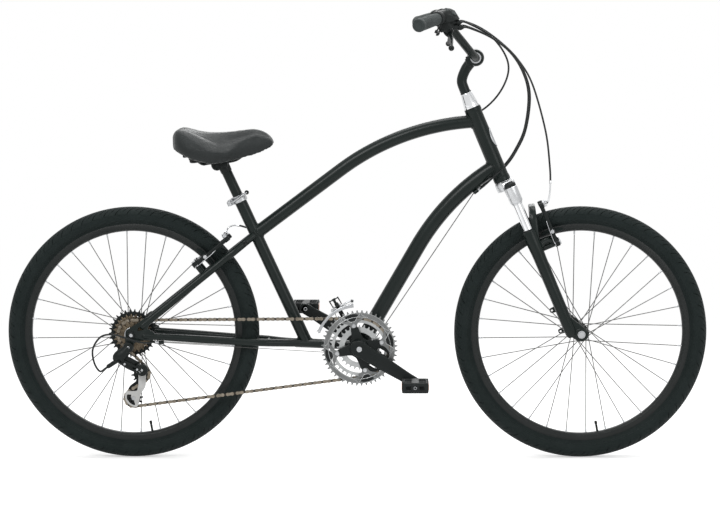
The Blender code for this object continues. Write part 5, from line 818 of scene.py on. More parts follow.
def make_frame():
    shapes = [
        head_tube(), tube(TOP_TUBE, TOP_RADIUS, 40), tube(DOWN_TUBE, DOWN_RADIUS, 44), seat_tube(),
        bottom_tube(),
        lathe(
            BRACKET, Y_AXIS,
            [
                (0.0172, -0.034), (0.0198, -0.034), (SHELL_RADIUS, -0.0333), (SHELL_RADIUS, 0.0333),
                (0.0198, 0.034), (0.0172, 0.034),
            ],
            56, True,
        ),
    ]
    top_end, down_end = TOP_TUBE[-1] - TOP_TUBE[-2], DOWN_TUBE[-1] - DOWN_TUBE[-2]
    shapes.append(weld(TOP_TUBE[-2], top_end, TOP_RADIUS, HEAD_BOTTOM, STEER_DOWN, HEAD_RADIUS))
    shapes.append(weld(DOWN_TUBE[-2], down_end, DOWN_RADIUS, HEAD_BOTTOM, STEER_DOWN, HEAD_RADIUS))
    shapes.append(weld(TOP_TUBE[3], TOP_TUBE[0] - TOP_TUBE[3], TOP_RADIUS, SEAT_FOOT, SEAT_UP, SEAT_RADIUS))
    shapes.append(weld(DOWN_TUBE[3], DOWN_TUBE[0] - DOWN_TUBE[3], DOWN_RADIUS, BRACKET, Y_AXIS, SHELL_RADIUS))
    middle = BRACKET.lerp(SEAT_FOOT, 0.4)
    shapes.append(
        weld(middle, BRACKET - middle, BOTTOM_HALF_HIGH, BRACKET, Y_AXIS, SHELL_RADIUS, BOTTOM_FLATNESS)
    )
    along = SEAT_FOOT - BRACKET
    shapes.append(weld(SEAT_FOOT + SEAT_UP * 0.04, -SEAT_UP, SEAT_RADIUS, SEAT_FOOT, along, 0.0123))
    for side in (NEAR, FAR):
        chain_stay, seat_stay = chain_stay_path(side), seat_stay_path(side)
        thin = [STAY_RADIUS - 0.0016 * max(0, k - 26) / 13 for k in range(CHAIN_STAY_POINTS)]
        shapes += [tube(chain_stay, thin, 28), tube(seat_stay, STAY_RADIUS, 28), dropout(side)]
        shapes.append(ball(chain_stay[-1], 0.0086, (1.1, 0.9, 1)))
        shapes.append(ball(seat_stay[-1], 0.0098, (1, 0.9, 1)))
        shapes.append(
            weld(
                seat_stay[4], seat_stay[0] - seat_stay[4], STAY_RADIUS, SEAT_FOOT, SEAT_UP, SEAT_RADIUS,
                size=0.0018,
            )
        )
        boss = SEAT_CROSS - STAY_ALONG * 0.034 + Y_AXIS * side * 0.02
        shapes.append(rod(boss, boss + Y_AXIS * side * 0.0165, 0.0055, 24, 0.0005))
        post = REAR_AXLE + STAY_ALONG * BRAKE_POST_RISE + STAY_OUT * REAR_POST_AHEAD + Y_AXIS * side * POST_Y
        shapes += brake_post(post, STAY_OUT, -0.034)
        shapes.append(
            rod(
                post - STAY_OUT * 0.012 + Y_AXIS * side * 0.006,
                post - STAY_OUT * 0.002 + Y_AXIS * side * 0.006, 0.0022, 12,
            )
        )
    shapes.append(cross_rod(Vector((-0.232, 0, 0.3075)), -0.036, 0.036, 0.0055, 24))
    bridge = REAR_AXLE + STAY_ALONG * 0.372
    shapes.append(cross_rod(bridge, -0.03, 0.03, 0.006, 24))
    shapes += [stop_shape(a, b) for a, b in cable_stops()]
    dress(joined(*shapes), "painted_frame", "frame", "frame_black", ["frame"])
    for side, word in SIDES:
        boss = SEAT_CROSS - STAY_ALONG * 0.034 + Y_AXIS * side * 0.0352
        bolt = bolt_head(boss, Y_AXIS * side, 0.0044, 0.0038)
        dress(bolt, "rack_bolt_" + word, "frame", "black_parts")


def make_badge():
    """A plain oval plate on the front of the head tube."""
    middle = fork_point(-0.115, 0)
    rings = []
    for depth, share in (
        (0.0207, 1.0), (0.0222, 1.0), (0.0227, 0.96), (0.0227, 0.88), (0.0222, 0.84), (0.0222, 0.4),
    ):
        ring = []
        for angle in turns(40):
            y, up = math.cos(angle) * 0.0145 * share, math.sin(angle) * 0.026 * share
            front = math.sqrt(max(0.0, depth**2 - y**2))
            ring.append(middle - STEER_DOWN * up + STEER_FRONT * front + Y_AXIS * y)
        rings.append(ring)
    dress(loft(rings), "head_plate", "frame", "silver_alloy", sharp=50)


# Fork and headset


def leg_base(side):
    return fork_point(0, LEG_FRONT, side * LEG_Y)


def make_fork_crown():
    """The crown bridge, the race collar and the two sleeves that grip the stanchions."""
    outline = [
        (-0.036, 0.002), (0.036, 0.002), (0.04, 0.018), (0.061, 0.02), (0.061, 0.04), (0.04, 0.04),
        (0.028, 0.027), (-0.028, 0.027), (-0.04, 0.04), (-0.061, 0.04), (-0.061, 0.02), (-0.04, 0.018),
    ]
    points = [(y, -down) for y, down in outline]
    bridge = prism(rounded_outline(points, 0.006, 4), -0.028, 0.006, HEAD_BOTTOM.copy(), Y_AXIS, -STEER_DOWN)
    shapes = [rounded(bridge, 0.0022, 3, 40)]
    collar = [
        (0.015, 0.0004), (0.0205, 0.0006), (0.0215, 0.0012), (0.0232, 0.005), (0.0235, 0.008),
        (0.0235, 0.0245), (0.0225, 0.0262), (0.015, 0.0262),
    ]
    shapes.append(lathe(HEAD_BOTTOM, STEER_DOWN, collar, 56, True))
    for side in (NEAR, FAR):
        sleeve = [
            (0.012, 0.0195), (0.016, 0.0195), (0.017, 0.0205), (0.017, 0.06), (0.016, 0.0622),
            (0.0142, 0.063), (0.0138, 0.0675), (0.0124, 0.068),
        ]
        shapes.append(lathe(leg_base(side), STEER_DOWN, sleeve, 48, True))
    dress(joined(*shapes), "crown", "steering", "fork_grey", ["fork_crown"])
    for side, word in SIDES:
        profile = [(0, 0.06), (0.0125, 0.06), (0.0125, 0.15), (0.0125, 0.232), (0, 0.232)]
        made = lathe(leg_base(side), STEER_DOWN, profile, 48)
        dress(made, "stanchion_" + word, "steering", "chrome")


def make_knob(side, word):
    """A ribbed knob on top of the leg, with a raised finger grip across it."""
    profile = [
        (0, 0.0072), (0.0105, 0.0072), (0.0122, 0.008), (0.0135, 0.01), (0.0155, 0.0112), (0.0155, 0.0192),
        (0.0148, 0.0197), (0, 0.0197),
    ]
    made = lathe(leg_base(side), STEER_DOWN, profile, 72)
    for vertex in made.data.vertices:
        away = vertex.co - leg_base(side)
        flat = away - STEER_DOWN * away.dot(STEER_DOWN)
        if flat.length > 0.015:
            around = math.atan2(flat.y, flat.dot(STEER_FRONT))
            vertex.co -= flat.normalized() * 0.0007 * (0.5 + 0.5 * math.cos(around * 24))
    grip = turned_block(
        leg_base(side) + STEER_DOWN * 0.007, (0.02, 0.005, 0.0036), STEER_FRONT, Y_AXIS, STEER_DOWN, 0.0012,
    )
    name = "preload_knob_" + word
    dress(joined(made, grip), "spring_knob_" + word, name, "black_plastic", [name])


def make_lowers():
    """Cast legs with dust wipers, the arch over the tyre, axle ends, brake bosses and two tabs."""
    shapes = []
    foot_out = [
        (0.385, 0.002), (0.389, 0.024), (0.4323, 0.0493), (0.4483, 0.0548), (0.4623, 0.0473),
        (0.4658, 0.0353), (0.4583, 0.0193), (0.435, 0.004),
    ]
    for side, word in SIDES:
        base = leg_base(side)
        profile = [
            (0.013, 0.143), (0.016, 0.143), (0.0165, 0.1445), (0.0172, 0.145), (0.0182, 0.149),
            (0.0182, 0.185), (0.0172, 0.205), (0.0165, 0.225), (0.0158, 0.3), (0.0158, 0.425),
            (0.0148, 0.436), (0.011, 0.443), (0, 0.445), (0, 0.15), (0.013, 0.15),
        ]
        shapes.append(lathe(base, STEER_DOWN, profile, 48, True))
        inner = 0.0503
        low, high = sorted((side * inner, side * (inner + 0.012)))
        foot = rounded(fork_plate(rounded_outline(foot_out, 0.008, 4), low, high), 0.0022, 3, 40)
        shapes.append(cut(foot, cross_rod(FRONT_AXLE, low - 0.02, high + 0.02, 0.0054)))
        post = FRONT_AXLE - STEER_DOWN * BRAKE_POST_RISE + STEER_FRONT * FRONT_POST_AHEAD
        post += Y_AXIS * side * POST_Y
        shapes += brake_post(post, STEER_FRONT, LEG_FRONT - FORK_RAKE - FRONT_POST_AHEAD)
        web = [
            fork_point(0.19, 0.022, side * 0.046), fork_point(0.186, 0.045, side * 0.041),
            fork_point(0.193, 0.06, side * 0.04),
        ]
        shapes.append(tube(smooth_path(web, 10), [0.0105 - 0.0004 * k for k in range(10)], 20))
        shapes.append(
            rod(
                post - STEER_FRONT * 0.014 + Y_AXIS * side * 0.006,
                post - STEER_FRONT * 0.002 + Y_AXIS * side * 0.006, 0.0022, 12,
            )
        )
        boot = lathe(
            base, STEER_DOWN,
            [(0.0127, 0.1395), (0.0142, 0.1395), (0.015, 0.141), (0.015, 0.1435), (0.0127, 0.1435)], 40, True,
        )
        dress(boot, "wiper_" + word, "fork_lowers", "black_plastic")
        cap = lathe(
            FRONT_AXLE, Y_AXIS * side,
            [(0.0104, 0.0626), (0.017, 0.0626), (0.017, 0.064), (0.015, 0.0652), (0.0104, 0.0652)], 40, True,
        )
        shapes.append(cap)
    shapes.append(make_arch())
    for down in (0.372, 0.432):
        tab = [(down - 0.009, 0.01), (down + 0.01, 0.01), (down + 0.0062, -0.0175), (down - 0.0062, -0.0175)]
        made = rounded(
            fork_plate(rounded_outline(tab, [0.002, 0.002, 0.007, 0.007], 5), LEG_Y - 0.004, LEG_Y + 0.004),
            0.0008, 2, 40,
        )
        shapes.append(cut(made, cross_rod(fork_point(down, -0.0113), LEG_Y - 0.01, LEG_Y + 0.01, 0.0028)))
    dress(joined(*shapes), "fork_castings", "fork_lowers", "frame_black", ["fork_lowers"])


def make_arch():
    """The brace over the tyre: a bowed strap with a raised rim and a sunk middle."""
    top, foot = fork_point(0.086, 0.046), fork_point(0.162, 0.024)
    up = (top - foot).normalized()
    front = up.cross(Y_AXIS)
    front = front if front.x > 0 else -front
    outside = smooth_path(
        [
            (-0.062, 0, -0.008), (-0.061, 0, 0.022), (-0.056, 0, 0.05), (-0.042, 0, 0.07), (-0.02, 0, 0.0785),
            (0, 0, 0.0785),
        ],
        18,
    )
    inside = smooth_path(
        [
            (-0.043, 0, -0.008), (-0.042, 0, 0.022), (-0.037, 0, 0.04), (-0.028, 0, 0.053),
            (-0.014, 0, 0.059), (0, 0, 0.0595),
        ],
        18,
    )
    pairs = list(zip(outside, inside))
    pairs += [(Vector((-p.x, 0, p.z)), Vector((-q.x, 0, q.z))) for p, q in reversed(pairs[:-1])]
    rings = []
    for a, b in pairs:
        ring = []
        for share, depth in (
            (0, -0.006), (0.06, -0.008), (0.94, -0.008), (1, -0.006), (1, 0.0062), (0.94, 0.008),
            (0.8, 0.008), (0.7, 0.0058), (0.3, 0.0058), (0.2, 0.008), (0.06, 0.008), (0, 0.0062),
        ):
            spot = a.lerp(b, share)
            ring.append(foot + Y_AXIS * spot.x + up * spot.z + front * depth)
        rings.append(ring)
    return loft(rings)


def make_headset_cone():
    """The polished cone between the head tube and the stem, with its two joints."""
    top, bottom = -0.248, -0.2073
    profile = [
        (0.0148, bottom), (0.0205, bottom), (0.0207, bottom - 0.001), (0.0204, bottom - 0.0056),
        (0.0198, bottom - 0.0062), (0.02, bottom - 0.0068), (0.019, bottom - 0.013), (0.0168, top + 0.012),
        (0.015, top + 0.0026), (0.0147, top + 0.0008), (0.014, top), (0.0114, top),
    ]
    dress(
        lathe(HEAD_BOTTOM, STEER_DOWN, profile, 64, True), "polished_cone", "steering", "chrome",
        ["headset_cone"],
    )


# Wheels

RIM_INNER, RIM_HALF = 0.2668, 0.0125
SPOKES = 32
VALVE_ANGLE = math.radians(-80)
TREAD_PITCHES = 64
TREAD_COLUMNS = (0.0, 0.02, 0.055, 0.075, 0.22, 0.36, 0.5, 0.52, 0.555, 0.575, 0.72, 0.86)
TREAD_ROWS = (
    0.0, 0.0034, 0.0048, 0.0085, 0.0125, 0.0165, 0.0205, 0.0222, 0.0236, 0.0262, 0.029, 0.0312, 0.0322, 0.033,
    0.0338, 0.0346, 0.0354, 0.0362, 0.037, 0.0385,
)


def tyre_section():
    """Fine points (radius, y) down one side, from the middle of the tread to the bead."""
    route = [
        (0.331, 0), (0.3301, 0.0062), (0.3275, 0.0128), (0.3235, 0.0184), (0.3185, 0.0226), (0.3135, 0.0249),
        (0.3075, 0.0257), (0.3015, 0.0243), (0.2955, 0.0208), (0.2905, 0.0158), (0.2872, 0.0108),
        (0.2836, 0.0098),
    ]
    return smooth_path([(r, y, 0) for r, y in route], 240)


def section_at(section, distance):
    """The point and the outward way at this distance along the section."""
    step = (section[1] - section[0]).length
    k = min(len(section) - 2, max(1, round(distance / step)))
    run = (section[k + 1] - section[k - 1]).normalized()
    share = distance / step - k
    return section[k] + run * share * step, Vector((run.y, -run.x, 0))


def tread_depth(column, distance, mirrored):
    """How far the surface lies under the top of the tread, by column of the pattern and row."""
    role = (column + 6) % len(TREAD_COLUMNS) if mirrored else column
    share = (TREAD_COLUMNS[column] + (0.5 if mirrored else 0.0)) % 1.0
    edge = 0.0322 + 0.004 * share
    if distance > edge:
        return min(1.0, (distance - edge) / 0.0006) * 0.0011
    if role in (1, 2) and distance > 0.004:
        return 0.0026
    if role in (7, 8) and 0.004 < distance < 0.023:
        return 0.0021
    return 0.0


def make_tyre(name, axle, body):
    """One skin from bead to bead, its tread pressed in by the pattern's columns and rows."""
    section = tyre_section()
    length = (section[1] - section[0]).length * (len(section) - 1)
    wall = [
        0.04, 0.0425, 0.045, 0.0475, 0.0482, 0.0488, 0.0495, 0.052, 0.0526, 0.0532, 0.0545, 0.056, 0.0575,
        length,
    ]
    rows = [(d, True) for d in reversed([*TREAD_ROWS[1:], *wall])] + [
        (d, False)
        for d in [*TREAD_ROWS, *wall]
    ]
    pattern = len(TREAD_COLUMNS)
    columns = TREAD_PITCHES * pattern
    points, faces = [], []

    def spot_at(column, radius, y, sweep=0.0):
        angle = -(column // pattern + TREAD_COLUMNS[column % pattern] + sweep) * math.tau / TREAD_PITCHES
        return round_spot(axle, radius, angle, y)

    for distance, mirrored in rows:
        spot, outward = section_at(section, distance)
        sweep = 1.15 * max(0.0, 1 - distance / 0.036) ** 1.5 if distance < 0.036 else 0.0
        ridge = 0.0005 if any(abs(distance - r) < 0.0001 for r in (0.0482, 0.0488, 0.0526)) else 0.0
        for column in range(columns):
            depth = tread_depth(column % pattern, distance, mirrored)
            fade = max(0.0, min(1.0, (0.0475 - distance) / 0.009))
            depth = depth * fade if distance > 0.0385 else depth
            radius = spot.x - outward.x * (depth - ridge)
            y = (spot.y - outward.y * (depth - ridge)) * (-1 if mirrored else 1)
            points.append(spot_at(column, radius, y, sweep))
    for y in (-0.0085, 0.0085):
        points += [spot_at(column, 0.2815, y) for column in range(columns)]
    order = [len(rows), *range(len(rows)), len(rows) + 1]
    for a, b in zip(order, order[1:] + order[:1]):
        for i in range(columns):
            j = (i + 1) % columns
            faces.append([a * columns + i, a * columns + j, b * columns + j, b * columns + i])
    dress(
        mesh_object(points, faces), name + "_cover", body, "tyre_rubber", [name + "_tyre"], 30,
    )


def make_rim(name, axle, body):
    """The hoop with its brake tracks, and the valve with its cap."""
    half = [
        (0.2762, 0.0), (0.2772, 0.007), (0.2795, 0.0094), (0.2838, 0.01), (0.2855, 0.0106), (0.2866, 0.0114),
        (0.2866, 0.0122), (0.2861, RIM_HALF), (0.2745, RIM_HALF), (0.2741, 0.0121), (0.2735, 0.0121),
        (0.2731, RIM_HALF), (0.2722, 0.0123), (0.2693, 0.0094), (0.2676, 0.0062), (0.2669, 0.003),
        (RIM_INNER, 0.0),
    ]
    profile = half + [(r, -y) for r, y in reversed(half[1:-1])]
    made = lathe(axle, Y_AXIS, profile, 160, True)
    dress(made, name + "_hoop", body, "rim_black_" + name, [name + "_rim"], 40)
    away = heading(VALVE_ANGLE)
    seat = axle + away * 0.2672
    stem = [(0.003, -0.002), (0.003, 0.016), (0.0026, 0.0175), (0.0026, 0.019)]
    dress(lathe(seat, -away, stem, 20), name + "_valve", body, "black_plastic")
    cap = [(0.0024, 0.0185), (0.0036, 0.019), (0.0036, 0.0262), (0.003, 0.0275), (0, 0.0278)]
    dress(lathe(seat, -away, cap, 18), name + "_valve_cap", body, "black_plastic")


def make_spokes(name, axle, body, flanges, flange_radius, replaced):
    """Round spokes, each bent where it leaves its flange, with a head and a nipple."""
    spokes, nipples = [], []
    for k in range(SPOKES):
        rim_angle = math.radians(3.5) + k * math.tau / SPOKES
        pull = 1 if k % 4 < 2 else -1
        hub_angle = rim_angle + pull * math.radians(67.5)
        side = flanges[k % 2]
        a, b = polar(flange_radius - 0.003, hub_angle), polar(RIM_INNER, rim_angle)
        hole = axle + Vector((a[0], side, a[1]))
        rim = axle + Vector((b[0], math.copysign(0.0036, side) + pull * 0.001, b[1]))
        face = Y_AXIS * pull * 0.0021
        run = (rim - hole).normalized()
        path = [
            hole - face * 1.35, hole + face * 0.6, hole + face * 1.15 + run * 0.0008,
            hole + face * 1.2 + run * 0.004,
        ]
        spokes.append(tube([*path, rim - run * 0.004], 0.00115, 10))
        spokes.append(lathe(hole - face * 1.05, -face, [(0.0019, 0), (0.0019, 0.0007), (0.0008, 0.0012)], 12))
        nipples.append(
            lathe(
                rim + run * 0.001, -run,
                [(0.0026, 0), (0.0026, 0.0016), (0.002, 0.0022), (0.002, 0.0095), (0.0014, 0.012)], 12,
            )
        )
    dress(joined(*spokes), name + "_spokes", body, "spoke_steel", replaced, 40)
    dress(joined(*nipples), name + "_nipples", body, "silver_alloy", sharp=40)


def make_front_wheel():
    make_tyre("front", FRONT_AXLE, "front_wheel")
    make_rim("front", FRONT_AXLE, "front_wheel")
    make_spokes("front", FRONT_AXLE, "front_wheel", (0.034, -0.034), 0.0215, ["front_hub_and_spokes"])
    half = [
        (0.0105, 0), (0.0105, 0.017), (0.0118, 0.026), (0.014, 0.03), (0.0208, 0.0322), (0.0215, 0.0327),
        (0.0215, 0.0353), (0.0208, 0.0358), (0.015, 0.0362), (0.0132, 0.0375), (0.0132, 0.043),
        (0.0122, 0.044), (0.0122, 0.0462), (0.0056, 0.0465),
    ]
    hub = lathe(FRONT_AXLE, Y_AXIS, half + [(r, -a) for r, a in reversed(half[1:])], 56, True)
    dress(hub, "front_hub", "front_wheel", "black_parts")
    shapes = [cross_rod(FRONT_AXLE, -0.0655, 0.0655, 0.005, 24, 0.0008)]
    for side in (NEAR, FAR):
        cone = [(0.005, 0.0468), (0.008, 0.0468), (0.0086, 0.0474), (0.0086, 0.0498), (0.005, 0.05)]
        shapes.append(lathe(FRONT_AXLE, Y_AXIS * side, cone, 32, True))
        flange = [(0.0102, 0.063), (0.0102, 0.0646), (0.0088, 0.065), (0.005, 0.065), (0.005, 0.063)]
        shapes.append(lathe(FRONT_AXLE, Y_AXIS * side, flange, 40, True))
        hexagon = [(0.009, 0.0648), (0.009, 0.0698), (0.008, 0.0708), (0, 0.0708)]
        shapes.append(lathe(FRONT_AXLE, Y_AXIS * side, hexagon, 6))
    dress(
        joined(*shapes), "front_axle_and_nuts", "fork_lowers", "silver_alloy", ["front_axle"],
        25,
    )


def make_rear_wheel():
    make_tyre("rear", REAR_AXLE, "rear_wheel")
    make_rim("rear", REAR_AXLE, "rear_wheel")
    make_spokes("rear", REAR_AXLE, "rear_wheel", (0.036, -0.0215), 0.0225, ["rear_hub_and_spokes"])
    shell = [
        (0.0056, -0.0605), (0.0165, -0.0605), (0.0185, -0.06), (0.0187, -0.026), (0.0205, -0.0245),
        (0.0218, -0.0238), (0.0225, -0.0232), (0.0225, -0.02), (0.0218, -0.0194), (0.015, -0.0178),
        (0.0122, -0.013), (0.0115, -0.005), (0.0115, 0.02), (0.0124, 0.029), (0.015, 0.0325),
        (0.0218, 0.0342), (0.0225, 0.0348), (0.0225, 0.0374), (0.0218, 0.038), (0.0155, 0.0388),
        (0.0138, 0.04), (0.0138, 0.056), (0.0128, 0.0575), (0.0128, 0.0602), (0.0056, 0.0605),
    ]
    dress(lathe(REAR_AXLE, Y_AXIS, shell, 56, True), "rear_hub", "rear_wheel", "black_parts")
    dress(
        cross_rod(REAR_AXLE, -0.084, 0.084, 0.0048, 24, 0.0008), "rear_axle_rod", "frame", "silver_alloy",
        ["rear_axle"], 25,
    )
    shapes = []
    for side in (NEAR, FAR):
        cone = [(0.005, 0.0608), (0.008, 0.0608), (0.0084, 0.0614), (0.0084, 0.067), (0.005, 0.0675)]
        shapes.append(lathe(REAR_AXLE, Y_AXIS * side, cone, 32, True))
        washer = [(0.005, 0.0742), (0.01, 0.0742), (0.0104, 0.0746), (0.0104, 0.0754), (0.005, 0.0758)]
        shapes.append(lathe(REAR_AXLE, Y_AXIS * side, washer, 36, True))
        nut = [(0.005, 0.0756), (0.0092, 0.0756), (0.0092, 0.081), (0.0082, 0.082), (0.005, 0.082)]
        shapes.append(lathe(REAR_AXLE, Y_AXIS * side, nut, 6, True))
    dress(joined(*shapes), "rear_axle_nuts", "frame", "black_parts", sharp=25)
    seal = [(0.0088, 0.06), (0.012, 0.06), (0.012, 0.0607), (0.0088, 0.0607)]
    seals = [lathe(REAR_AXLE, Y_AXIS * side, seal, 32, True) for side in (NEAR, FAR)]
    dress(joined(*seals), "rear_seals", "rear_wheel", "black_plastic")


# Drive

COG_TEETH = (14, 16, 18, 20, 22, 24, 30)
RING_TEETH = (48, 38, 28)
GUIDE_PULLEY = REAR_AXLE + Vector((0.022, 0, -0.105))
TENSION_PULLEY = REAR_AXLE + Vector((0.002, 0, -0.169))
CAGE_PIVOT = REAR_AXLE + Vector((0.027, 0, -0.092))


def pitch_radius(teeth):
    return CHAIN_PITCH / (2 * math.sin(math.pi / teeth))


class ChainWheel:
    """A sprocket in the chain's plane; turn is 1 where the chain goes round it clockwise, seen from -Y."""

    def __init__(self, centre, teeth, turn):
        self.centre = Vector((centre.x, centre.z))
        self.teeth = teeth
        self.turn = turn
        self.radius = pitch_radius(teeth)
        self.phase = 0.0


def chain_run(a, b):
    """The straight run from sprocket a to sprocket b."""
    across_both = b.centre - a.centre
    along = across_both.normalized()
    lean = (b.turn * b.radius - a.turn * a.radius) / across_both.length
    right = along * lean + Vector((along.y, -along.x)) * math.sqrt(1 - lean * lean)
    return a.centre - right * a.turn * a.radius, b.centre - right * b.turn * b.radius


def chain_pins(wheels):
    """Pins in the chain's plane, each with its outward side; the first run takes up what is left over."""
    following = wheels[1:] + wheels[:1]
    runs = [chain_run(a, b) for a, b in zip(wheels, following)]
    spans = []
    for k, wheel in enumerate(following):
        spans.append((None, runs[k], (runs[k][1] - runs[k][0]).length))
        enter = runs[k][1] - wheel.centre
        leave = runs[(k + 1) % len(runs)][0] - wheel.centre
        start = math.atan2(enter.y, enter.x)
        angle = (start - math.atan2(leave.y, leave.x)) * wheel.turn % math.tau
        spans.append((wheel, start, angle * wheel.teeth * CHAIN_PITCH / math.tau))
    total = sum(length for _, _, length in spans)
    count = 2 * round(total / CHAIN_PITCH / 2)
    spans[0] = (None, spans[0][1], spans[0][2] + count * CHAIN_PITCH - total)
    pins, begin = [], 0.0
    for wheel, data, length in spans:
        while len(pins) < count and len(pins) * CHAIN_PITCH < begin + length:
            gone = len(pins) * CHAIN_PITCH - begin
            if wheel is None:
                start, end = data
                along = (end - start).normalized()
                pins.append((start.lerp(end, gone / length), Vector((-along.y, along.x))))
            else:
                wheel.phase = data - wheel.turn * gone / wheel.teeth / CHAIN_PITCH * math.tau
                offset = Vector(polar(1, wheel.phase))
                pins.append((wheel.centre + offset * wheel.radius, offset * wheel.turn))
        begin += length
    return pins


def link_plate(a, b, low, high, half, waist):
    """A waisted plate between two pins given in the chain's plane."""
    along = (b - a).normalized()
    up = Vector((-along.y, along.x))
    length = (b - a).length
    outline = []
    for end, sign in ((a, 1), (b, -1)):
        for k in range(9):
            angle = sign * math.pi / 2 + math.pi * k / 8
            outline.append(end + along * math.cos(angle) * half + up * math.sin(angle) * half)
        outline.append(a + along * length / 2 - up * waist * sign)
    return prism(outline, low, high)


def make_chain(pins):
    """Inner and outer links by turns, with a roller and a riveted pin at every joint."""
    shapes, rollers = [], []
    for i, (pin, _) in enumerate(pins):
        after = pins[(i + 1) % len(pins)][0]
        inner, outer = (0.0024, 0.0034) if i % 2 else (0.0013, 0.0023)
        kept = shapes if i % 2 else rollers
        for side in (-1, 1):
            low, high = sorted((side * inner, side * outer))
            kept.append(link_plate(pin, after, low - CHAINLINE, high - CHAINLINE, 0.0043, 0.0031))
        spot = Vector((pin.x, -CHAINLINE, pin.y))
        rollers.append(rod(spot - Y_AXIS * 0.0018, spot + Y_AXIS * 0.0018, 0.0037, 14))
        shapes.append(rod(spot - Y_AXIS * 0.0037, spot + Y_AXIS * 0.0037, 0.0017, 10))
    dress(joined(*shapes), "chain_links", "frame", "chain_bronze", ["chain"], 40)
    dress(joined(*rollers), "chain_rollers", "frame", "chain_dark", sharp=40)


def sprocket_outline(teeth, phase, tip=0.0027, flat=0.0011):
    """Round seats for the rollers between pointed teeth, a seat at the phase angle."""
    pitch = pitch_radius(teeth)
    root = pitch - 0.004
    half_pitch = math.pi / teeth
    out = []
    seat = [
        (-0.62, root + 0.0017), (-0.36, root + 0.0002), (0.0, root), (0.36, root + 0.0002),
        (0.62, root + 0.0017),
    ]
    thin = flat / pitch
    for k in range(teeth):
        middle = phase + math.tau * k / teeth
        out += [polar(radius, middle + share * half_pitch) for share, radius in seat]
        top = middle + half_pitch
        out.append(polar(pitch + tip, top - thin))
        out.append(polar(pitch + tip, top + thin))
    return out


def cog_y(index):
    return -CHAINLINE - (2 - index) * 0.005


def ring_y(index):
    return -CHAINLINE - (1 - index) * 0.0075


def make_freewheel(phase):
    """Six bronze cogs and a large black one with windows, on a plain body with its notched lockring."""
    for index, teeth in enumerate(COG_TEETH):
        y, largest = cog_y(index), index == len(COG_TEETH) - 1
        turn = phase + 0.13 * (index - 2)
        made = plate(sprocket_outline(teeth, turn), y, 0.0022 if largest else 0.0021, REAR_AXLE)
        cutters = [cross_rod(REAR_AXLE, y - 0.01, y + 0.01, 0.0197, 40)]
        if largest:
            shape = (
                (0.03, -0.36), (0.043, -0.4), (0.046, -0.2), (0.0465, 0.0), (0.046, 0.2), (0.043, 0.4),
                (0.03, 0.36), (0.029, 0.0),
            )
            for middle in turns(6, 0.25):
                window = [polar(r, middle + a) for r, a in shape]
                cutters.append(plate(rounded_outline(window, 0.004, 3), y, 0.02, REAR_AXLE))
        elif index > 2:
            radius = pitch_radius(teeth) * 0.7
            for angle in turns(8):
                spot = round_spot(REAR_AXLE, radius, angle + index)
                cutters.append(cross_rod(spot, y - 0.005, y + 0.005, 0.0034, 12))
        made = cut(made, *cutters)
        finish = "black_parts" if largest else "cog_bronze"
        replaced = ["freewheel_cogs"] if index == 0 else []
        dress(made, f"cog_{teeth}", "freewheel", finish, replaced)
    body = [(0.0193, -0.0585), (0.0222, -0.0585), (0.0222, -0.0268), (0.0193, -0.0268)]
    dress(
        lathe(REAR_AXLE, Y_AXIS, body, 48, True), "freewheel_body", "freewheel", "black_parts",
    )
    ring = [(0.011, -0.0608), (0.0175, -0.0608), (0.019, -0.06), (0.019, -0.0585), (0.011, -0.0585)]
    made = lathe(REAR_AXLE, Y_AXIS, ring, 48, True)
    notches = []
    for angle in turns(12):
        spot = round_spot(REAR_AXLE, 0.0116, angle, -0.061)
        way = heading(angle)
        notches.append(turned_block(spot, (0.003, 0.004, 0.0018), way, Y_AXIS, way.cross(Y_AXIS)))
    dress(cut(made, *notches), "freewheel_lockring", "freewheel", "silver_alloy")


def spider_angles():
    return [CRANK_ANGLE + math.tau / 4 * (k + 0.5) for k in range(4)]


def crank_spot(radius, angle, y=0.0):
    return round_spot(BRACKET, radius, angle, y)


def pocket_shape(angle, over=0.0):
    """The dark pocket beyond a ring bolt, wider towards the teeth."""
    half = [(0.0725 - over, 0.075), (0.088, 0.212 + over * 11), (0.0902 + over, 0.11)]
    return [polar(r, angle - a) for r, a in half] + [polar(0.0908 + over, angle)] + [
        polar(r, angle + a)
        for r, a in reversed(half)
    ]


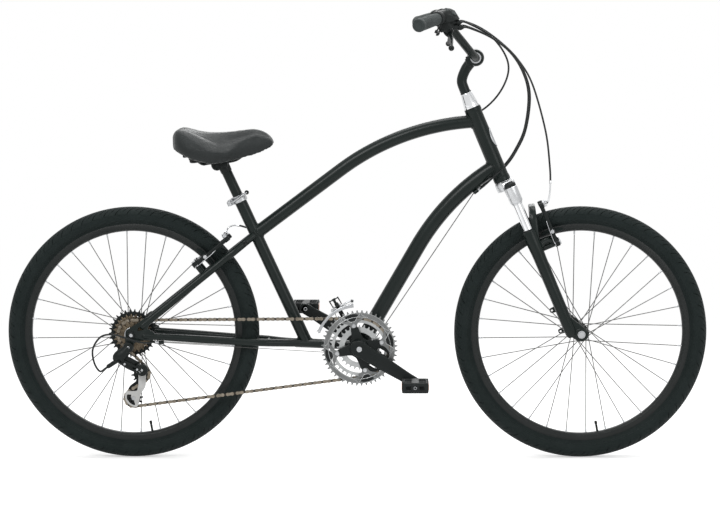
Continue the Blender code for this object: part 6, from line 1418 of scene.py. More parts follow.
def make_rings(phase):
    """Each ring is a toothed band with tabs to its bolts; the large one has a pocket beyond each bolt."""
    names = ("outer", "middle", "inner")
    inner_radii = (0.08, 0.0655, 0.0395)
    bolt_radii = (0.06, 0.06, 0.032)
    for index, teeth in enumerate(RING_TEETH):
        y = ring_y(index)
        turn = phase + 0.04 * (index - 1)
        made = plate(sprocket_outline(teeth, turn), y, 0.002, BRACKET)
        inner = inner_radii[index]
        cutters = [cross_rod(BRACKET, y - 0.01, y + 0.01, inner, 96)]
        tabs = []
        for angle in spider_angles():
            bolt = bolt_radii[index]
            if index == 0:
                outline = [
                    polar(inner + 0.003, angle - 0.42), polar(0.077, angle - 0.36), polar(0.07, angle - 0.24),
                    polar(0.064, angle - 0.155), polar(0.056, angle - 0.13), polar(0.0535, angle),
                    polar(0.056, angle + 0.13), polar(0.064, angle + 0.155), polar(0.07, angle + 0.24),
                    polar(0.077, angle + 0.36), polar(inner + 0.003, angle + 0.42),
                ]
                tab = plate(rounded_outline(outline, 0.004, 3), y, 0.002, BRACKET)
                cutters.append(plate(rounded_outline(pocket_shape(angle), 0.0018, 3), y, 0.02, BRACKET))
                cutters.append(cross_rod(crank_spot(bolt, angle), y - 0.01, y + 0.01, 0.004, 24))
            else:
                wide = 0.16 if index == 1 else 0.26
                outline = [
                    polar(inner + 0.002, angle - wide), polar(bolt + 0.001, angle - 0.0075 / bolt),
                    polar(bolt - 0.007, angle - 0.006 / bolt), polar(bolt - 0.007, angle + 0.006 / bolt),
                    polar(bolt + 0.001, angle + 0.0075 / bolt), polar(inner + 0.002, angle + wide),
                ]
                tab = plate(rounded_outline(outline, 0.003, 3), y, 0.002, BRACKET)
                if index == 2:
                    cutters.append(cross_rod(crank_spot(bolt, angle), y - 0.01, y + 0.01, 0.0035, 20))
            tabs.append(tab)
        band = cut(made, cutters[0])
        made = cut(joined_solid(band, *tabs), *cutters[1:]) if len(cutters) > 1 else joined_solid(band, *tabs)
        made = rounded(made, 0.00028, 1, 40)
        shapes = [made]
        if index == 0:
            edges = []
            for radius in (0.0926, 0.0815):
                edges.append(
                    lathe(
                        BRACKET + Y_AXIS * y, -Y_AXIS,
                        [(radius - 0.0006, 0.0009), (radius, 0.00125), (radius + 0.0006, 0.0009)], 120, True,
                    )
                )
            for angle in spider_angles():
                for turn in (-1, 1):
                    spots = [(0.0915, 0.262), (0.087, 0.236), (0.079, 0.16), (0.0716, 0.098), (0.07, 0.03)]
                    edges.append(
                        tube(
                            smooth_path([crank_spot(r, angle + turn * a, y - 0.001) for r, a in spots], 18),
                            0.0009, 10,
                        )
                    )
                    rim = [(0.0905, 0.3), (0.0868, 0.33), (0.0836, 0.4), (0.0824, 0.52)]
                    edges.append(
                        tube(
                            smooth_path([crank_spot(r, angle + turn * a, y - 0.001) for r, a in rim], 16),
                            0.0007, 10,
                        )
                    )
            dress(joined(*edges), "ring_edges", "crank", "ring_alloy", sharp=50)
            for k in range(8):
                spot = crank_spot(0.0905, math.tau * k / 8 + 0.3)
                shapes.append(cross_rod(spot, y + 0.0009, y + 0.0017, 0.0017, 12))
        dress(
            joined(*shapes), "ring_" + names[index], "crank", "ring_alloy" if index else "ring_face",
            ["chainring_" + names[index]], 30,
        )
    inlays, bolts = [], []
    y = ring_y(0)
    for angle in spider_angles():
        inlays.append(
            plate(rounded_outline(pocket_shape(angle, 0.0004), 0.0018, 3), y + 0.0006, 0.0008, BRACKET)
        )
        head = crank_spot(0.06, angle, y - 0.0008)
        bolts.append(
            lathe(
                head, -Y_AXIS,
                [
                    (0.0057, 0), (0.0057, 0.0008), (0.005, 0.0018), (0.0028, 0.0021), (0.0026, 0.001),
                    (0, 0.001),
                ],
                28,
            )
        )
        nut = crank_spot(0.06, angle, ring_y(1) + 0.0008)
        bolts.append(lathe(nut, Y_AXIS, [(0.0052, 0), (0.0052, 0.0008), (0.0046, 0.0014), (0, 0.0014)], 24))
        low = crank_spot(0.032, angle, ring_y(2) + 0.0008)
        bolts.append(
            lathe(
                low, Y_AXIS,
                [(0.005, 0), (0.005, 0.001), (0.003, 0.003), (0.0022, 0.003), (0.0022, 0.0012), (0, 0.0012)],
                24,
            )
        )
    dress(joined(*inlays), "ring_inlays", "crank", "black_plastic")
    dress(joined(*bolts), "ring_bolts", "crank", "silver_alloy", sharp=30)


# Cranks, pedals and front derailleur

CRANK_BOSS_OUT = 0.082
PEDAL_FACE = 0.092
FD_UP = heading(math.radians(118))
FD_AHEAD = Vector((FD_UP.z, 0, -FD_UP.x))
FD_CLAMP = (0.1205, 125.5, -0.0478)


def crank_direction(side):
    return heading(CRANK_ANGLE + (math.pi if side == FAR else 0))


def crank_arm(side):
    """A forged arm: thick and wide at its root, leaning out towards a round eye."""
    direction = crank_direction(side)
    upright = Vector((-direction.z, 0, direction.x))
    table = (
        (-0.0235, 0.004), (-0.0215, 0.0105), (-0.015, 0.017), (-0.006, 0.0198), (0.01, 0.02), (0.04, 0.0192),
        (0.07, 0.0185), (0.1, 0.0172), (0.13, 0.0155), (0.15, 0.0146), (0.17, 0.0145),
        (0.179, 0.012), (0.184, 0.0078), (0.1862, 0.003),
    )
    rings = []
    deep = 0.0225 if side == NEAR else 0.018
    crown = 0.0008
    for run, half in table:
        face = CRANK_BOSS_OUT - 0.0006 + (PEDAL_FACE + 0.0004 - CRANK_BOSS_OUT) * eased(run, 0.0, 0.165)
        thick = deep + (0.013 - deep) * eased(run, 0.025, 0.085)
        thick *= 0.55 + 0.45 * min(1.0, half / 0.012)
        soft = min(0.0042, half * 0.7, thick * 0.4)
        loop = rounded_outline(oblong(half, thick / 2), soft, 5)
        middle = BRACKET + direction * run + Y_AXIS * side * (face - thick / 2)
        rings.append([
            middle + upright * up + Y_AXIS * side * (out + (crown * (1 - (up / half) ** 2) if out > 0 else 0))
            for up, out in loop
        ])
    return loft(rings)


def spider_plate():
    """The drive side's spider: three open windows, and a web with a slot on each side of the arm."""
    outline = []
    web = (
        (-38, 0.0655), (-31, 0.07), (-23, 0.077), (-12, 0.08), (12, 0.08), (23, 0.079), (31, 0.0715),
        (38, 0.0655),
    )
    window = (
        (-40.5, 0.065), (-33.5, 0.052), (-27, 0.038), (-14, 0.0285), (0, 0.0262), (14, 0.0285), (27, 0.038),
        (33.5, 0.052), (40.5, 0.065),
    )
    for quarter, shape in enumerate((web, window, window, window)):
        middle = CRANK_ANGLE + math.tau / 4 * quarter
        outline += [polar(radius, middle + math.radians(angle)) for angle, radius in shape]
    made = prism(rounded_outline(outline, 0.006, 3), -0.0538, -0.0488, BRACKET.copy())
    direction = crank_direction(NEAR)
    upright = Vector((-direction.z, 0, direction.x))
    cutters = []
    for turn, far, length, width in ((-22, 0.059, 0.024, 0.007), (21, 0.0615, 0.03, 0.009)):
        spot = crank_spot(far, CRANK_ANGLE + math.radians(turn))
        box = rounded_outline(oblong(length / 2, width / 2), width * 0.45, 4)
        cutters.append(prism(box, -0.07, -0.03, Vector((spot.x, 0, spot.z)), direction, upright))
    return rounded(cut(made, *cutters), 0.0009, 2, 40)


def make_crank(side, word):
    direction = crank_direction(side)
    end = BRACKET + direction * CRANK_LENGTH
    inner = 0.0485 if side == NEAR else 0.06
    wide = 0.0275 if side == NEAR else 0.0205
    hub = [
        (0.007, inner), (wide - 0.001, inner), (wide, inner + 0.001), (wide, inner + 0.0035),
        (0.0218, inner + 0.0095), (0.0205, CRANK_BOSS_OUT - 0.003), (0.019, CRANK_BOSS_OUT - 0.0008),
        (0.0165, CRANK_BOSS_OUT), (0.0088, CRANK_BOSS_OUT), (0.008, CRANK_BOSS_OUT - 0.001),
        (0.007, CRANK_BOSS_OUT - 0.001),
    ]
    shapes = [crank_arm(side), lathe(BRACKET, Y_AXIS * side, hub, 56, True)]
    if side == NEAR:
        shapes.append(spider_plate())
        for angle in spider_angles():
            spot = crank_spot(0.032, angle)
            shapes.append(cross_rod(spot, -0.05, ring_y(2) - 0.0012, 0.0052, 20))
    eye = [
        (0.0056, -0.0132), (0.0118, -0.0132), (0.0128, -0.0122), (0.0128, 0.0002), (0.0118, 0.001),
        (0.0056, 0.001),
    ]
    shapes.append(lathe(end, Y_AXIS * side, shifted(eye, PEDAL_FACE), 40, True))
    dress(joined(*shapes), "crank_arm_" + word, "crank", "black_parts", ["crank_" + word], 40)
    axle = [
        (0, -0.011), (0.0024, -0.011), (0.003, -0.0136), (0.0046, -0.0136), (0.0054, -0.0128),
        (0.0054, 0.0012), (0.0072, 0.0013), (0.0072, 0.0034), (0.006, 0.004), (0.0052, 0.013),
        (0.0046, 0.094), (0.003, 0.0945), (0.0022, 0.093), (0, 0.093),
    ]
    made = lathe(end, Y_AXIS * side, shifted(axle, PEDAL_FACE), 28)
    dress(made, "pedal_axle_" + word, "crank", "silver_alloy")


def make_spindle():
    bolt = [
        (0, -0.004), (0.0073, -0.004), (0.0074, 0.001), (0.0068, 0.0026), (0.004, 0.0033), (0.0038, 0.0006),
        (0, 0.0006),
    ]
    shapes = [lathe(BRACKET, Y_AXIS * side, shifted(bolt, CRANK_BOSS_OUT), 36) for side in (NEAR, FAR)]
    shapes.append(cross_rod(BRACKET, -0.0785, 0.0785, 0.0084, 28))
    dress(joined(*shapes), "crank_bolts", "crank", "silver_alloy", ["crank_spindle"], 28)


def make_pedal(side, word):
    """A moulded platform: walls with windows, a barrel, small teeth and an amber reflector at each end."""
    end = BRACKET + crank_direction(side) * CRANK_LENGTH
    inner, wide = PEDAL_FACE + 0.0042, 0.09
    name = "pedal_" + word
    half, high = 0.0345, 0.0135
    start, stop = side * inner, side * (inner + wide)
    body = prism(
        rounded_outline(oblong(half, high), 0.0062, 5), *sorted((start, stop)), Vector((end.x, 0, end.z)),
    )
    cutters = []
    for fore in (-1, 1):
        for low, far in ((0.005, 0.026), (0.03, 0.06), (0.064, 0.085)):
            y = side * (inner + (low + far) / 2)
            spot = Vector((end.x + fore * 0.0185, y, end.z))
            box = rounded_outline(oblong(0.0092, (far - low) / 2), 0.003, 3)
            cutters.append(prism(box, -0.03, 0.03, spot, X_AXIS, Y_AXIS))
        spot = Vector((end.x + fore * 0.017, 0, end.z - 0.0005))
        for y in (start, stop):
            cutters.append(
                prism(rounded_outline(oblong(0.007, 0.0056), 0.0025, 3), y - 0.0065, y + 0.0065, spot)
            )
        spot = Vector((end.x + fore * (half + 0.0002), 0, end.z))
        cutters.append(
            prism(oblong(0.0018, 0.0085), *sorted((side * (inner + 0.02), side * (inner + 0.07))), spot)
        )
    body = rounded(cut(body, *cutters), 0.0008, 2, 40)
    barrel = shifted([(0.0056, -0.0026), (0.0088, -0.0026), (0.0104, 0), (0.0112, 0.004)], inner)
    barrel += shifted(
        [(0.0112, -0.004), (0.0104, 0.0006), (0.0088, 0.0016), (0.0066, 0.0012), (0.0056, 0)], inner + wide,
    )
    shapes = [body, lathe(end, Y_AXIS * side, barrel, 40, True)]
    for fore in (-1, 1):
        for top in (-1, 1):
            for k in range(9):
                y = side * (inner + 0.01 + 0.0088 * k)
                spot = Vector((end.x + fore * 0.0315, y, end.z + top * (high + 0.0001)))
                shapes.append(turned_block(spot, (0.0046, 0.0034, 0.0016), X_AXIS, Y_AXIS, Z_AXIS, 0.0004))
    dress(joined(*shapes), name + "_platform", name, "black_plastic", [name], 35)
    lenses = []
    for fore in (-1, 1):
        spot = Vector((end.x + fore * (half - 0.0004), side * (inner + 0.045), end.z))
        lenses.append(turned_block(spot, (0.0026, 0.049, 0.016), X_AXIS, Y_AXIS, Z_AXIS, 0.0007))
    dress(joined(*lenses), name + "_reflectors", name, "reflector_amber")


def make_bracket():
    """Cups with tool notches at both ends of the shell, and the derailleur's slim mount."""
    shapes = []
    for side in (NEAR, FAR):
        cup = [
            (0.0092, 0.033), (0.0205, 0.033), (0.0214, 0.0344), (0.0214, 0.0368), (0.0205, 0.0376),
            (0.013, 0.0378), (0.012, 0.0368), (0.0092, 0.0368),
        ]
        made = lathe(BRACKET, Y_AXIS * side, cup, 48, True)
        notches = []
        for way in map(heading, turns(8)):
            spot = BRACKET + way * 0.0212 + Y_AXIS * side * 0.0372
            notches.append(turned_block(spot, (0.0026, 0.003, 0.004), way, Y_AXIS, way.cross(Y_AXIS)))
        shapes.append(cut(made, *notches))
    up, ahead = FD_UP, FD_AHEAD
    strap = [
        (-0.02, 0.0), (0.02, 0.0), (0.015, 0.033), (0.006, 0.052), (0.0055, 0.133), (-0.0055, 0.133),
        (-0.006, 0.052), (-0.015, 0.033),
    ]
    band = prism(rounded_outline(strap, 0.006, 4), -0.0348, -0.0326, BRACKET.copy(), ahead, up)
    shapes.append(rounded(cut(band, cross_rod(BRACKET, -0.05, -0.02, 0.015, 32)), 0.0005, 1))
    for fore in (-1, 1):
        ear = [
            (-0.048, -0.005), (-0.048, 0.004), (-0.034, 0.003), (-0.0335, -0.02), (-0.0355, -0.02),
            (-0.042, -0.007),
        ]
        at = BRACKET + up * 0.1415 + ahead * fore * 0.0122
        shapes.append(
            rounded(prism(rounded_outline(ear, 0.003, 3), -0.0012, 0.0012, at, Y_AXIS, up), 0.0004, 1)
        )
    dress(
        joined(*shapes), "bracket_cups_and_mount", "frame", "black_parts", ["bottom_bracket"],
        35,
    )


def fd_spot(radius, angle, y):
    return crank_spot(radius, math.radians(angle), y)


def make_front_derailleur():
    """A bowed two-plate cage under a short linkage with eyes and a cable clamp."""
    up, ahead = FD_UP, FD_AHEAD
    base, joint = fd_spot(0.143, 118, -0.0465), fd_spot(0.123, 118, -0.0465)
    middle = (base + joint) / 2
    link = prism(rounded_outline(oblong(0.0034, 0.0105), 0.004, 4), -0.0021, 0.0021, middle, ahead, up)
    shapes = [rounded(link, 0.0006, 2)]
    for spot, reach in ((base, 0.0132), (joint, 0.0098)):
        shapes.append(rod(spot - ahead * 0.0046, spot + ahead * 0.0046, 0.003, 20, 0.0005))
        shapes.append(rod(spot - ahead * reach, spot + ahead * reach, 0.0016, 14, 0.0004))
    dress(
        joined(*shapes), "derailleur_front_link", "front_derailleur_link", "black_parts",
        ["front_derailleur_link"],
    )
    angles = [98 + 62 * k / 22 for k in range(23)]
    shapes = []
    for y, trim in ((-0.0425, 0.0), (-0.0542, 0.0012)):
        outer, inner = [], []
        for angle in angles:
            t = (angle - 98) / 62
            outer.append(polar(0.1172 - 0.0014 * t, math.radians(angle)))
            inner.append(
                polar(0.1062 + 0.0034 * t + 0.0012 * math.sin(t * math.pi) + trim, math.radians(angle))
            )
        band = prism(rounded_outline(outer + inner[::-1], 0.0022, 3), y - 0.0007, y + 0.0007, BRACKET.copy())
        shapes.append(rounded(band, 0.0003, 1, 50))
        rib = [fd_spot(0.1163, angle, y - math.copysign(0.0006, -y)) for angle in angles[1:-1]]
        shapes.append(tube(rib, 0.0011, 8))
    for angle in (104, 121, 157):
        spot = fd_spot(0.1164, angle, -0.04835)
        shapes.append(turned_block(spot, (0.01, 0.0122, 0.0016), ahead, Y_AXIS, up, 0.0004))
    shapes.append(cross_rod(fd_spot(0.1132, 156.5, 0), -0.056, -0.041, 0.0022, 18, 0.0005))
    for fore in (-1, 1):
        ear = [(-0.004, -0.0095), (0.004, -0.0095), (0.004, 0.0045), (-0.004, 0.0045)]
        at = joint + ahead * fore * 0.0088
        shapes.append(
            rounded(prism(rounded_outline(ear, 0.003, 4), -0.0012, 0.0012, at, Y_AXIS, up), 0.0003, 1)
        )
    shapes.append(
        tube(
            [
                fd_spot(0.1165, 116, -0.047), fd_spot(0.1212, 110, -0.048), fd_spot(0.124, 104, -0.048),
                fd_spot(0.1245, 99.5, -0.0475),
            ],
            0.0022, 12,
        )
    )
    for radius, angle in ((0.1245, 98.8), FD_CLAMP[:2]):
        eye = fd_spot(radius, angle, 0)
        ring = [
            (0.0022, 0.044), (0.004, 0.044), (0.0044, 0.0446), (0.0044, 0.0514), (0.004, 0.052),
            (0.0022, 0.052),
        ]
        shapes.append(lathe(eye, -Y_AXIS, ring, 28, True))
    shapes.append(
        tube([fd_spot(0.1172, 121, -0.0475), fd_spot(0.1198, 123.5, -0.0478), fd_spot(*FD_CLAMP)], 0.0019, 12)
    )
    dress(
        joined(*shapes), "derailleur_front_cage", "front_derailleur_cage", "silver_alloy",
        ["front_derailleur_cage"], 30,
    )
    bolt = bolt_head(fd_spot(0.1245, 98.8, -0.0518), -Y_AXIS, 0.003, 0.0024)
    dress(bolt, "derailleur_front_clamp_bolt", "front_derailleur_cage", "black_parts")


# Rear derailleur

RD_LINK_TOP = REAR_AXLE + Vector((-0.031, -0.083, -0.061))
RD_LINK_BOTTOM = REAR_AXLE + Vector((0.015, -0.07, -0.086))
RD_BARREL_END = REAR_AXLE + Vector((-0.063, -0.083, -0.083))


def rd_link_frame():
    """The link's pivot direction, its run and its outward side."""
    along = (RD_LINK_BOTTOM - RD_LINK_TOP).normalized()
    flat = Vector((along.x, 0, along.z)).normalized()
    axis = Vector((-flat.z, 0, flat.x))
    axis = (axis - along * axis.dot(along)).normalized()
    return axis, along, along.cross(axis)


def make_rear_derailleur():
    """The fixed knuckle with its hanger bolt and cable adjuster, then the link, the body and the cage."""
    axis, along, out = rd_link_frame()
    bolt = HANGER_BOLT
    barrel = [
        (0.0045, 0.0718), (0.0128, 0.0718), (0.0136, 0.0728), (0.0136, 0.085), (0.0124, 0.0872),
        (0.01, 0.088), (0.0045, 0.088),
    ]
    shapes = [lathe(bolt, -Y_AXIS, barrel, 44, True)]
    route = [
        bolt - Y_AXIS * 0.0795, bolt + Vector((-0.012, -0.0815, -0.014)),
        RD_LINK_TOP + Vector((-0.0035, 0.001, 0.002)), RD_LINK_TOP + Vector((-0.004, 0, -0.005)),
    ]
    radii = [
        0.011, 0.0115, 0.0122, 0.013, 0.0138, 0.0146, 0.0152, 0.0158, 0.0162, 0.0163, 0.016, 0.015, 0.0128,
        0.0084,
    ]
    shapes.append(tube(smooth_path(route, len(radii)), radii, 24))
    for end in (-1, 1):
        shapes.append(
            rod(RD_LINK_TOP + axis * end * 0.0046, RD_LINK_TOP + axis * end * 0.0098, 0.008, 28, 0.001)
        )
    root = RD_LINK_TOP + Vector((-0.003, 0, -0.003))
    run = (RD_BARREL_END - root).normalized()
    shapes.append(rod(root, RD_BARREL_END - run * 0.014, 0.0058, 24, 0.0008))
    dress(
        joined(*shapes), "derailleur_knuckle", "rear_derailleur_knuckle", "black_parts",
        ["rear_derailleur_knuckle"],
    )
    grips = lathe(
        RD_BARREL_END - run * 0.014, run,
        [
            (0.0031, 0), (0.0054, 0), (0.0056, 0.0006), (0.0056, 0.01), (0.0048, 0.0118), (0.004, 0.014),
            (0.0031, 0.014),
        ],
        20, True,
    )
    cutters = []
    for way in ways_round(run, 10):
        cutters.append(
            turned_block(
                RD_BARREL_END - run * 0.0085 + way * 0.0058, (0.011, 0.0014, 0.0016), run, way,
                run.cross(way),
            )
        )
    dress(
        cut(grips, *cutters), "derailleur_adjuster", "rear_derailleur_knuckle", "black_plastic",
        sharp=30,
    )
    socket = [
        (0, 0.087), (0.0086, 0.087), (0.0088, 0.0886), (0.0078, 0.0896), (0.0034, 0.0898), (0.0032, 0.0878),
        (0, 0.0878),
    ]
    dress(
        lathe(bolt, -Y_AXIS, socket, 32), "derailleur_hanger_bolt", "rear_derailleur_knuckle", "black_parts",
        sharp=28,
    )
    core = lathe(
        bolt, -Y_AXIS,
        [(0, 0.0884), (0.0036, 0.0884), (0.0036, 0.09), (0.0026, 0.0906), (0.0018, 0.0896), (0, 0.0896)], 24,
    )
    dress(
        core, "derailleur_hanger_bolt_core", "rear_derailleur_knuckle", "silver_alloy",
        sharp=28,
    )
    make_rd_link(axis, along, out)
    make_rd_body(axis, along, out)
    make_rd_cage()


def make_rd_link(axis, along, out):
    """A broad outer plate on a bar between the two joints, with silver screws."""
    length = (RD_LINK_BOTTOM - RD_LINK_TOP).length
    middle = (RD_LINK_TOP + RD_LINK_BOTTOM) / 2
    half = length / 2
    shapes = []
    plate_shape = [
        (-half - 0.0075, -0.0075), (-half, -0.0115), (half * 0.2, -0.016), (half, -0.015),
        (half + 0.0075, -0.0075), (half + 0.0075, 0.0075), (half, 0.0145), (-half * 0.2, 0.0156),
        (-half, 0.0135), (-half - 0.0075, 0.0075),
    ]
    outer = prism(rounded_outline(plate_shape, 0.006, 4), 0.0046, 0.0084, middle, along, axis)
    shapes.append(rounded(outer, 0.0016, 3, 40))
    shapes.append(
        turned_block(middle - out * 0.0005, (length + 0.007, 0.0062, 0.008), along, axis, out, 0.0012)
    )
    for spot in (RD_LINK_TOP, RD_LINK_BOTTOM):
        shapes.append(rod(spot - axis * 0.0042, spot + axis * 0.0042, 0.0052, 22, 0.0006))
    dress(
        joined(*shapes), "derailleur_parallelogram", "rear_derailleur_link", "black_parts",
        ["rear_derailleur_link"],
    )
    screws = []
    face = along.cross(axis)
    face = face if face.y < 0 else -face
    for shift, rise in ((-half, 0.0035), (half, -0.0035), (-half * 0.35, -0.005)):
        spot = middle + along * shift + axis * rise + face * 0.0078
        screws.append(
            lathe(
                spot, face,
                [
                    (0.003, 0), (0.003, 0.0008), (0.0024, 0.0014), (0.001, 0.0014), (0.0008, 0.0006),
                    (0, 0.0006),
                ],
                20,
            )
        )
    for spot in (RD_LINK_TOP, RD_LINK_BOTTOM):
        screws.append(rod(spot - axis * 0.0104, spot + axis * 0.0104, 0.0019, 14, 0.0003))
    dress(
        joined(*screws), "derailleur_screws", "rear_derailleur_link", "silver_alloy", sharp=30,
    )


def make_rd_body(axis, along, out):
    """The round housing on the cage's pivot, its joint with the link, its cap and the cable's clamp."""
    drum = [
        (0, 0.054), (0.013, 0.054), (0.0146, 0.0552), (0.015, 0.064), (0.0158, 0.066), (0.0162, 0.07),
        (0.0156, 0.0738), (0.0128, 0.0752), (0.0096, 0.0754), (0.009, 0.0746), (0, 0.0746),
    ]
    shapes = [lathe(CAGE_PIVOT, -Y_AXIS, drum, 44)]
    joint = RD_LINK_BOTTOM
    shapes.append(turned_block(joint + along * 0.0065, (0.012, 0.0186, 0.013), along, axis, out, 0.0022))
    for end in (-1, 1):
        shapes.append(rod(joint + axis * end * 0.0046, joint + axis * end * 0.0098, 0.0078, 28, 0.001))
    dress(
        joined(*shapes), "derailleur_body", "rear_derailleur_body", "black_parts",
        ["rear_derailleur_body"],
    )
    cap = [
        (0, 0.0742), (0.0068, 0.0742), (0.0068, 0.0752), (0.0058, 0.076), (0.003, 0.0762), (0.0028, 0.075),
        (0, 0.075),
    ]
    dress(
        lathe(CAGE_PIVOT, -Y_AXIS, cap, 32), "derailleur_cap", "rear_derailleur_body", "black_parts",
        sharp=28,
    )
    clamp = joint + along * 0.01 - axis * 0.0085
    core = [(0, 0.075), (0.003, 0.075), (0.003, 0.0766), (0.0022, 0.0772), (0, 0.0772)]
    shapes = [
        lathe(CAGE_PIVOT, -Y_AXIS, core, 24), bolt_head(clamp - Y_AXIS * 0.004, -Y_AXIS, 0.0036, 0.0032),
    ]
    dress(
        joined(*shapes), "derailleur_clamp", "rear_derailleur_body", "silver_alloy", sharp=28,
    )


def make_rd_cage():
    """A white outer plate, narrow above and round below with a window, a black inner one, and the bolts."""
    run = (TENSION_PULLEY - GUIDE_PULLEY).normalized()
    side = Vector((-run.z, 0, run.x))
    at = GUIDE_PULLEY
    outer = [
        (-0.016, 0.006), (-0.008, 0.012), (0.006, 0.016), (0.024, 0.021), (0.033, 0.0205), (0.045, 0.0165),
        (0.058, 0.0155), (0.072, 0.0175), (0.082, 0.018), (0.088, 0.0135), (0.0885, 0.005), (0.086, -0.008),
        (0.0795, -0.017), (0.07, -0.0225), (0.058, -0.0245), (0.053, -0.0205), (0.0495, -0.008),
        (0.045, 0.004), (0.031, 0.0025), (0.014, -0.002), (0.0, -0.007), (-0.01, -0.007), (-0.016, -0.002),
    ]
    shape = prism(rounded_outline(outer, 0.004, 4), -0.0536, -0.052, at, run, side)
    window = [
        (0.0625, -0.019), (0.059, -0.008), (0.066, -0.007), (0.0705, 0.0015), (0.076, 0.006), (0.0825, 0.01),
        (0.0842, 0.005), (0.0812, -0.006), (0.0735, -0.016),
    ]
    shape = cut(shape, prism(rounded_outline(window, 0.002, 3), -0.06, -0.05, at, run, side))
    dress(
        rounded(shape, 0.0004, 1, 40), "derailleur_cage_outer", "rear_derailleur_cage", "cage_white",
        ["rear_derailleur_cage"], 35,
    )
    inner = [
        (-0.012, -0.006), (-0.012, 0.006), (0.004, 0.0095), (0.02, 0.007), (0.045, 0.008), (0.062, 0.015),
        (0.076, 0.015), (0.083, 0.006), (0.08, -0.008), (0.07, -0.018), (0.054, -0.0215), (0.04, -0.019),
        (0.03, -0.012), (0.024, -0.007), (0.004, -0.0095),
    ]
    shapes = [rounded(prism(rounded_outline(inner, 0.004, 4), -0.043, -0.0416, at, run, side), 0.0003, 1)]
    shapes.append(cross_rod(CAGE_PIVOT, -0.062, -0.052, 0.0075, 28, 0.0006))
    dress(joined(*shapes), "derailleur_cage_inner", "rear_derailleur_cage", "black_parts")
    bolts = []
    for centre in (GUIDE_PULLEY, TENSION_PULLEY):
        bolts.append(cross_rod(centre, -0.0545, -0.0405, 0.0027, 18, 0.0003))
        head = [
            (0, 0.0534), (0.0046, 0.0534), (0.0048, 0.0546), (0.004, 0.0554), (0.0022, 0.0556),
            (0.002, 0.0544), (0, 0.0544),
        ]
        bolts.append(lathe(centre, -Y_AXIS, head, 24))
    dress(
        joined(*bolts), "derailleur_pulley_bolts", "rear_derailleur_cage", "silver_alloy",
        sharp=28,
    )


def make_pulley(name, wheel):
    """A moulded pulley: eleven rounded teeth, six round holes and a bush."""
    centre = Vector((wheel.centre.x, 0, wheel.centre.y))
    shape = plate(sprocket_outline(wheel.teeth, wheel.phase, 0.003, 0.0014), -CHAINLINE, 0.0042, centre)
    cutters = []
    for angle in turns(6):
        spot = round_spot(centre, 0.0108, wheel.phase + angle)
        cutters.append(cross_rod(spot, -CHAINLINE - 0.006, -CHAINLINE + 0.006, 0.0022, 14))
    shape = rounded(cut(shape, *cutters), 0.0004, 1, 40)
    hub = [
        (0.0028, -0.0036), (0.007, -0.0036), (0.0074, -0.003), (0.0074, 0.003), (0.007, 0.0036),
        (0.0028, 0.0036),
    ]
    bush = lathe(centre - Y_AXIS * CHAINLINE, Y_AXIS, hub, 30, True)
    dress(
        joined(shape, bush), name.replace("_pulley", "_wheel"), name, "black_plastic", [name],
        35,
    )


# Saddle and seatpost

POST_TOP = SEAT_TOP + SEAT_UP * 0.092
POST_RADIUS = 0.0135
SADDLE_CLAMP = POST_TOP + Vector((-0.00814, 0, 0.00178))
SADDLE_STATIONS = (
    (-0.122, 0.056, 0.082, 0.0435), (-0.113, 0.082, 0.0945, 0.038), (-0.089, 0.1, 0.095, 0.03),
    (-0.054, 0.107, 0.0895, 0.0205), (-0.016, 0.1, 0.0855, 0.0125), (0.021, 0.074, 0.0865, 0.0155),
    (0.058, 0.05, 0.0905, 0.0245), (0.092, 0.038, 0.094, 0.034), (0.118, 0.032, 0.0885, 0.043),
    (0.134, 0.025, 0.0765, 0.049), (0.1425, 0.015, 0.0625, 0.0535),
)
SADDLE_RECESS = 0.0095
CHEEK_FALL = (
    (-0.122, 0.06), (-0.1, 0.05), (-0.08, 0.08), (-0.054, 0.17), (-0.016, 0.33), (0.021, 0.4), (0.058, 0.34),
    (0.094, 0.26), (0.139, 0.22),
)
RAIL_RUN = Vector((0.995, 0, 0.0999)).normalized()
PUFF_FRAMES, PUFF_REACH = 20, 0.0022
CUSHION_GRAIN = 0.0042


def curve_value(points, at):
    """A smooth value between tabled ones, as (where, value) pairs."""
    k = max(0, min(len(points) - 2, sum(1 for where, _ in points if where <= at) - 1))
    a, b = points[k], points[k + 1]
    before, after = points[max(0, k - 1)], points[min(len(points) - 1, k + 2)]
    t = (at - a[0]) / (b[0] - a[0])
    span = b[0] - a[0]
    rise_a = (b[1] - before[1]) / (b[0] - before[0]) * span if before != a else (b[1] - a[1])
    rise_b = (after[1] - a[1]) / (after[0] - a[0]) * span if after != b else (b[1] - a[1])
    return (
        a[1] * (2 * t**3 - 3 * t**2 + 1) + rise_a * (t**3 - 2 * t**2 + t)
        + b[1] * (3 * t**2 - 2 * t**3) + rise_b * (t**3 - t**2)
    )


def saddle_at(ahead):
    """Half width, top and lower edge of the saddle this far ahead of its clamp."""
    wide, top, low = (curve_value([(s[0], s[k]) for s in SADDLE_STATIONS], ahead) for k in (1, 2, 3))
    return wide, SADDLE_CLAMP.z + top, SADDLE_CLAMP.z + low


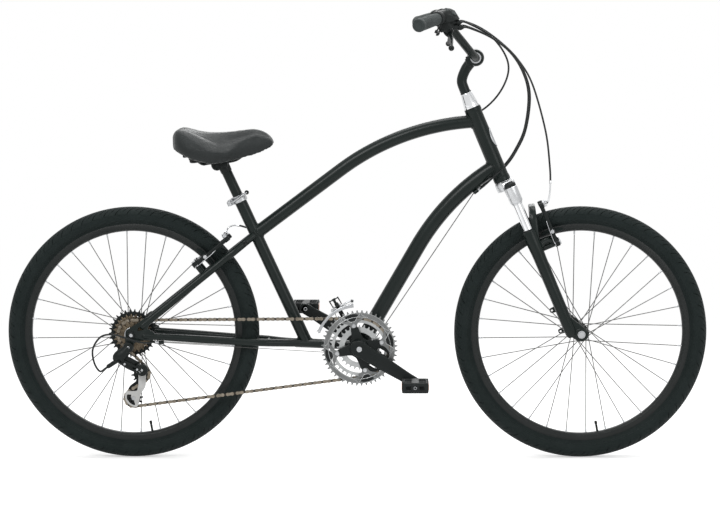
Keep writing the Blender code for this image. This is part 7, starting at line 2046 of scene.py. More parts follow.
def saddle_ring(ahead):
    wide, top, low = saddle_at(ahead)
    low -= 0.0078 * eased(ahead, -0.12, -0.06) * (1 - 0.5 * eased(ahead, 0.09, 0.14))
    height = top - low
    rear = 1 - eased(ahead, -0.075, 0.025)
    dip = 0.003 + 0.0045 * rear
    fall = curve_value(CHEEK_FALL, ahead)
    half = [
        (0.0, top - dip), (0.1, top - dip * 0.85), (0.22, top - dip * 0.4 - fall * 0.12 * height),
        (0.36, top - fall * 0.48 * height), (0.5, top - fall * 0.86 * height),
        (0.62, top - fall * 0.98 * height), (0.74, top - (fall + 0.03) * height),
        (0.86, top - (fall + 0.13) * height), (0.955, top - (fall * 0.7 + 0.34) * height),
        (1.0, top - 0.66 * height), (0.985, low + 0.16 * height), (0.955, low + 0.03 * height), (0.91, low),
        (0.82, low + 0.0008), (0.79, low + SADDLE_RECESS * 0.6), (0.76, low + SADDLE_RECESS),
        (0.4, low + SADDLE_RECESS), (0.0, low + SADDLE_RECESS),
    ]
    x = SADDLE_CLAMP.x + ahead
    left = smooth_path([Vector((x, wide * a, z)) for a, z in half], 44)
    return left + [to_side(p, NEAR) for p in reversed(left[1:-1])]


def puffed(obj, reach):
    """The closed shape filled like a cushion: cloth under pressure, no point moving further than reach."""
    even = obj.modifiers.new("even", "REMESH")
    even.mode = "VOXEL"
    even.voxel_size = CUSHION_GRAIN
    obj = as_mesh(obj)
    before = [v.co.copy() for v in obj.data.vertices]
    cloth = obj.modifiers.new("fill", "CLOTH").settings
    cloth.use_pressure = True
    cloth.uniform_pressure_force = 4
    cloth.effector_weights.gravity = 0
    cloth.tension_stiffness = cloth.compression_stiffness = 25
    cloth.bending_stiffness = 4
    for frame_number in range(1, PUFF_FRAMES + 1):
        scene.frame_set(frame_number)
    obj = as_mesh(obj)
    for vertex, start in zip(obj.data.vertices, before):
        move = vertex.co - start
        if move.length > reach:
            vertex.co = start + move.normalized() * reach
    scene.frame_set(1)
    return obj


def creased(obj, path, width, depth):
    """Presses a soft line into the surface along the path, on both sides of the frame's plane."""
    normals = [v.normal.copy() for v in obj.data.vertices]
    for vertex, normal in zip(obj.data.vertices, normals):
        spot = Vector((vertex.co.x, abs(vertex.co.y), vertex.co.z))
        far = min((spot - point).length for point in path)
        if far < width:
            vertex.co -= normal * depth * (0.5 + 0.5 * math.cos(math.pi * far / width))
    return obj


def saddle_spot(ahead, share):
    """A point on the saddle's upper skin, by its share of the half width."""
    ring = saddle_ring(ahead)[:30]
    wide = saddle_at(ahead)[0]
    return min(ring, key=lambda point: abs(point.y - share * wide))


def make_saddle():
    first, last = SADDLE_STATIONS[0][0], SADDLE_STATIONS[-1][0]
    shell = loft([saddle_ring(first + (last - first) * k / 63) for k in range(64)])
    shell = puffed(shell, PUFF_REACH)
    smoothing = shell.modifiers.new("soft", "SMOOTH")
    smoothing.factor, smoothing.iterations = 0.4, 2
    shell = subdivided(as_mesh(shell), 1)
    folds = ((-0.1, 0.6), (-0.07, 0.56), (-0.04, 0.54), (-0.012, 0.54), (0.014, 0.56))
    fold = smooth_path([saddle_spot(*where) for where in folds], 60)
    shell = creased(shell, fold, 0.0085, 0.0014)
    seam = smooth_path(
        [saddle_spot(ahead, 1.0) for ahead in (-0.11, -0.085, -0.054, -0.016, 0.021, 0.058, 0.094, 0.122)],
        120,
    )
    seam = [Vector((p.x, p.y, saddle_at(p.x - SADDLE_CLAMP.x)[2] + 0.0045)) for p in seam]
    shell = creased(shell, seam, 0.003, 0.0009)
    channel = smooth_path([saddle_spot(ahead, 0.0) for ahead in (-0.11, -0.08, -0.04, 0.0, 0.035)], 60)
    shell = creased(shell, channel, 0.013, 0.0022)
    dress(shell, "saddle_cover", "seatpost", "saddle_vinyl", ["saddle_cushion"], 60)


def make_saddle_underside():
    """Moulded base, rails, two rubber bumpers behind, and the clamp's jaws with their round end discs."""
    rings = []
    for k in range(24):
        ahead = -0.112 + 0.234 * k / 23
        wide, _, low = saddle_at(ahead)
        y, top, under = wide * 0.79, low + SADDLE_RECESS + 0.001, low + 0.0035
        rings.append(
            [
                Vector((SADDLE_CLAMP.x + ahead, out, z))
                for out, z in (
                    (-y, top), (0, top), (y, top), (y * 0.96, under + 0.0015), (y * 0.85, under),
                    (y * 0.4, under + 0.002), (0, under + 0.003), (-y * 0.4, under + 0.002),
                    (-y * 0.85, under), (-y * 0.96, under + 0.0015),
                )
            ]
        )
    ribs = []
    for y in (-0.03, 0.03):
        route = [
            Vector((SADDLE_CLAMP.x + ahead, y * (1 - max(0, ahead) * 5), saddle_at(ahead)[2] + 0.005))
            for ahead in (-0.1, -0.07, -0.04, 0.0, 0.04, 0.08)
        ]
        ribs.append(tube(smooth_path(route, 30), 0.0022, 10))
    dress(
        joined(loft(rings), *ribs), "saddle_shell", "seatpost", "black_plastic",
        ["saddle_base"],
    )
    at = SADDLE_CLAMP + Vector((0, 0, 0.0065))
    rails = []
    for side in (NEAR, FAR):
        y = side * 0.021
        path = [
            SADDLE_CLAMP + Vector((-0.084, side * 0.04, 0.0265)),
            SADDLE_CLAMP + Vector((-0.064, side * 0.036, 0.015)),
            at - RAIL_RUN * 0.045 + Y_AXIS * side * 0.024, at - RAIL_RUN * 0.028 + Y_AXIS * y,
            at + RAIL_RUN * 0.034 + Y_AXIS * y, SADDLE_CLAMP + Vector((0.06, side * 0.018, 0.023)),
            SADDLE_CLAMP + Vector((0.085, side * 0.015, 0.034)),
            SADDLE_CLAMP + Vector((0.112, side * 0.01, 0.047)),
        ]
        rails.append(tube(smooth_path(path, 70), 0.0034, 18))
    dress(joined(*rails), "saddle_rail_pair", "seatpost", "black_parts", ["saddle_rails"])
    bumpers = []
    for side in (NEAR, FAR):
        low = saddle_at(-0.06)[2]
        spot = Vector((SADDLE_CLAMP.x - 0.06, side * 0.046, low - 0.015))
        puck = [
            (0, 0), (0.011, 0), (0.015, 0.0014), (0.0172, 0.0045), (0.0162, 0.007), (0.018, 0.0095),
            (0.0184, 0.014), (0.017, 0.025), (0, 0.025),
        ]
        bumpers.append(lathe(spot, Vector((-0.12, 0, 1)), puck, 44))
        bumpers.append(
            turned_block(
                spot + Vector((-0.006, 0, 0.02)), (0.056, 0.03, 0.008), RAIL_RUN, Y_AXIS,
                RAIL_RUN.cross(Y_AXIS), 0.0028,
            )
        )
    dress(joined(*bumpers), "saddle_bumpers", "seatpost", "black_plastic")
    up = RAIL_RUN.cross(Y_AXIS)
    jaw = [(-0.02, -0.0075), (0.02, -0.0075), (0.0215, 0.0), (0.02, 0.0085), (-0.02, 0.0085), (-0.0215, 0.0)]
    shapes = [
        rounded(prism(rounded_outline(jaw, 0.005, 4), -0.029, 0.029, SADDLE_CLAMP, RAIL_RUN, up), 0.0012, 2)
    ]
    centre = SADDLE_CLAMP + Vector((-0.007, 0, 0.0005))
    for side in (NEAR, FAR):
        disc = [
            (0, 0.027), (0.0138, 0.027), (0.015, 0.0282), (0.015, 0.0318), (0.0138, 0.0332), (0.0096, 0.0336),
            (0.009, 0.0326), (0, 0.0326),
        ]
        shapes.append(lathe(centre, Y_AXIS * side, disc, 48))
        for way in map(heading, turns(16)):
            shapes.append(
                turned_block(
                    centre + way * 0.0128 + Y_AXIS * side * 0.0333, (0.003, 0.0012, 0.0016), way, Y_AXIS,
                    way.cross(Y_AXIS),
                )
            )
    collar = [
        (POST_RADIUS - 0.001, -0.02), (0.014, -0.02), (0.0148, -0.0185), (0.0152, -0.004), (0.0148, 0.002),
        (0.0136, 0.004), (POST_RADIUS - 0.002, 0.0042),
    ]
    shapes.append(lathe(POST_TOP, SEAT_UP, collar, 44, True))
    shapes.append(
        rod(POST_TOP - SEAT_UP * 0.002, SADDLE_CLAMP + Vector((0.004, 0, 0.004)), 0.0148, 32, 0.002)
    )
    dress(
        joined(*shapes), "saddle_clamp_head", "seatpost", "black_parts", ["saddle_clamp"], 35,
    )
    nuts = []
    for side in (NEAR, FAR):
        nut = centre + Y_AXIS * side * 0.0322
        nuts.append(hex_nut(nut, Y_AXIS * side, 0.0066, 0.0036))
        nuts.append(rod(nut, nut + Y_AXIS * side * 0.0056, 0.0034, 20, 0.0005))
    dress(joined(*nuts), "saddle_clamp_nuts", "seatpost", "black_plastic", sharp=28)


def make_seatpost():
    made = rod(SEAT_TOP - SEAT_UP * 0.115, POST_TOP, POST_RADIUS, 56, 0.0006)
    dress(made, "seatpost_tube", "seatpost", "frame_black", ["seatpost"])


def make_seat_clamp():
    """A split collar with two ears, its slit, and the skewer's nut."""
    middle = SEAT_TOP - SEAT_UP * 0.005
    profile = [
        (0.0158, -0.0092), (0.0192, -0.0092), (0.02, -0.0082), (0.02, 0.0042), (0.0208, 0.0054),
        (0.0208, 0.0084), (0.0196, 0.0096), (0.0146, 0.0096), (0.0142, 0.008), (0.0156, 0.006),
    ]
    collar = lathe(middle, SEAT_UP, profile, 56, True)
    ears = []
    for side in (NEAR, FAR):
        spot = middle + SEAT_BACK * 0.0245 + Y_AXIS * side * 0.0056
        shape = [
            (-0.0085, -0.0082), (0.0045, -0.0082), (0.0085, -0.0045), (0.0085, 0.0045), (0.0045, 0.0082),
            (-0.0085, 0.0082),
        ]
        ears.append(prism(rounded_outline(shape, 0.003, 3), -0.0041, 0.0041, spot, SEAT_BACK, SEAT_UP))
    made = joined_solid(collar, *ears)
    slit = turned_block(middle + SEAT_BACK * 0.024, (0.03, 0.0022, 0.03), SEAT_BACK, Y_AXIS, SEAT_UP)
    shapes = [rounded(cut(made, slit), 0.0006, 2, 40)]
    skewer = middle + SEAT_BACK * 0.026
    shapes.append(rod(skewer - Y_AXIS * 0.019, skewer + Y_AXIS * 0.0175, 0.0028, 20, 0.0004))
    nut = [
        (0.0028, 0.0098), (0.007, 0.0098), (0.0074, 0.0106), (0.007, 0.015), (0.0052, 0.0172),
        (0.0028, 0.0174),
    ]
    shapes.append(lathe(skewer, Y_AXIS, nut, 32, True))
    dress(joined(*shapes), "seat_collar", "frame", "silver_alloy", ["seat_clamp"], 35)


def make_clamp_lever():
    """A cam, a broad blade that swells towards its end, and a ball on the end."""
    middle = SEAT_TOP - SEAT_UP * 0.0055
    cam = middle + SEAT_BACK * 0.027 - Y_AXIS * 0.0195
    ball_at = cam - SEAT_BACK * 0.054 + SEAT_UP * 0.008 - Y_AXIS * 0.0075
    shapes = [rod(cam - SEAT_UP * 0.006, cam + SEAT_UP * 0.006, 0.0062, 32, 0.001)]
    path = [
        cam, cam - SEAT_BACK * 0.018 + SEAT_UP * 0.001 - Y_AXIS * 0.0068,
        cam.lerp(ball_at, 0.7) - Y_AXIS * 0.0035, ball_at,
    ]
    radii = swelling(26, 0.0046, (0.0026, 0.1, 0.6), (-0.0012, 0.7, 1.0))
    shapes.append(tube(smooth_path(path, len(radii)), radii, 20, 0.45, Y_AXIS))
    dress(
        ball(ball_at, 0.0058, (1, 0.85, 1), 28), "clamp_lever_ball", "seat_clamp_lever", "black_plastic",
    )
    dress(
        joined(*shapes), "clamp_lever", "seat_clamp_lever", "silver_alloy",
        ["seat_clamp_lever"], 40,
    )


# Stem, handlebar and controls

CONE_TOP = -0.248
QUILL_RADIUS = 0.0111


def at_points(origin, offsets):
    return [origin + Vector(offset) for offset in offsets]


def make_stem():
    """A forged swan neck that swells into the bar's clamp, with the two bolts behind it."""
    foot = fork_point(CONE_TOP - 0.0003, 0)
    bends = [(-0.0355, 0, -0.06), (-0.0275, 0, -0.034), (-0.014, 0, -0.014), (-0.002, 0, -0.002)]
    neck = [foot, fork_point(CONE_TOP - 0.01, -0.0005), *at_points(BAR_CENTRE, bends)]
    radii = swelling(44, 0.0134, (0.0008, 0.55, 0.85), (0.003, 0.8, 1.0))
    shapes = [tube(smooth_path(neck, len(radii)), radii, 40)]
    shapes.append(rod(fork_point(-0.147, 0), fork_point(CONE_TOP + 0.002, 0), QUILL_RADIUS, 36, 0.0006))
    lip = [
        (0.0108, -0.0006), (0.014, -0.0006), (0.0147, 0.0004), (0.0147, 0.0022), (0.0138, 0.0032),
        (0.0108, 0.0032),
    ]
    shapes.append(lathe(foot, -STEER_DOWN, lip, 44, True))
    half = [(0.0112, 0.0), (0.018, 0.0), (0.0205, 0.0012), (0.0216, 0.004), (0.0224, 0.01)]
    clamp = half + [(0.0225, 0.022)] + [(radius, 0.044 - along) for radius, along in reversed(half)]
    shapes.append(lathe(BAR_CENTRE - Y_AXIS * 0.022, Y_AXIS, clamp, 64, True))
    places = [BAR_CENTRE + Vector((-0.019, y, -0.01)) for y in (-0.0125, 0.0125)]
    for at in places:
        shapes.append(
            rod(at + Vector((0.004, 0, -0.012)), at + Vector((-0.002, 0, 0.008)), 0.0072, 26, 0.0012)
        )
    dress(joined(*shapes), "stem_neck", "steering", "frame_black", ["stem"], 40)
    bolts = []
    for at in places:
        bolts.append(bolt_head(at + Vector((-0.0014, 0, 0.007)), Vector((-0.22, 0, 0.98)), 0.0046, 0.0062))
    dress(joined(*bolts), "stem_bolts", "steering", "black_parts", sharp=28)
    seam = lathe(
        BAR_CENTRE - Y_AXIS * 0.0235, Y_AXIS,
        [(0.0111, 0), (0.0142, 0), (0.0146, 0.0008), (0.0146, 0.0462), (0.0142, 0.047), (0.0111, 0.047)], 48,
        True,
    )
    dress(seam, "stem_shim", "steering", "silver_alloy")


def make_handlebar():
    start = GRIP_START - GRIP_ALONG * 0.046
    route = [
        (0.0, 0.026, 0.0), (-0.011, 0.055, 0.012), (-0.033, 0.092, 0.039), (-0.057, 0.125, 0.069),
        (-0.073, 0.148, 0.096),
    ]
    bend = at_points(BAR_CENTRE, route) + [start - GRIP_ALONG * 0.006, start]
    left = [BAR_CENTRE.copy()] + smooth_path(bend, 44) + [start.lerp(BAR_END, k / 6) for k in range(1, 7)]
    right = [to_side(p, NEAR) for p in reversed(left[1:])]
    made = tube(right + left, BAR_RADIUS - 0.0001, 36)
    dress(made, "handlebar_tube", "steering", "frame_black", ["handlebar"], 40)


def make_grip(side, word):
    """Soft rubber with fine ribs round it, a collar at the inner end and a plugged outer end."""
    axis = to_side(GRIP_ALONG, side)
    length = (BAR_END - GRIP_START).length
    profile = [
        (0.011, 0.0), (0.015, 0.0), (0.0168, 0.0006), (0.0174, 0.002), (0.0174, 0.0046), (0.0166, 0.006),
    ]
    start, stop, count = 0.0075, length - 0.012, 22
    step = (stop - start) / count
    for k in range(count):
        a = start + (stop - start) * k / count
        swell = 0.0004 * math.sin(math.pi * k / count)
        profile += [
            (0.0157 + swell, a), (0.0162 + swell, a + step * 0.22), (0.0163 + swell, a + step * 0.5),
            (0.0162 + swell, a + step * 0.78),
        ]
    profile += [
        (0.0157, stop), (0.0164, stop + 0.0012), (0.0169, stop + 0.003), (0.017, stop + 0.011),
        (0.0164, stop + 0.0136), (0.015, stop + 0.015), (0.0128, stop + 0.0154), (0.012, stop + 0.0146),
        (0.0096, stop + 0.0146), (0.0088, stop + 0.0154), (0, stop + 0.0156),
    ]
    profile = [
        (radius * (0.925 + 0.075 * min(1.0, max(0.0, a) / (length * 0.8))) if radius > 0.0112 else radius, a)
        for radius, a in profile
    ]
    made = lathe(to_side(GRIP_START, side), axis, profile, 64)
    dress(made, "grip_sleeve_" + word, "steering", "grip_rubber", ["grip_" + word], 25)


def lever_axis():
    """The brake lever's pivot direction on the left side."""
    blade = LEVER_BALL - LEVER_PIVOT
    grip = GRIP_START + GRIP_ALONG * (LEVER_BALL.y - GRIP_START.y) / GRIP_ALONG.y
    return blade.cross(grip - LEVER_BALL).normalized()


def control_frame():
    """The clamp's middle on the left side, with the ways along the grip, down and forward."""
    clamp_at = GRIP_START - GRIP_ALONG * 0.026
    down = LEVER_PIVOT - clamp_at
    down = (down - GRIP_ALONG * down.dot(GRIP_ALONG)).normalized()
    return clamp_at, GRIP_ALONG, down, down.cross(GRIP_ALONG)


def barrels():
    """Root and tip of the two cable barrels on the left side: the brake's, then the shifter's."""
    clamp_at, along, down, front = control_frame()
    way = (front * 0.65 + down * 0.4 - along * 0.75).normalized() * 0.03
    roots = [clamp_at + down * low + front * 0.012 - along * 0.008 for low in (0.02, 0.034)]
    return [(root, root + way) for root in roots]


def hull_of(points, soft):
    """A tight solid skin round some points, its edges rounded."""
    shape = bmesh.new()
    for point in points:
        shape.verts.new(point)
    found = bmesh.ops.convex_hull(shape, input=shape.verts)
    loose = [v for v in found["geom_interior"] if isinstance(v, bmesh.types.BMVert)]
    bmesh.ops.delete(shape, geom=loose, context="VERTS")
    bmesh.ops.dissolve_limit(shape, angle_limit=0.02, verts=shape.verts, edges=shape.edges)
    mesh = bpy.data.meshes.new("shape")
    shape.to_mesh(mesh)
    shape.free()
    return rounded(placed(mesh), soft, 3, 12)


def make_control(side, word):
    """Clamp band, lever bracket, faceted shifter housing with its lid and window, and both cable barrels."""
    clamp_at, along, down, front = control_frame()
    axis = lever_axis()

    def spot(a, d, f):
        return clamp_at + along * a + down * d + front * f

    def hull(offsets, soft):
        return hull_of([spot(*offset) for offset in offsets], soft)

    band = [
        (0.0111, -0.0135), (0.016, -0.0135), (0.0172, -0.0122), (0.0172, 0.0122), (0.016, 0.0135),
        (0.0111, 0.0135),
    ]
    shapes = [lathe(clamp_at, along, band, 52, True)]
    bracket = (
        (-0.017, -0.004, 0.008), (0.014, -0.006, 0.008), (0.014, 0.016, 0.009), (-0.019, 0.018, 0.01),
        (-0.017, 0.002, 0.026), (0.008, 0.0, 0.024), (0.008, 0.017, 0.027), (-0.018, 0.019, 0.028),
        (-0.012, 0.01, 0.031), (0.0, 0.01, 0.03),
    )
    shapes.append(hull(bracket, 0.0022))
    housing = (
        (-0.018, 0.01, -0.01), (0.017, 0.01, -0.01), (-0.02, 0.033, -0.009), (0.017, 0.034, -0.009),
        (-0.019, 0.009, 0.018), (0.016, 0.01, 0.015), (-0.021, 0.036, 0.02), (0.012, 0.037, 0.016),
        (-0.014, 0.039, 0.008), (0.012, 0.04, 0.002),
    )
    shapes.append(hull(housing, 0.0028))
    shapes.append(rod(clamp_at + down * 0.012, LEVER_PIVOT, 0.01, 24, 0.0015))
    for end in (-1, 1):
        shapes.append(
            rod(LEVER_PIVOT + axis * end * 0.0052, LEVER_PIVOT + axis * end * 0.0112, 0.0088, 32, 0.0012)
        )
    for root, tip in barrels():
        run = (tip - root).normalized()
        sleeve = [
            (0.003, 0), (0.006, 0), (0.006, 0.012), (0.0052, 0.013), (0.0052, 0.015), (0.0062, 0.0158),
            (0.0062, 0.0246), (0.0048, 0.0272), (0.004, 0.03), (0.003, 0.03),
        ]
        shapes.append(lathe(root, run, sleeve, 24, True))
        for way in ways_round(run, 9):
            shapes.append(
                turned_block(
                    root + run * 0.0202 + way * 0.0062, (0.0086, 0.0011, 0.0016), run, way, run.cross(way),
                    0.0003,
                )
            )
    nose = [
        (0.014, 0.019), (0.0176, 0.0196), (0.0188, 0.0222), (0.019, 0.035), (0.0182, 0.0382), (0.0168, 0.039),
        (0.014, 0.039),
    ]
    shapes.append(lathe(clamp_at, along, nose, 48, True))
    shapes.append(
        hull(
            (
                (0.022, -0.01, -0.012), (0.022, 0.012, -0.014), (0.02, -0.012, 0.012), (0.02, 0.015, 0.014),
                (-0.024, -0.01, 0.01), (-0.024, 0.02, 0.004), (-0.022, -0.004, 0.03), (-0.024, 0.022, 0.034),
                (-0.004, -0.01, 0.026), (0.0, 0.02, 0.032), (0.016, 0.02, 0.018),
            ),
            0.0026,
        )
    )
    facet = hull(
        (
            (-0.019, -0.0095, 0.012), (-0.019, -0.006, 0.0285), (-0.004, -0.011, 0.024),
            (0.003, -0.0122, 0.012), (-0.016, -0.0135, 0.016), (-0.006, -0.014, 0.018),
            (-0.018, 0.01, 0.0345), (-0.004, 0.008, 0.0325),
        ),
        0.0012,
    )
    dress(sided(facet, side), "control_facet_" + word, "steering", "grip_rubber", sharp=25)
    lid = hull(
        (
            (-0.013, -0.0125, -0.006), (0.01, -0.0125, -0.006), (-0.013, -0.013, 0.012),
            (0.009, -0.013, 0.01), (-0.01, -0.0165, 0.002), (0.006, -0.0165, 0.002), (-0.012, -0.006, 0.021),
            (0.006, -0.006, 0.019),
        ),
        0.0018,
    )
    pod = hull(
        (
            (-0.01, 0.033, -0.003), (0.008, 0.033, -0.003), (-0.011, 0.033, 0.012), (0.006, 0.033, 0.01),
            (-0.006, 0.042, 0.001), (0.004, 0.042, 0.001), (-0.006, 0.042, 0.008), (0.003, 0.042, 0.007),
        ),
        0.0016,
    )
    screws = [
        bolt_head(spot(0.0, 0.006, -0.01 - 0.0065), -front, 0.003, 0.002),
        bolt_head(spot(-0.008, 0.014, 0.0285), front, 0.0028, 0.0018),
    ]
    pin = rod(LEVER_PIVOT - axis * 0.0126, LEVER_PIVOT + axis * 0.0126, 0.0024, 18, 0.0004)
    pieces = [
        (joined(*shapes), "control_body_", "black_plastic", ["control_" + word]),
        (joined(lid, pod), "control_lids_", "black_parts", []),
        (joined(*screws, pin), "control_screws_", "silver_alloy", []),
    ]
    for piece, name, finish, replaced in pieces:
        dress(sided(piece, side), name + word, "steering", finish, replaced, 32)


def make_brake_lever(side, word):
    """A hooked two-finger blade, flat and slightly dished, with a ball end."""
    axis = lever_axis()
    blade = LEVER_BALL - LEVER_PIVOT
    run = blade.normalized()
    away = run.cross(axis)
    if away.dot(GRIP_START - LEVER_BALL) > 0:
        away = -away
    path = [
        LEVER_PIVOT, LEVER_PIVOT + blade * 0.14 + away * 0.005, LEVER_PIVOT + blade * 0.32 + away * 0.007,
        LEVER_PIVOT + blade * 0.65 + away * 0.004, LEVER_BALL - run * 0.002,
    ]
    radii = swelling(40, 0.0052, (-0.0012, 0.1, 0.5), (0.0012, 0.75, 1.0))
    shapes = [tube(smooth_path(path, len(radii)), radii, 28, level=axis)]
    shapes.append(rod(LEVER_PIVOT - axis * 0.0046, LEVER_PIVOT + axis * 0.0046, 0.0078, 32, 0.0008))
    shapes.append(ball(LEVER_BALL, 0.0074, (1, 1, 1), 32))
    name = "brake_lever_" + word
    dress(sided(joined(*shapes), side), "brake_blade_" + word, name, "black_parts", [name], 45)


def make_shift_lever(side, word):
    """A thumb paddle with a ribbed face, under the housing."""
    clamp_at, along, down, front = control_frame()
    pivot = clamp_at + down * 0.027 - front * 0.0123
    shapes = [rod(pivot + front * 0.001, pivot - front * 0.0058, 0.0094, 36, 0.001)]
    path = [
        pivot - front * 0.003, pivot - front * 0.0038 + along * 0.014 + down * 0.004,
        pivot - front * 0.004 + along * 0.031 + down * 0.0105,
    ]
    radii = swelling(22, 0.003, (0.0024, 0.45, 1.0))
    shapes.append(tube(smooth_path(path, len(radii)), radii, 22, 0.55, front))
    tip = path[-1]
    run = (path[-1] - path[-2]).normalized()
    for k in range(4):
        at = tip - run * (0.0015 + 0.0026 * k) - front * 0.0026
        shapes.append(
            turned_block(at, (0.001, 0.0072, 0.0012), run, run.cross(front).normalized(), front, 0.0003)
        )
    name = "shift_lever_" + word
    dress(
        sided(joined(*shapes), side), "shift_paddle_" + word, name, "black_plastic", [name],
        40,
    )


# Brakes

HOUSING_RADIUS = 0.0025
WIRE_RADIUS = 0.0008
ARM_LENGTH, ARM_DEPTH = 0.109, 0.014
HEAD_RISE, WIRE_OUT = ARM_LENGTH - 0.004, 0.0195
PAD_RISE, PAD_BACK = 0.0325, 0.0146


class BrakeSeat:
    """Where a pair of brake arms stands: up points away from the axle and out away from the frame."""

    def __init__(self, word, axle, up, out, ahead):
        self.word = word
        self.axle = axle
        self.up = up
        self.out = out
        self.origin = axle + up * BRAKE_POST_RISE + out * ahead

    def at(self, up, out, y):
        return self.origin + self.up * up + self.out * out + Y_AXIS * y


FRONT_BRAKE = BrakeSeat("front", FRONT_AXLE, -STEER_DOWN, STEER_FRONT, FRONT_POST_AHEAD)
REAR_BRAKE = BrakeSeat("rear", REAR_AXLE, STAY_ALONG, STAY_OUT, REAR_POST_AHEAD)


def seat_plate(seat, side, outline, low, high):
    """A plate across an arm's pivot, from low to high along it."""
    points = [(side * (POST_Y + a), b) for a, b in outline]
    sign = 1 if seat.up.cross(Y_AXIS).dot(seat.out) > 0 else -1
    return prism(points, *sorted((sign * low, sign * high)), seat.origin.copy(), Y_AXIS, seat.up)


def make_brake_arm(seat, side, word):
    """A tapering forged arm on a boss, its spring, the pad with its washers and nut, and the head."""
    y = side * POST_Y
    long = ARM_LENGTH
    body = f"{seat.word}_brake_arm_{word}"
    outline = [
        (-0.007, -0.004), (0.007, -0.004), (0.0096, 0.018), (0.0098, 0.04), (0.009, 0.07),
        (0.0052, long - 0.012), (0.003, long + 0.0035), (-0.0062, long + 0.0035), (-0.0068, long - 0.01),
        (-0.0014, 0.07), (-0.0012, 0.044), (-0.0058, 0.022),
    ]
    arm = rounded(
        seat_plate(seat, side, rounded_outline(outline, 0.006, 4), 0.0022, ARM_DEPTH - 0.0022), 0.0018, 3, 40,
    )
    slot = [(0.001, 0.0535), (0.0056, 0.0535), (0.0044, 0.086), (0.0012, 0.086)]
    arm = cut(
        arm, seat_plate(seat, side, rounded_outline(slot, 0.0018, 4), ARM_DEPTH - 0.0045, ARM_DEPTH + 0.01),
    )
    middle = ARM_DEPTH / 2
    boss = [
        (0.0041, 0.0004), (0.0088, 0.0004), (0.0094, 0.0012), (0.0094, ARM_DEPTH - 0.001),
        (0.0086, ARM_DEPTH), (0.0041, ARM_DEPTH),
    ]
    shapes = [arm, lathe(seat.at(0, 0, y), seat.out, boss, 40, True)]
    clamp = seat.at(PAD_RISE, middle, side * (POST_Y + 0.0035))
    shapes.append(rod(clamp - Y_AXIS * side * 0.007, clamp + Y_AXIS * side * 0.0052, 0.0082, 32, 0.001))
    head = seat.at(HEAD_RISE, middle, side * (POST_Y - 0.002))
    shapes.append(rod(head - seat.out * 0.0062, head + seat.out * 0.0062, 0.0072, 28, 0.001))
    dress(
        joined(*shapes), f"{seat.word}_brake_lever_arm_{word}", body, "black_parts", [body],
        35,
    )
    centre = seat.at(PAD_RISE, middle, side * (PAD_BACK + 0.0046))
    away = Vector((centre.x - seat.axle.x, 0, centre.z - seat.axle.z)).normalized()
    along = Vector((away.z, 0, -away.x))
    rings = []
    for k in range(25):
        t = -1 + 2 * k / 24
        half_high = 0.0052 * (1 - 0.55 * max(0.0, abs(t) - 0.82) / 0.18)
        spot = centre + along * t * 0.029 - away * 0.003 * t * t
        groove = 0.0012 if k in (7, 12, 17) else 0.0
        rings.append(
            [
                spot + away * a * half_high + Y_AXIS * side * b
                for a, b in (
                    (-0.85, -0.0044 + groove), (0.85, -0.0044 + groove), (1.0, -0.0034 + groove),
                    (1.0, 0.0022), (0.72, 0.0042), (-0.72, 0.0042), (-1.0, 0.0022), (-1.0, -0.0034 + groove),
                )
            ]
        )
    dress(loft(rings), f"{seat.word}_brake_pad_{word}", body, "tyre_rubber", sharp=30)
    bolt_at = seat.at(PAD_RISE, middle, side * (PAD_BACK + 0.008))
    out = Y_AXIS * side
    metal = [rod(bolt_at, bolt_at + out * 0.03, 0.003, 20, 0.0004)]
    for start, thick, radius in ((0.001, 0.0022, 0.0072), (0.0036, 0.0016, 0.0064), (0.0222, 0.0022, 0.0068)):
        metal.append(rod(bolt_at + out * start, bolt_at + out * (start + thick), radius, 28, 0.0006))
    metal.append(hex_nut(bolt_at + out * 0.0244, out, 0.0056, 0.0044))
    metal.append(bolt_head(seat.at(0, ARM_DEPTH - 0.0004, y), seat.out, 0.0066, 0.0044))
    dress(joined(*metal), f"{seat.word}_brake_bolts_{word}", body, "silver_alloy", sharp=28)
    route = [
        seat.at(0.004, 0.0006, y + side * 0.0092), seat.at(0.02, 0.001, y + side * 0.0118),
        seat.at(0.042, 0.0016, y + side * 0.0116), seat.at(0.06, 0.003, y + side * 0.0098),
        seat.at(0.066, 0.0044, y + side * 0.007),
    ]
    spring = tube(smooth_path(route, 40), 0.001, 12)
    coil = [
        seat.at(0.0088 * math.sin(a) * 0.92, 0.0008 + a * 0.00022, y + side * 0.0096 * math.cos(a))
        for a in (k * 0.22 for k in range(50))
    ]
    dress(
        joined(spring, tube(coil, 0.0009, 10)), f"{seat.word}_brake_spring_{word}", body, "silver_alloy",
    )


def make_brake_cover(seat, side, word):
    """The wire between the heads, its ribbed boot, and the clamp bolt on the arm opposite the noodle."""
    body = f"{seat.word}_brake_arm_{word}"
    high, out = HEAD_RISE, WIRE_OUT
    start, end = seat.at(high, out, side * -0.037), seat.at(high, out, side * 0.04)
    dress(rod(start, end, WIRE_RADIUS, 12), f"{seat.word}_brake_wire", body, "spoke_steel")
    profile = [(0.0012, -0.015), (0.003, -0.015)]
    for k in range(6):
        profile += [(0.0046 - 0.00022 * k, -0.0136 + k * 0.0046), (0.003, -0.0113 + k * 0.0046)]
    profile += [(0.0022, 0.015), (0.0012, 0.015)]
    boot = lathe(seat.at(high, out, 0), Y_AXIS * side, profile, 28, True)
    dress(boot, f"{seat.word}_brake_boot", body, "black_plastic", sharp=50)
    washer = seat.at(high, out - 0.003, side * 0.0365)
    shapes = [
        rod(washer - seat.out * 0.004, washer + seat.out * 0.005, 0.0058, 28, 0.0006),
        bolt_head(washer + seat.out * 0.0048, seat.out, 0.0042, 0.0034),
    ]
    dress(joined(*shapes), f"{seat.word}_brake_clamp", body, "silver_alloy", sharp=28)


# Cables


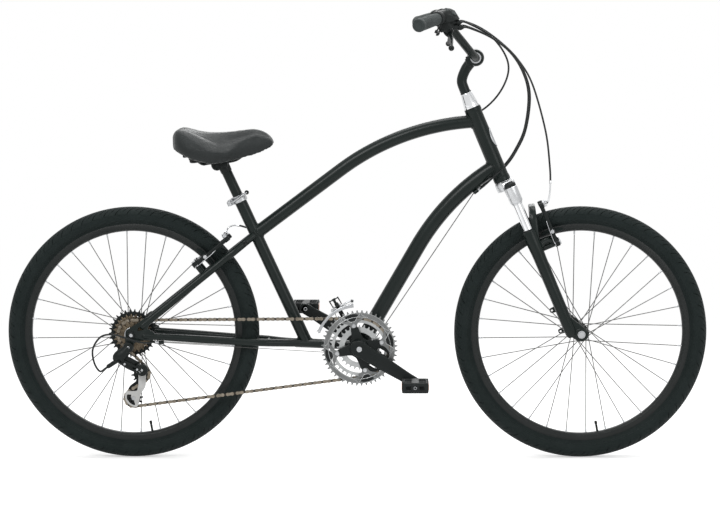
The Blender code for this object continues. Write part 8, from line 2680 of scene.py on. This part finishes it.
def sleeve_between(start, end, radius):
    """A ferrule: a short stepped cap over a cable's end."""
    run = end - start
    steps = ((0.9, 0), (1, 0.12), (1, 0.7), (0.82, 0.78), (0.82, 1))
    profile = [
        (0.0024, 0), *((radius * share, run.length * along) for share, along in steps), (0.0024, run.length),
    ]
    return lathe(start, run, profile, 24, True)


def part_of(path, start, end):
    """The stretch of an even path between two shares of its length."""
    last = len(path) - 1
    return path[round(start * last) : round(end * last) + 1]


def noodle(seat, path, side, word):
    """The silver bent pipe that leads the cable into the arm's head, with its seat on the arm."""
    body = f"{seat.word}_brake_arm_{word}"
    head = seat.at(HEAD_RISE, WIRE_OUT, side * 0.036)
    bend = smooth_path(
        [
            *path[:: max(1, len(path) // 5)], head + seat.up * 0.0045 + Y_AXIS * side * 0.0052,
            head + Y_AXIS * side * 0.001, head - Y_AXIS * side * 0.008,
        ],
        50,
    )
    shapes = [
        tube(bend, 0.0021, 20),
        rod(head + Y_AXIS * side * 0.003, head - Y_AXIS * side * 0.0045, 0.004, 24, 0.0006),
    ]
    shapes.append(sleeve_between(path[0], path[0] + (path[1] - path[0]).normalized() * 0.009, 0.0034))
    dress(joined(*shapes), f"{seat.word}_brake_noodle", body, "chrome")
    link = seat.at(HEAD_RISE, 0.0125, side * 0.036)
    holder = turned_block(link, (0.012, 0.0034, 0.0165), seat.up, Y_AXIS, seat.out, 0.0009)
    dress(holder, f"{seat.word}_brake_holder", body, "silver_alloy")


def barrel_way(which, side):
    """Two points that lead a cable out of its barrel."""
    root, tip = barrels()[which]
    way = (tip - root).normalized()
    return [to_side(tip - way * 0.004, side), to_side(tip + way * 0.016, side)]


def blended(obj, name, replaced=()):
    """A housing attached to no body, its placement baked into its mesh."""
    obj = dress(obj, name, None, "housing_black", replaced, 60)
    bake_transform(obj)


def make_front_brake_cable():
    """From the left lever round to the noodle over the right arm."""
    from_bar = [(0.019, 0.142, 0.074), (0.069, 0.106, 0.038), (0.113, 0.062, -0.007), (0.149, 0.016, -0.07)]
    to_arm = [
        (-0.0246, -0.036, 0.2954), (-0.0136, -0.05, 0.2034), (-0.0121, -0.052, 0.1534),
        (-0.0141, -0.05, 0.1274), (-0.0181, -0.045, 0.1099),
    ]
    route = [
        *barrel_way(0, FAR), *at_points(BAR_CENTRE, from_bar), *at_points(FRONT_BRAKE.origin, to_arm),
        FRONT_BRAKE.at(HEAD_RISE, WIRE_OUT, -0.036),
    ]
    path = smooth_path(route, 150)
    cover = part_of(path, 0, 0.905)
    noodle(FRONT_BRAKE, part_of(path, 0.895, 1.0), NEAR, "right")
    blended(
        tube(cover, HOUSING_RADIUS, 18), "front_brake_housing",
        ["front_brake_cable"],
    )


def make_rear_brake_cable():
    """From the right lever along the top tube, in guides, to the noodle over the left arm."""
    from_bar = [
        (0.036, -0.127, 0.058), (0.075, -0.08, 0.008), (0.084, -0.034, -0.038), (0.063, 0.014, -0.092),
        (0.021, 0.033, -0.136), (-0.041, 0.026, -0.166),
    ]
    to_arm = [
        (0.0346, 0.0215, 0.0265), (-0.0104, 0.026, 0.0125), (-0.0474, 0.036, 0.0185),
        (-0.0714, 0.044, 0.0145),
    ]
    along_tube = [Vector((p.x, 0.0172 + HOUSING_RADIUS + 0.0004, p.z)) for p in reversed(TOP_TUBE)]
    kept = along_tube[4:-4:6]
    route = [
        *barrel_way(0, NEAR), *at_points(BAR_CENTRE, from_bar), *kept, *at_points(SEAT_CROSS, to_arm),
        REAR_BRAKE.at(HEAD_RISE, WIRE_OUT, 0.036),
    ]
    path = smooth_path(route, 330)
    cover = part_of(path, 0, 0.962)
    noodle(REAR_BRAKE, part_of(path, 0.957, 1.0), FAR, "left")
    blended(
        tube(cover, HOUSING_RADIUS, 18), "rear_brake_housing",
        ["rear_brake_cable"],
    )
    clips = []
    for share in (0.36, 0.5, 0.64, 0.78):
        k = round(share * (len(path) - 1))
        run = (path[k + 1] - path[k - 1]).normalized()
        band = [
            (0.0024, 0), (0.0034, 0), (0.0037, 0.0008), (0.0037, 0.0056), (0.0034, 0.0064), (0.0024, 0.0064),
        ]
        clips.append(lathe(path[k] - run * 0.0032, run, band, 24, True))
        clips.append(
            turned_block(
                path[k] - Y_AXIS * 0.003, (0.0056, 0.004, 0.005), run, Y_AXIS, run.cross(Y_AXIS).normalized(),
                0.0008,
            )
        )
    dress(joined(*clips), "rear_brake_housing_guides", "frame", "frame_black")


def make_shift_cables():
    """Each runs in housing to the down tube's stops and bare under the bottom bracket."""
    stops = cable_stops()
    guide = [
        BRACKET + Vector((*polar(0.0245, math.radians(angle)), 0)).xzy
        for angle in (-30, -52, -75, -95, -115)
    ]
    ferrules = []
    for side, (low, high), word in ((NEAR, stops[0], "rear"), (FAR, stops[1], "front")):
        from_bar = [
            (0.036, side * 0.136, 0.055), (0.091, side * 0.102, 0.014), (0.125, side * 0.074, -0.038),
            (0.14, side * 0.056, -0.1), (0.13, side * 0.042, -0.185), (0.105, side * 0.037, -0.242),
        ]
        to_stop = [
            (0.0058, side * 0.034, 0.0389), (-0.0302, side * 0.029, 0.0059), (-0.0502, side * 0.014, -0.0136),
        ]
        route = [
            *barrel_way(1, side), *at_points(BAR_CENTRE, from_bar), *at_points(HEAD_BOTTOM, to_stop), high,
            high.lerp(low, 0.3),
        ]
        path = smooth_path(route, 170)
        blended(
            tube(path, HOUSING_RADIUS, 18), word + "_shift_housing",
            [word + "_shift_cable"],
        )
        ferrules.append(sleeve_between(high.lerp(low, -0.9), high.lerp(low, 0.2), 0.0037))
        wire = [high.lerp(low, 0.4), low.copy()] + [Vector((p.x, low.y * 0.8, p.z)) for p in guide]
        if side == FAR:
            wire += at_points(
                BRACKET,
                [
                    (-0.024, -0.012, -0.016), (-0.038, -0.0245, 0.004), (-0.052, -0.03, 0.055),
                    (-0.064, -0.04, 0.09),
                ],
            )
            wire.append(fd_spot(*FD_CLAMP))
        else:
            wire.append(stops[2][0])
        dress(tube(wire, WIRE_RADIUS, 12), word + "_shift_wire", "frame", "spoke_steel")
    low, back = stops[2]
    run = back - low
    round_axle = [
        (0.031, -0.0125, -0.019), (-0.005, -0.023, -0.0085), (-0.043, -0.025, 0.0035),
        (-0.077, -0.023, -0.002), (-0.099, -0.019, -0.034), (-0.0965, -0.017, -0.07),
        (-0.082, -0.016, -0.0935),
    ]
    into = (RD_BARREL_END - RD_LINK_TOP).normalized()
    face = REAR_AXLE - Y_AXIS * 0.0675
    loop = smooth_path(
        [
            low + run * 0.2, back + run * 0.9, *at_points(face, round_axle), RD_BARREL_END + into * 0.005,
            RD_BARREL_END - into * 0.004,
        ],
        130,
    )
    blended(
        tube(loop, HOUSING_RADIUS, 18), "derailleur_housing",
    )
    ferrules.append(sleeve_between(back + run * 0.7, back - run * 0.2, 0.0037))
    dress(joined(*ferrules), "cable_ferrules", "frame", "silver_alloy")
    shoe = [polar(0.0204, math.radians(a)) for a in (-18, -44, -70, -96, -122)] + [
        polar(0.0236, math.radians(a))
        for a in (-118, -96, -70, -44, -22)
    ]
    shoe = rounded(prism(rounded_outline(shoe, 0.0015, 3), -0.013, 0.013, BRACKET), 0.0006, 2)
    dress(shoe, "cable_shoe", "frame", "black_plastic")


# Studio

FLOOR_GLOW = 0.42
WORLD_LIGHT = 0.45
FLOOR_SIZE = 30
CAMERA_LENS = 141.97
CAMERA_PLACE = (0.1428, -7.4159, 1.2301)
CAMERA_TURN = (-0.018042, 0.096571, -0.0021172)


def make_floor():
    """A pale floor that fades to white away from the bike and keeps its shadow."""
    made = bpy.data.materials.new("floor_white")
    made.use_nodes = True
    nodes = Nodes(made.node_tree)
    shader = nodes.tree.nodes["Principled BSDF"]
    shader.inputs["Base Color"].default_value = (0.86, 0.86, 0.86, 1)
    shader.inputs["Roughness"].default_value = 0.9
    shader.inputs["Specular IOR Level"].default_value = 0.1
    path = nodes.node("ShaderNodeLightPath").outputs
    seen = nodes.math("MAXIMUM", path["Is Camera Ray"], path["Is Glossy Ray"])
    glow = nodes.node("ShaderNodeEmission", {"Strength": nodes.math("MULTIPLY", seen, FLOOR_GLOW)})
    both = nodes.node("ShaderNodeAddShader", {0: shader.outputs[0], 1: glow.outputs[0]})
    white = nodes.node("ShaderNodeEmission")
    far = nodes.vector("LENGTH", {0: nodes.node("ShaderNodeTexCoord").outputs["Object"]}, "Value")
    share = nodes.math("MULTIPLY", nodes.span(far, 0, 1, 1.3, 3.2), seen)
    mix = nodes.node("ShaderNodeMixShader", {0: share, 1: both.outputs[0], 2: white.outputs[0]})
    nodes.tree.links.new(mix.outputs[0], nodes.tree.nodes["Material Output"].inputs["Surface"])
    corners = [Vector((x, y, 0)) for x, y in oblong(FLOOR_SIZE, FLOOR_SIZE)]
    floor = mesh_object(corners, [[0, 1, 2, 3]])
    floor.name = "floor"
    floor.data.materials.append(made)


def make_world():
    """Soft grey light on the bike, and white wherever the camera, gloss or glass sees past it."""
    world = bpy.data.worlds.new("studio")
    scene.world = world
    world.use_nodes = True
    world.node_tree.nodes.clear()
    nodes = Nodes(world.node_tree)
    path = nodes.node("ShaderNodeLightPath").outputs
    seen = nodes.math("MAXIMUM", path["Is Camera Ray"], path["Is Glossy Ray"])
    through = nodes.math("MAXIMUM", seen, path["Is Transmission Ray"])
    inputs = {"Color": (1, 1, 1, 1), "Strength": nodes.span(through, WORLD_LIGHT, 1.0, 0, 1)}
    back = nodes.node("ShaderNodeBackground", inputs)
    nodes.node("ShaderNodeOutputWorld", {"Surface": back.outputs[0]})


def lamp(name, place, target, size, power):
    data = bpy.data.lights.new(name, "AREA")
    data.shape = "RECTANGLE"
    data.size, data.size_y = size
    data.energy = power
    made = bpy.data.objects.new(name, data)
    scene.collection.objects.link(made)
    made.location = place
    made.rotation_euler = (Vector(target) - Vector(place)).to_track_quat("-Z", "Y").to_euler()


def make_camera():
    """The photograph's own view: long lens, nearly level with the bars and square to the bike."""
    data = bpy.data.cameras.new("camera")
    data.sensor_width = 36
    data.lens = CAMERA_LENS
    data.clip_end = 100
    camera = bpy.data.objects.new("camera", data)
    scene.collection.objects.link(camera)
    yaw, pitch, roll = CAMERA_TURN
    ahead = Vector((math.sin(yaw) * math.cos(pitch), math.cos(yaw) * math.cos(pitch), -math.sin(pitch)))
    level = Vector((math.cos(yaw), -math.sin(yaw), 0))
    raised = level.cross(ahead)
    right = level * math.cos(roll) + raised * math.sin(roll)
    up = raised * math.cos(roll) - level * math.sin(roll)
    turn = Matrix((right, up, -ahead)).transposed()
    camera.matrix_world = Matrix.Translation(CAMERA_PLACE) @ turn.to_4x4()
    scene.camera = camera


def make_studio():
    make_floor()
    make_world()
    lamp("key", (-1.6, -3.4, 3.4), (0, 0, 0.5), (2.4, 1.6), 78)
    lamp("fill", (2.8, -3.2, 1.8), (0, 0, 0.5), (2.0, 2.0), 26)
    lamp("top", (0.2, 0.3, 3.6), (0, 0, 0.3), (3.0, 1.6), 60)
    lamp("back", (0.4, 3.2, 2.4), (0, 0, 0.6), (2.6, 1.4), 34)
    make_camera()
    scene.view_settings.view_transform = "Standard"


# Everything


def finish_nodes():
    """Every CAD node that stays in view gets the finish of its material slot."""
    for name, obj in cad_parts.items():
        kind = obj.data.materials[0].name.split(".")[0]
        if kind == "rim_black":
            kind = "rim_black_front" if name.startswith("front") else "rim_black_rear"
        elif name.startswith("chainring"):
            kind = "ring_alloy"
        elif name == "freewheel_cogs":
            kind = "cog_bronze"
        obj.data.materials[0] = finishes[kind]


def main():
    finish_nodes()
    make_frame()
    make_badge()
    make_fork_crown()
    make_lowers()
    make_headset_cone()
    for side, word in SIDES:
        make_knob(side, word)
    make_front_wheel()
    make_rear_wheel()
    ring = ChainWheel(BRACKET, RING_TEETH[1], 1)
    cog = ChainWheel(REAR_AXLE, COG_TEETH[2], 1)
    guide, tension = ChainWheel(GUIDE_PULLEY, 11, -1), ChainWheel(TENSION_PULLEY, 11, 1)
    pins = chain_pins([ring, tension, guide, cog])
    make_chain(pins)
    make_freewheel(cog.phase)
    make_rings(ring.phase)
    for side, word in SIDES:
        make_crank(side, word)
        make_pedal(side, word)
    make_spindle()
    make_bracket()
    make_front_derailleur()
    make_rear_derailleur()
    make_pulley("guide_pulley", guide)
    make_pulley("tension_pulley", tension)
    make_saddle()
    make_saddle_underside()
    make_seatpost()
    make_seat_clamp()
    make_clamp_lever()
    make_stem()
    make_handlebar()
    for side, word in SIDES:
        make_grip(side, word)
        make_control(side, word)
        make_brake_lever(side, word)
        make_shift_lever(side, word)
        for seat in (FRONT_BRAKE, REAR_BRAKE):
            make_brake_arm(seat, side, word)
    make_brake_cover(FRONT_BRAKE, FAR, "left")
    make_brake_cover(REAR_BRAKE, NEAR, "right")
    make_front_brake_cable()
    make_rear_brake_cable()
    make_shift_cables()
    make_studio()


main()
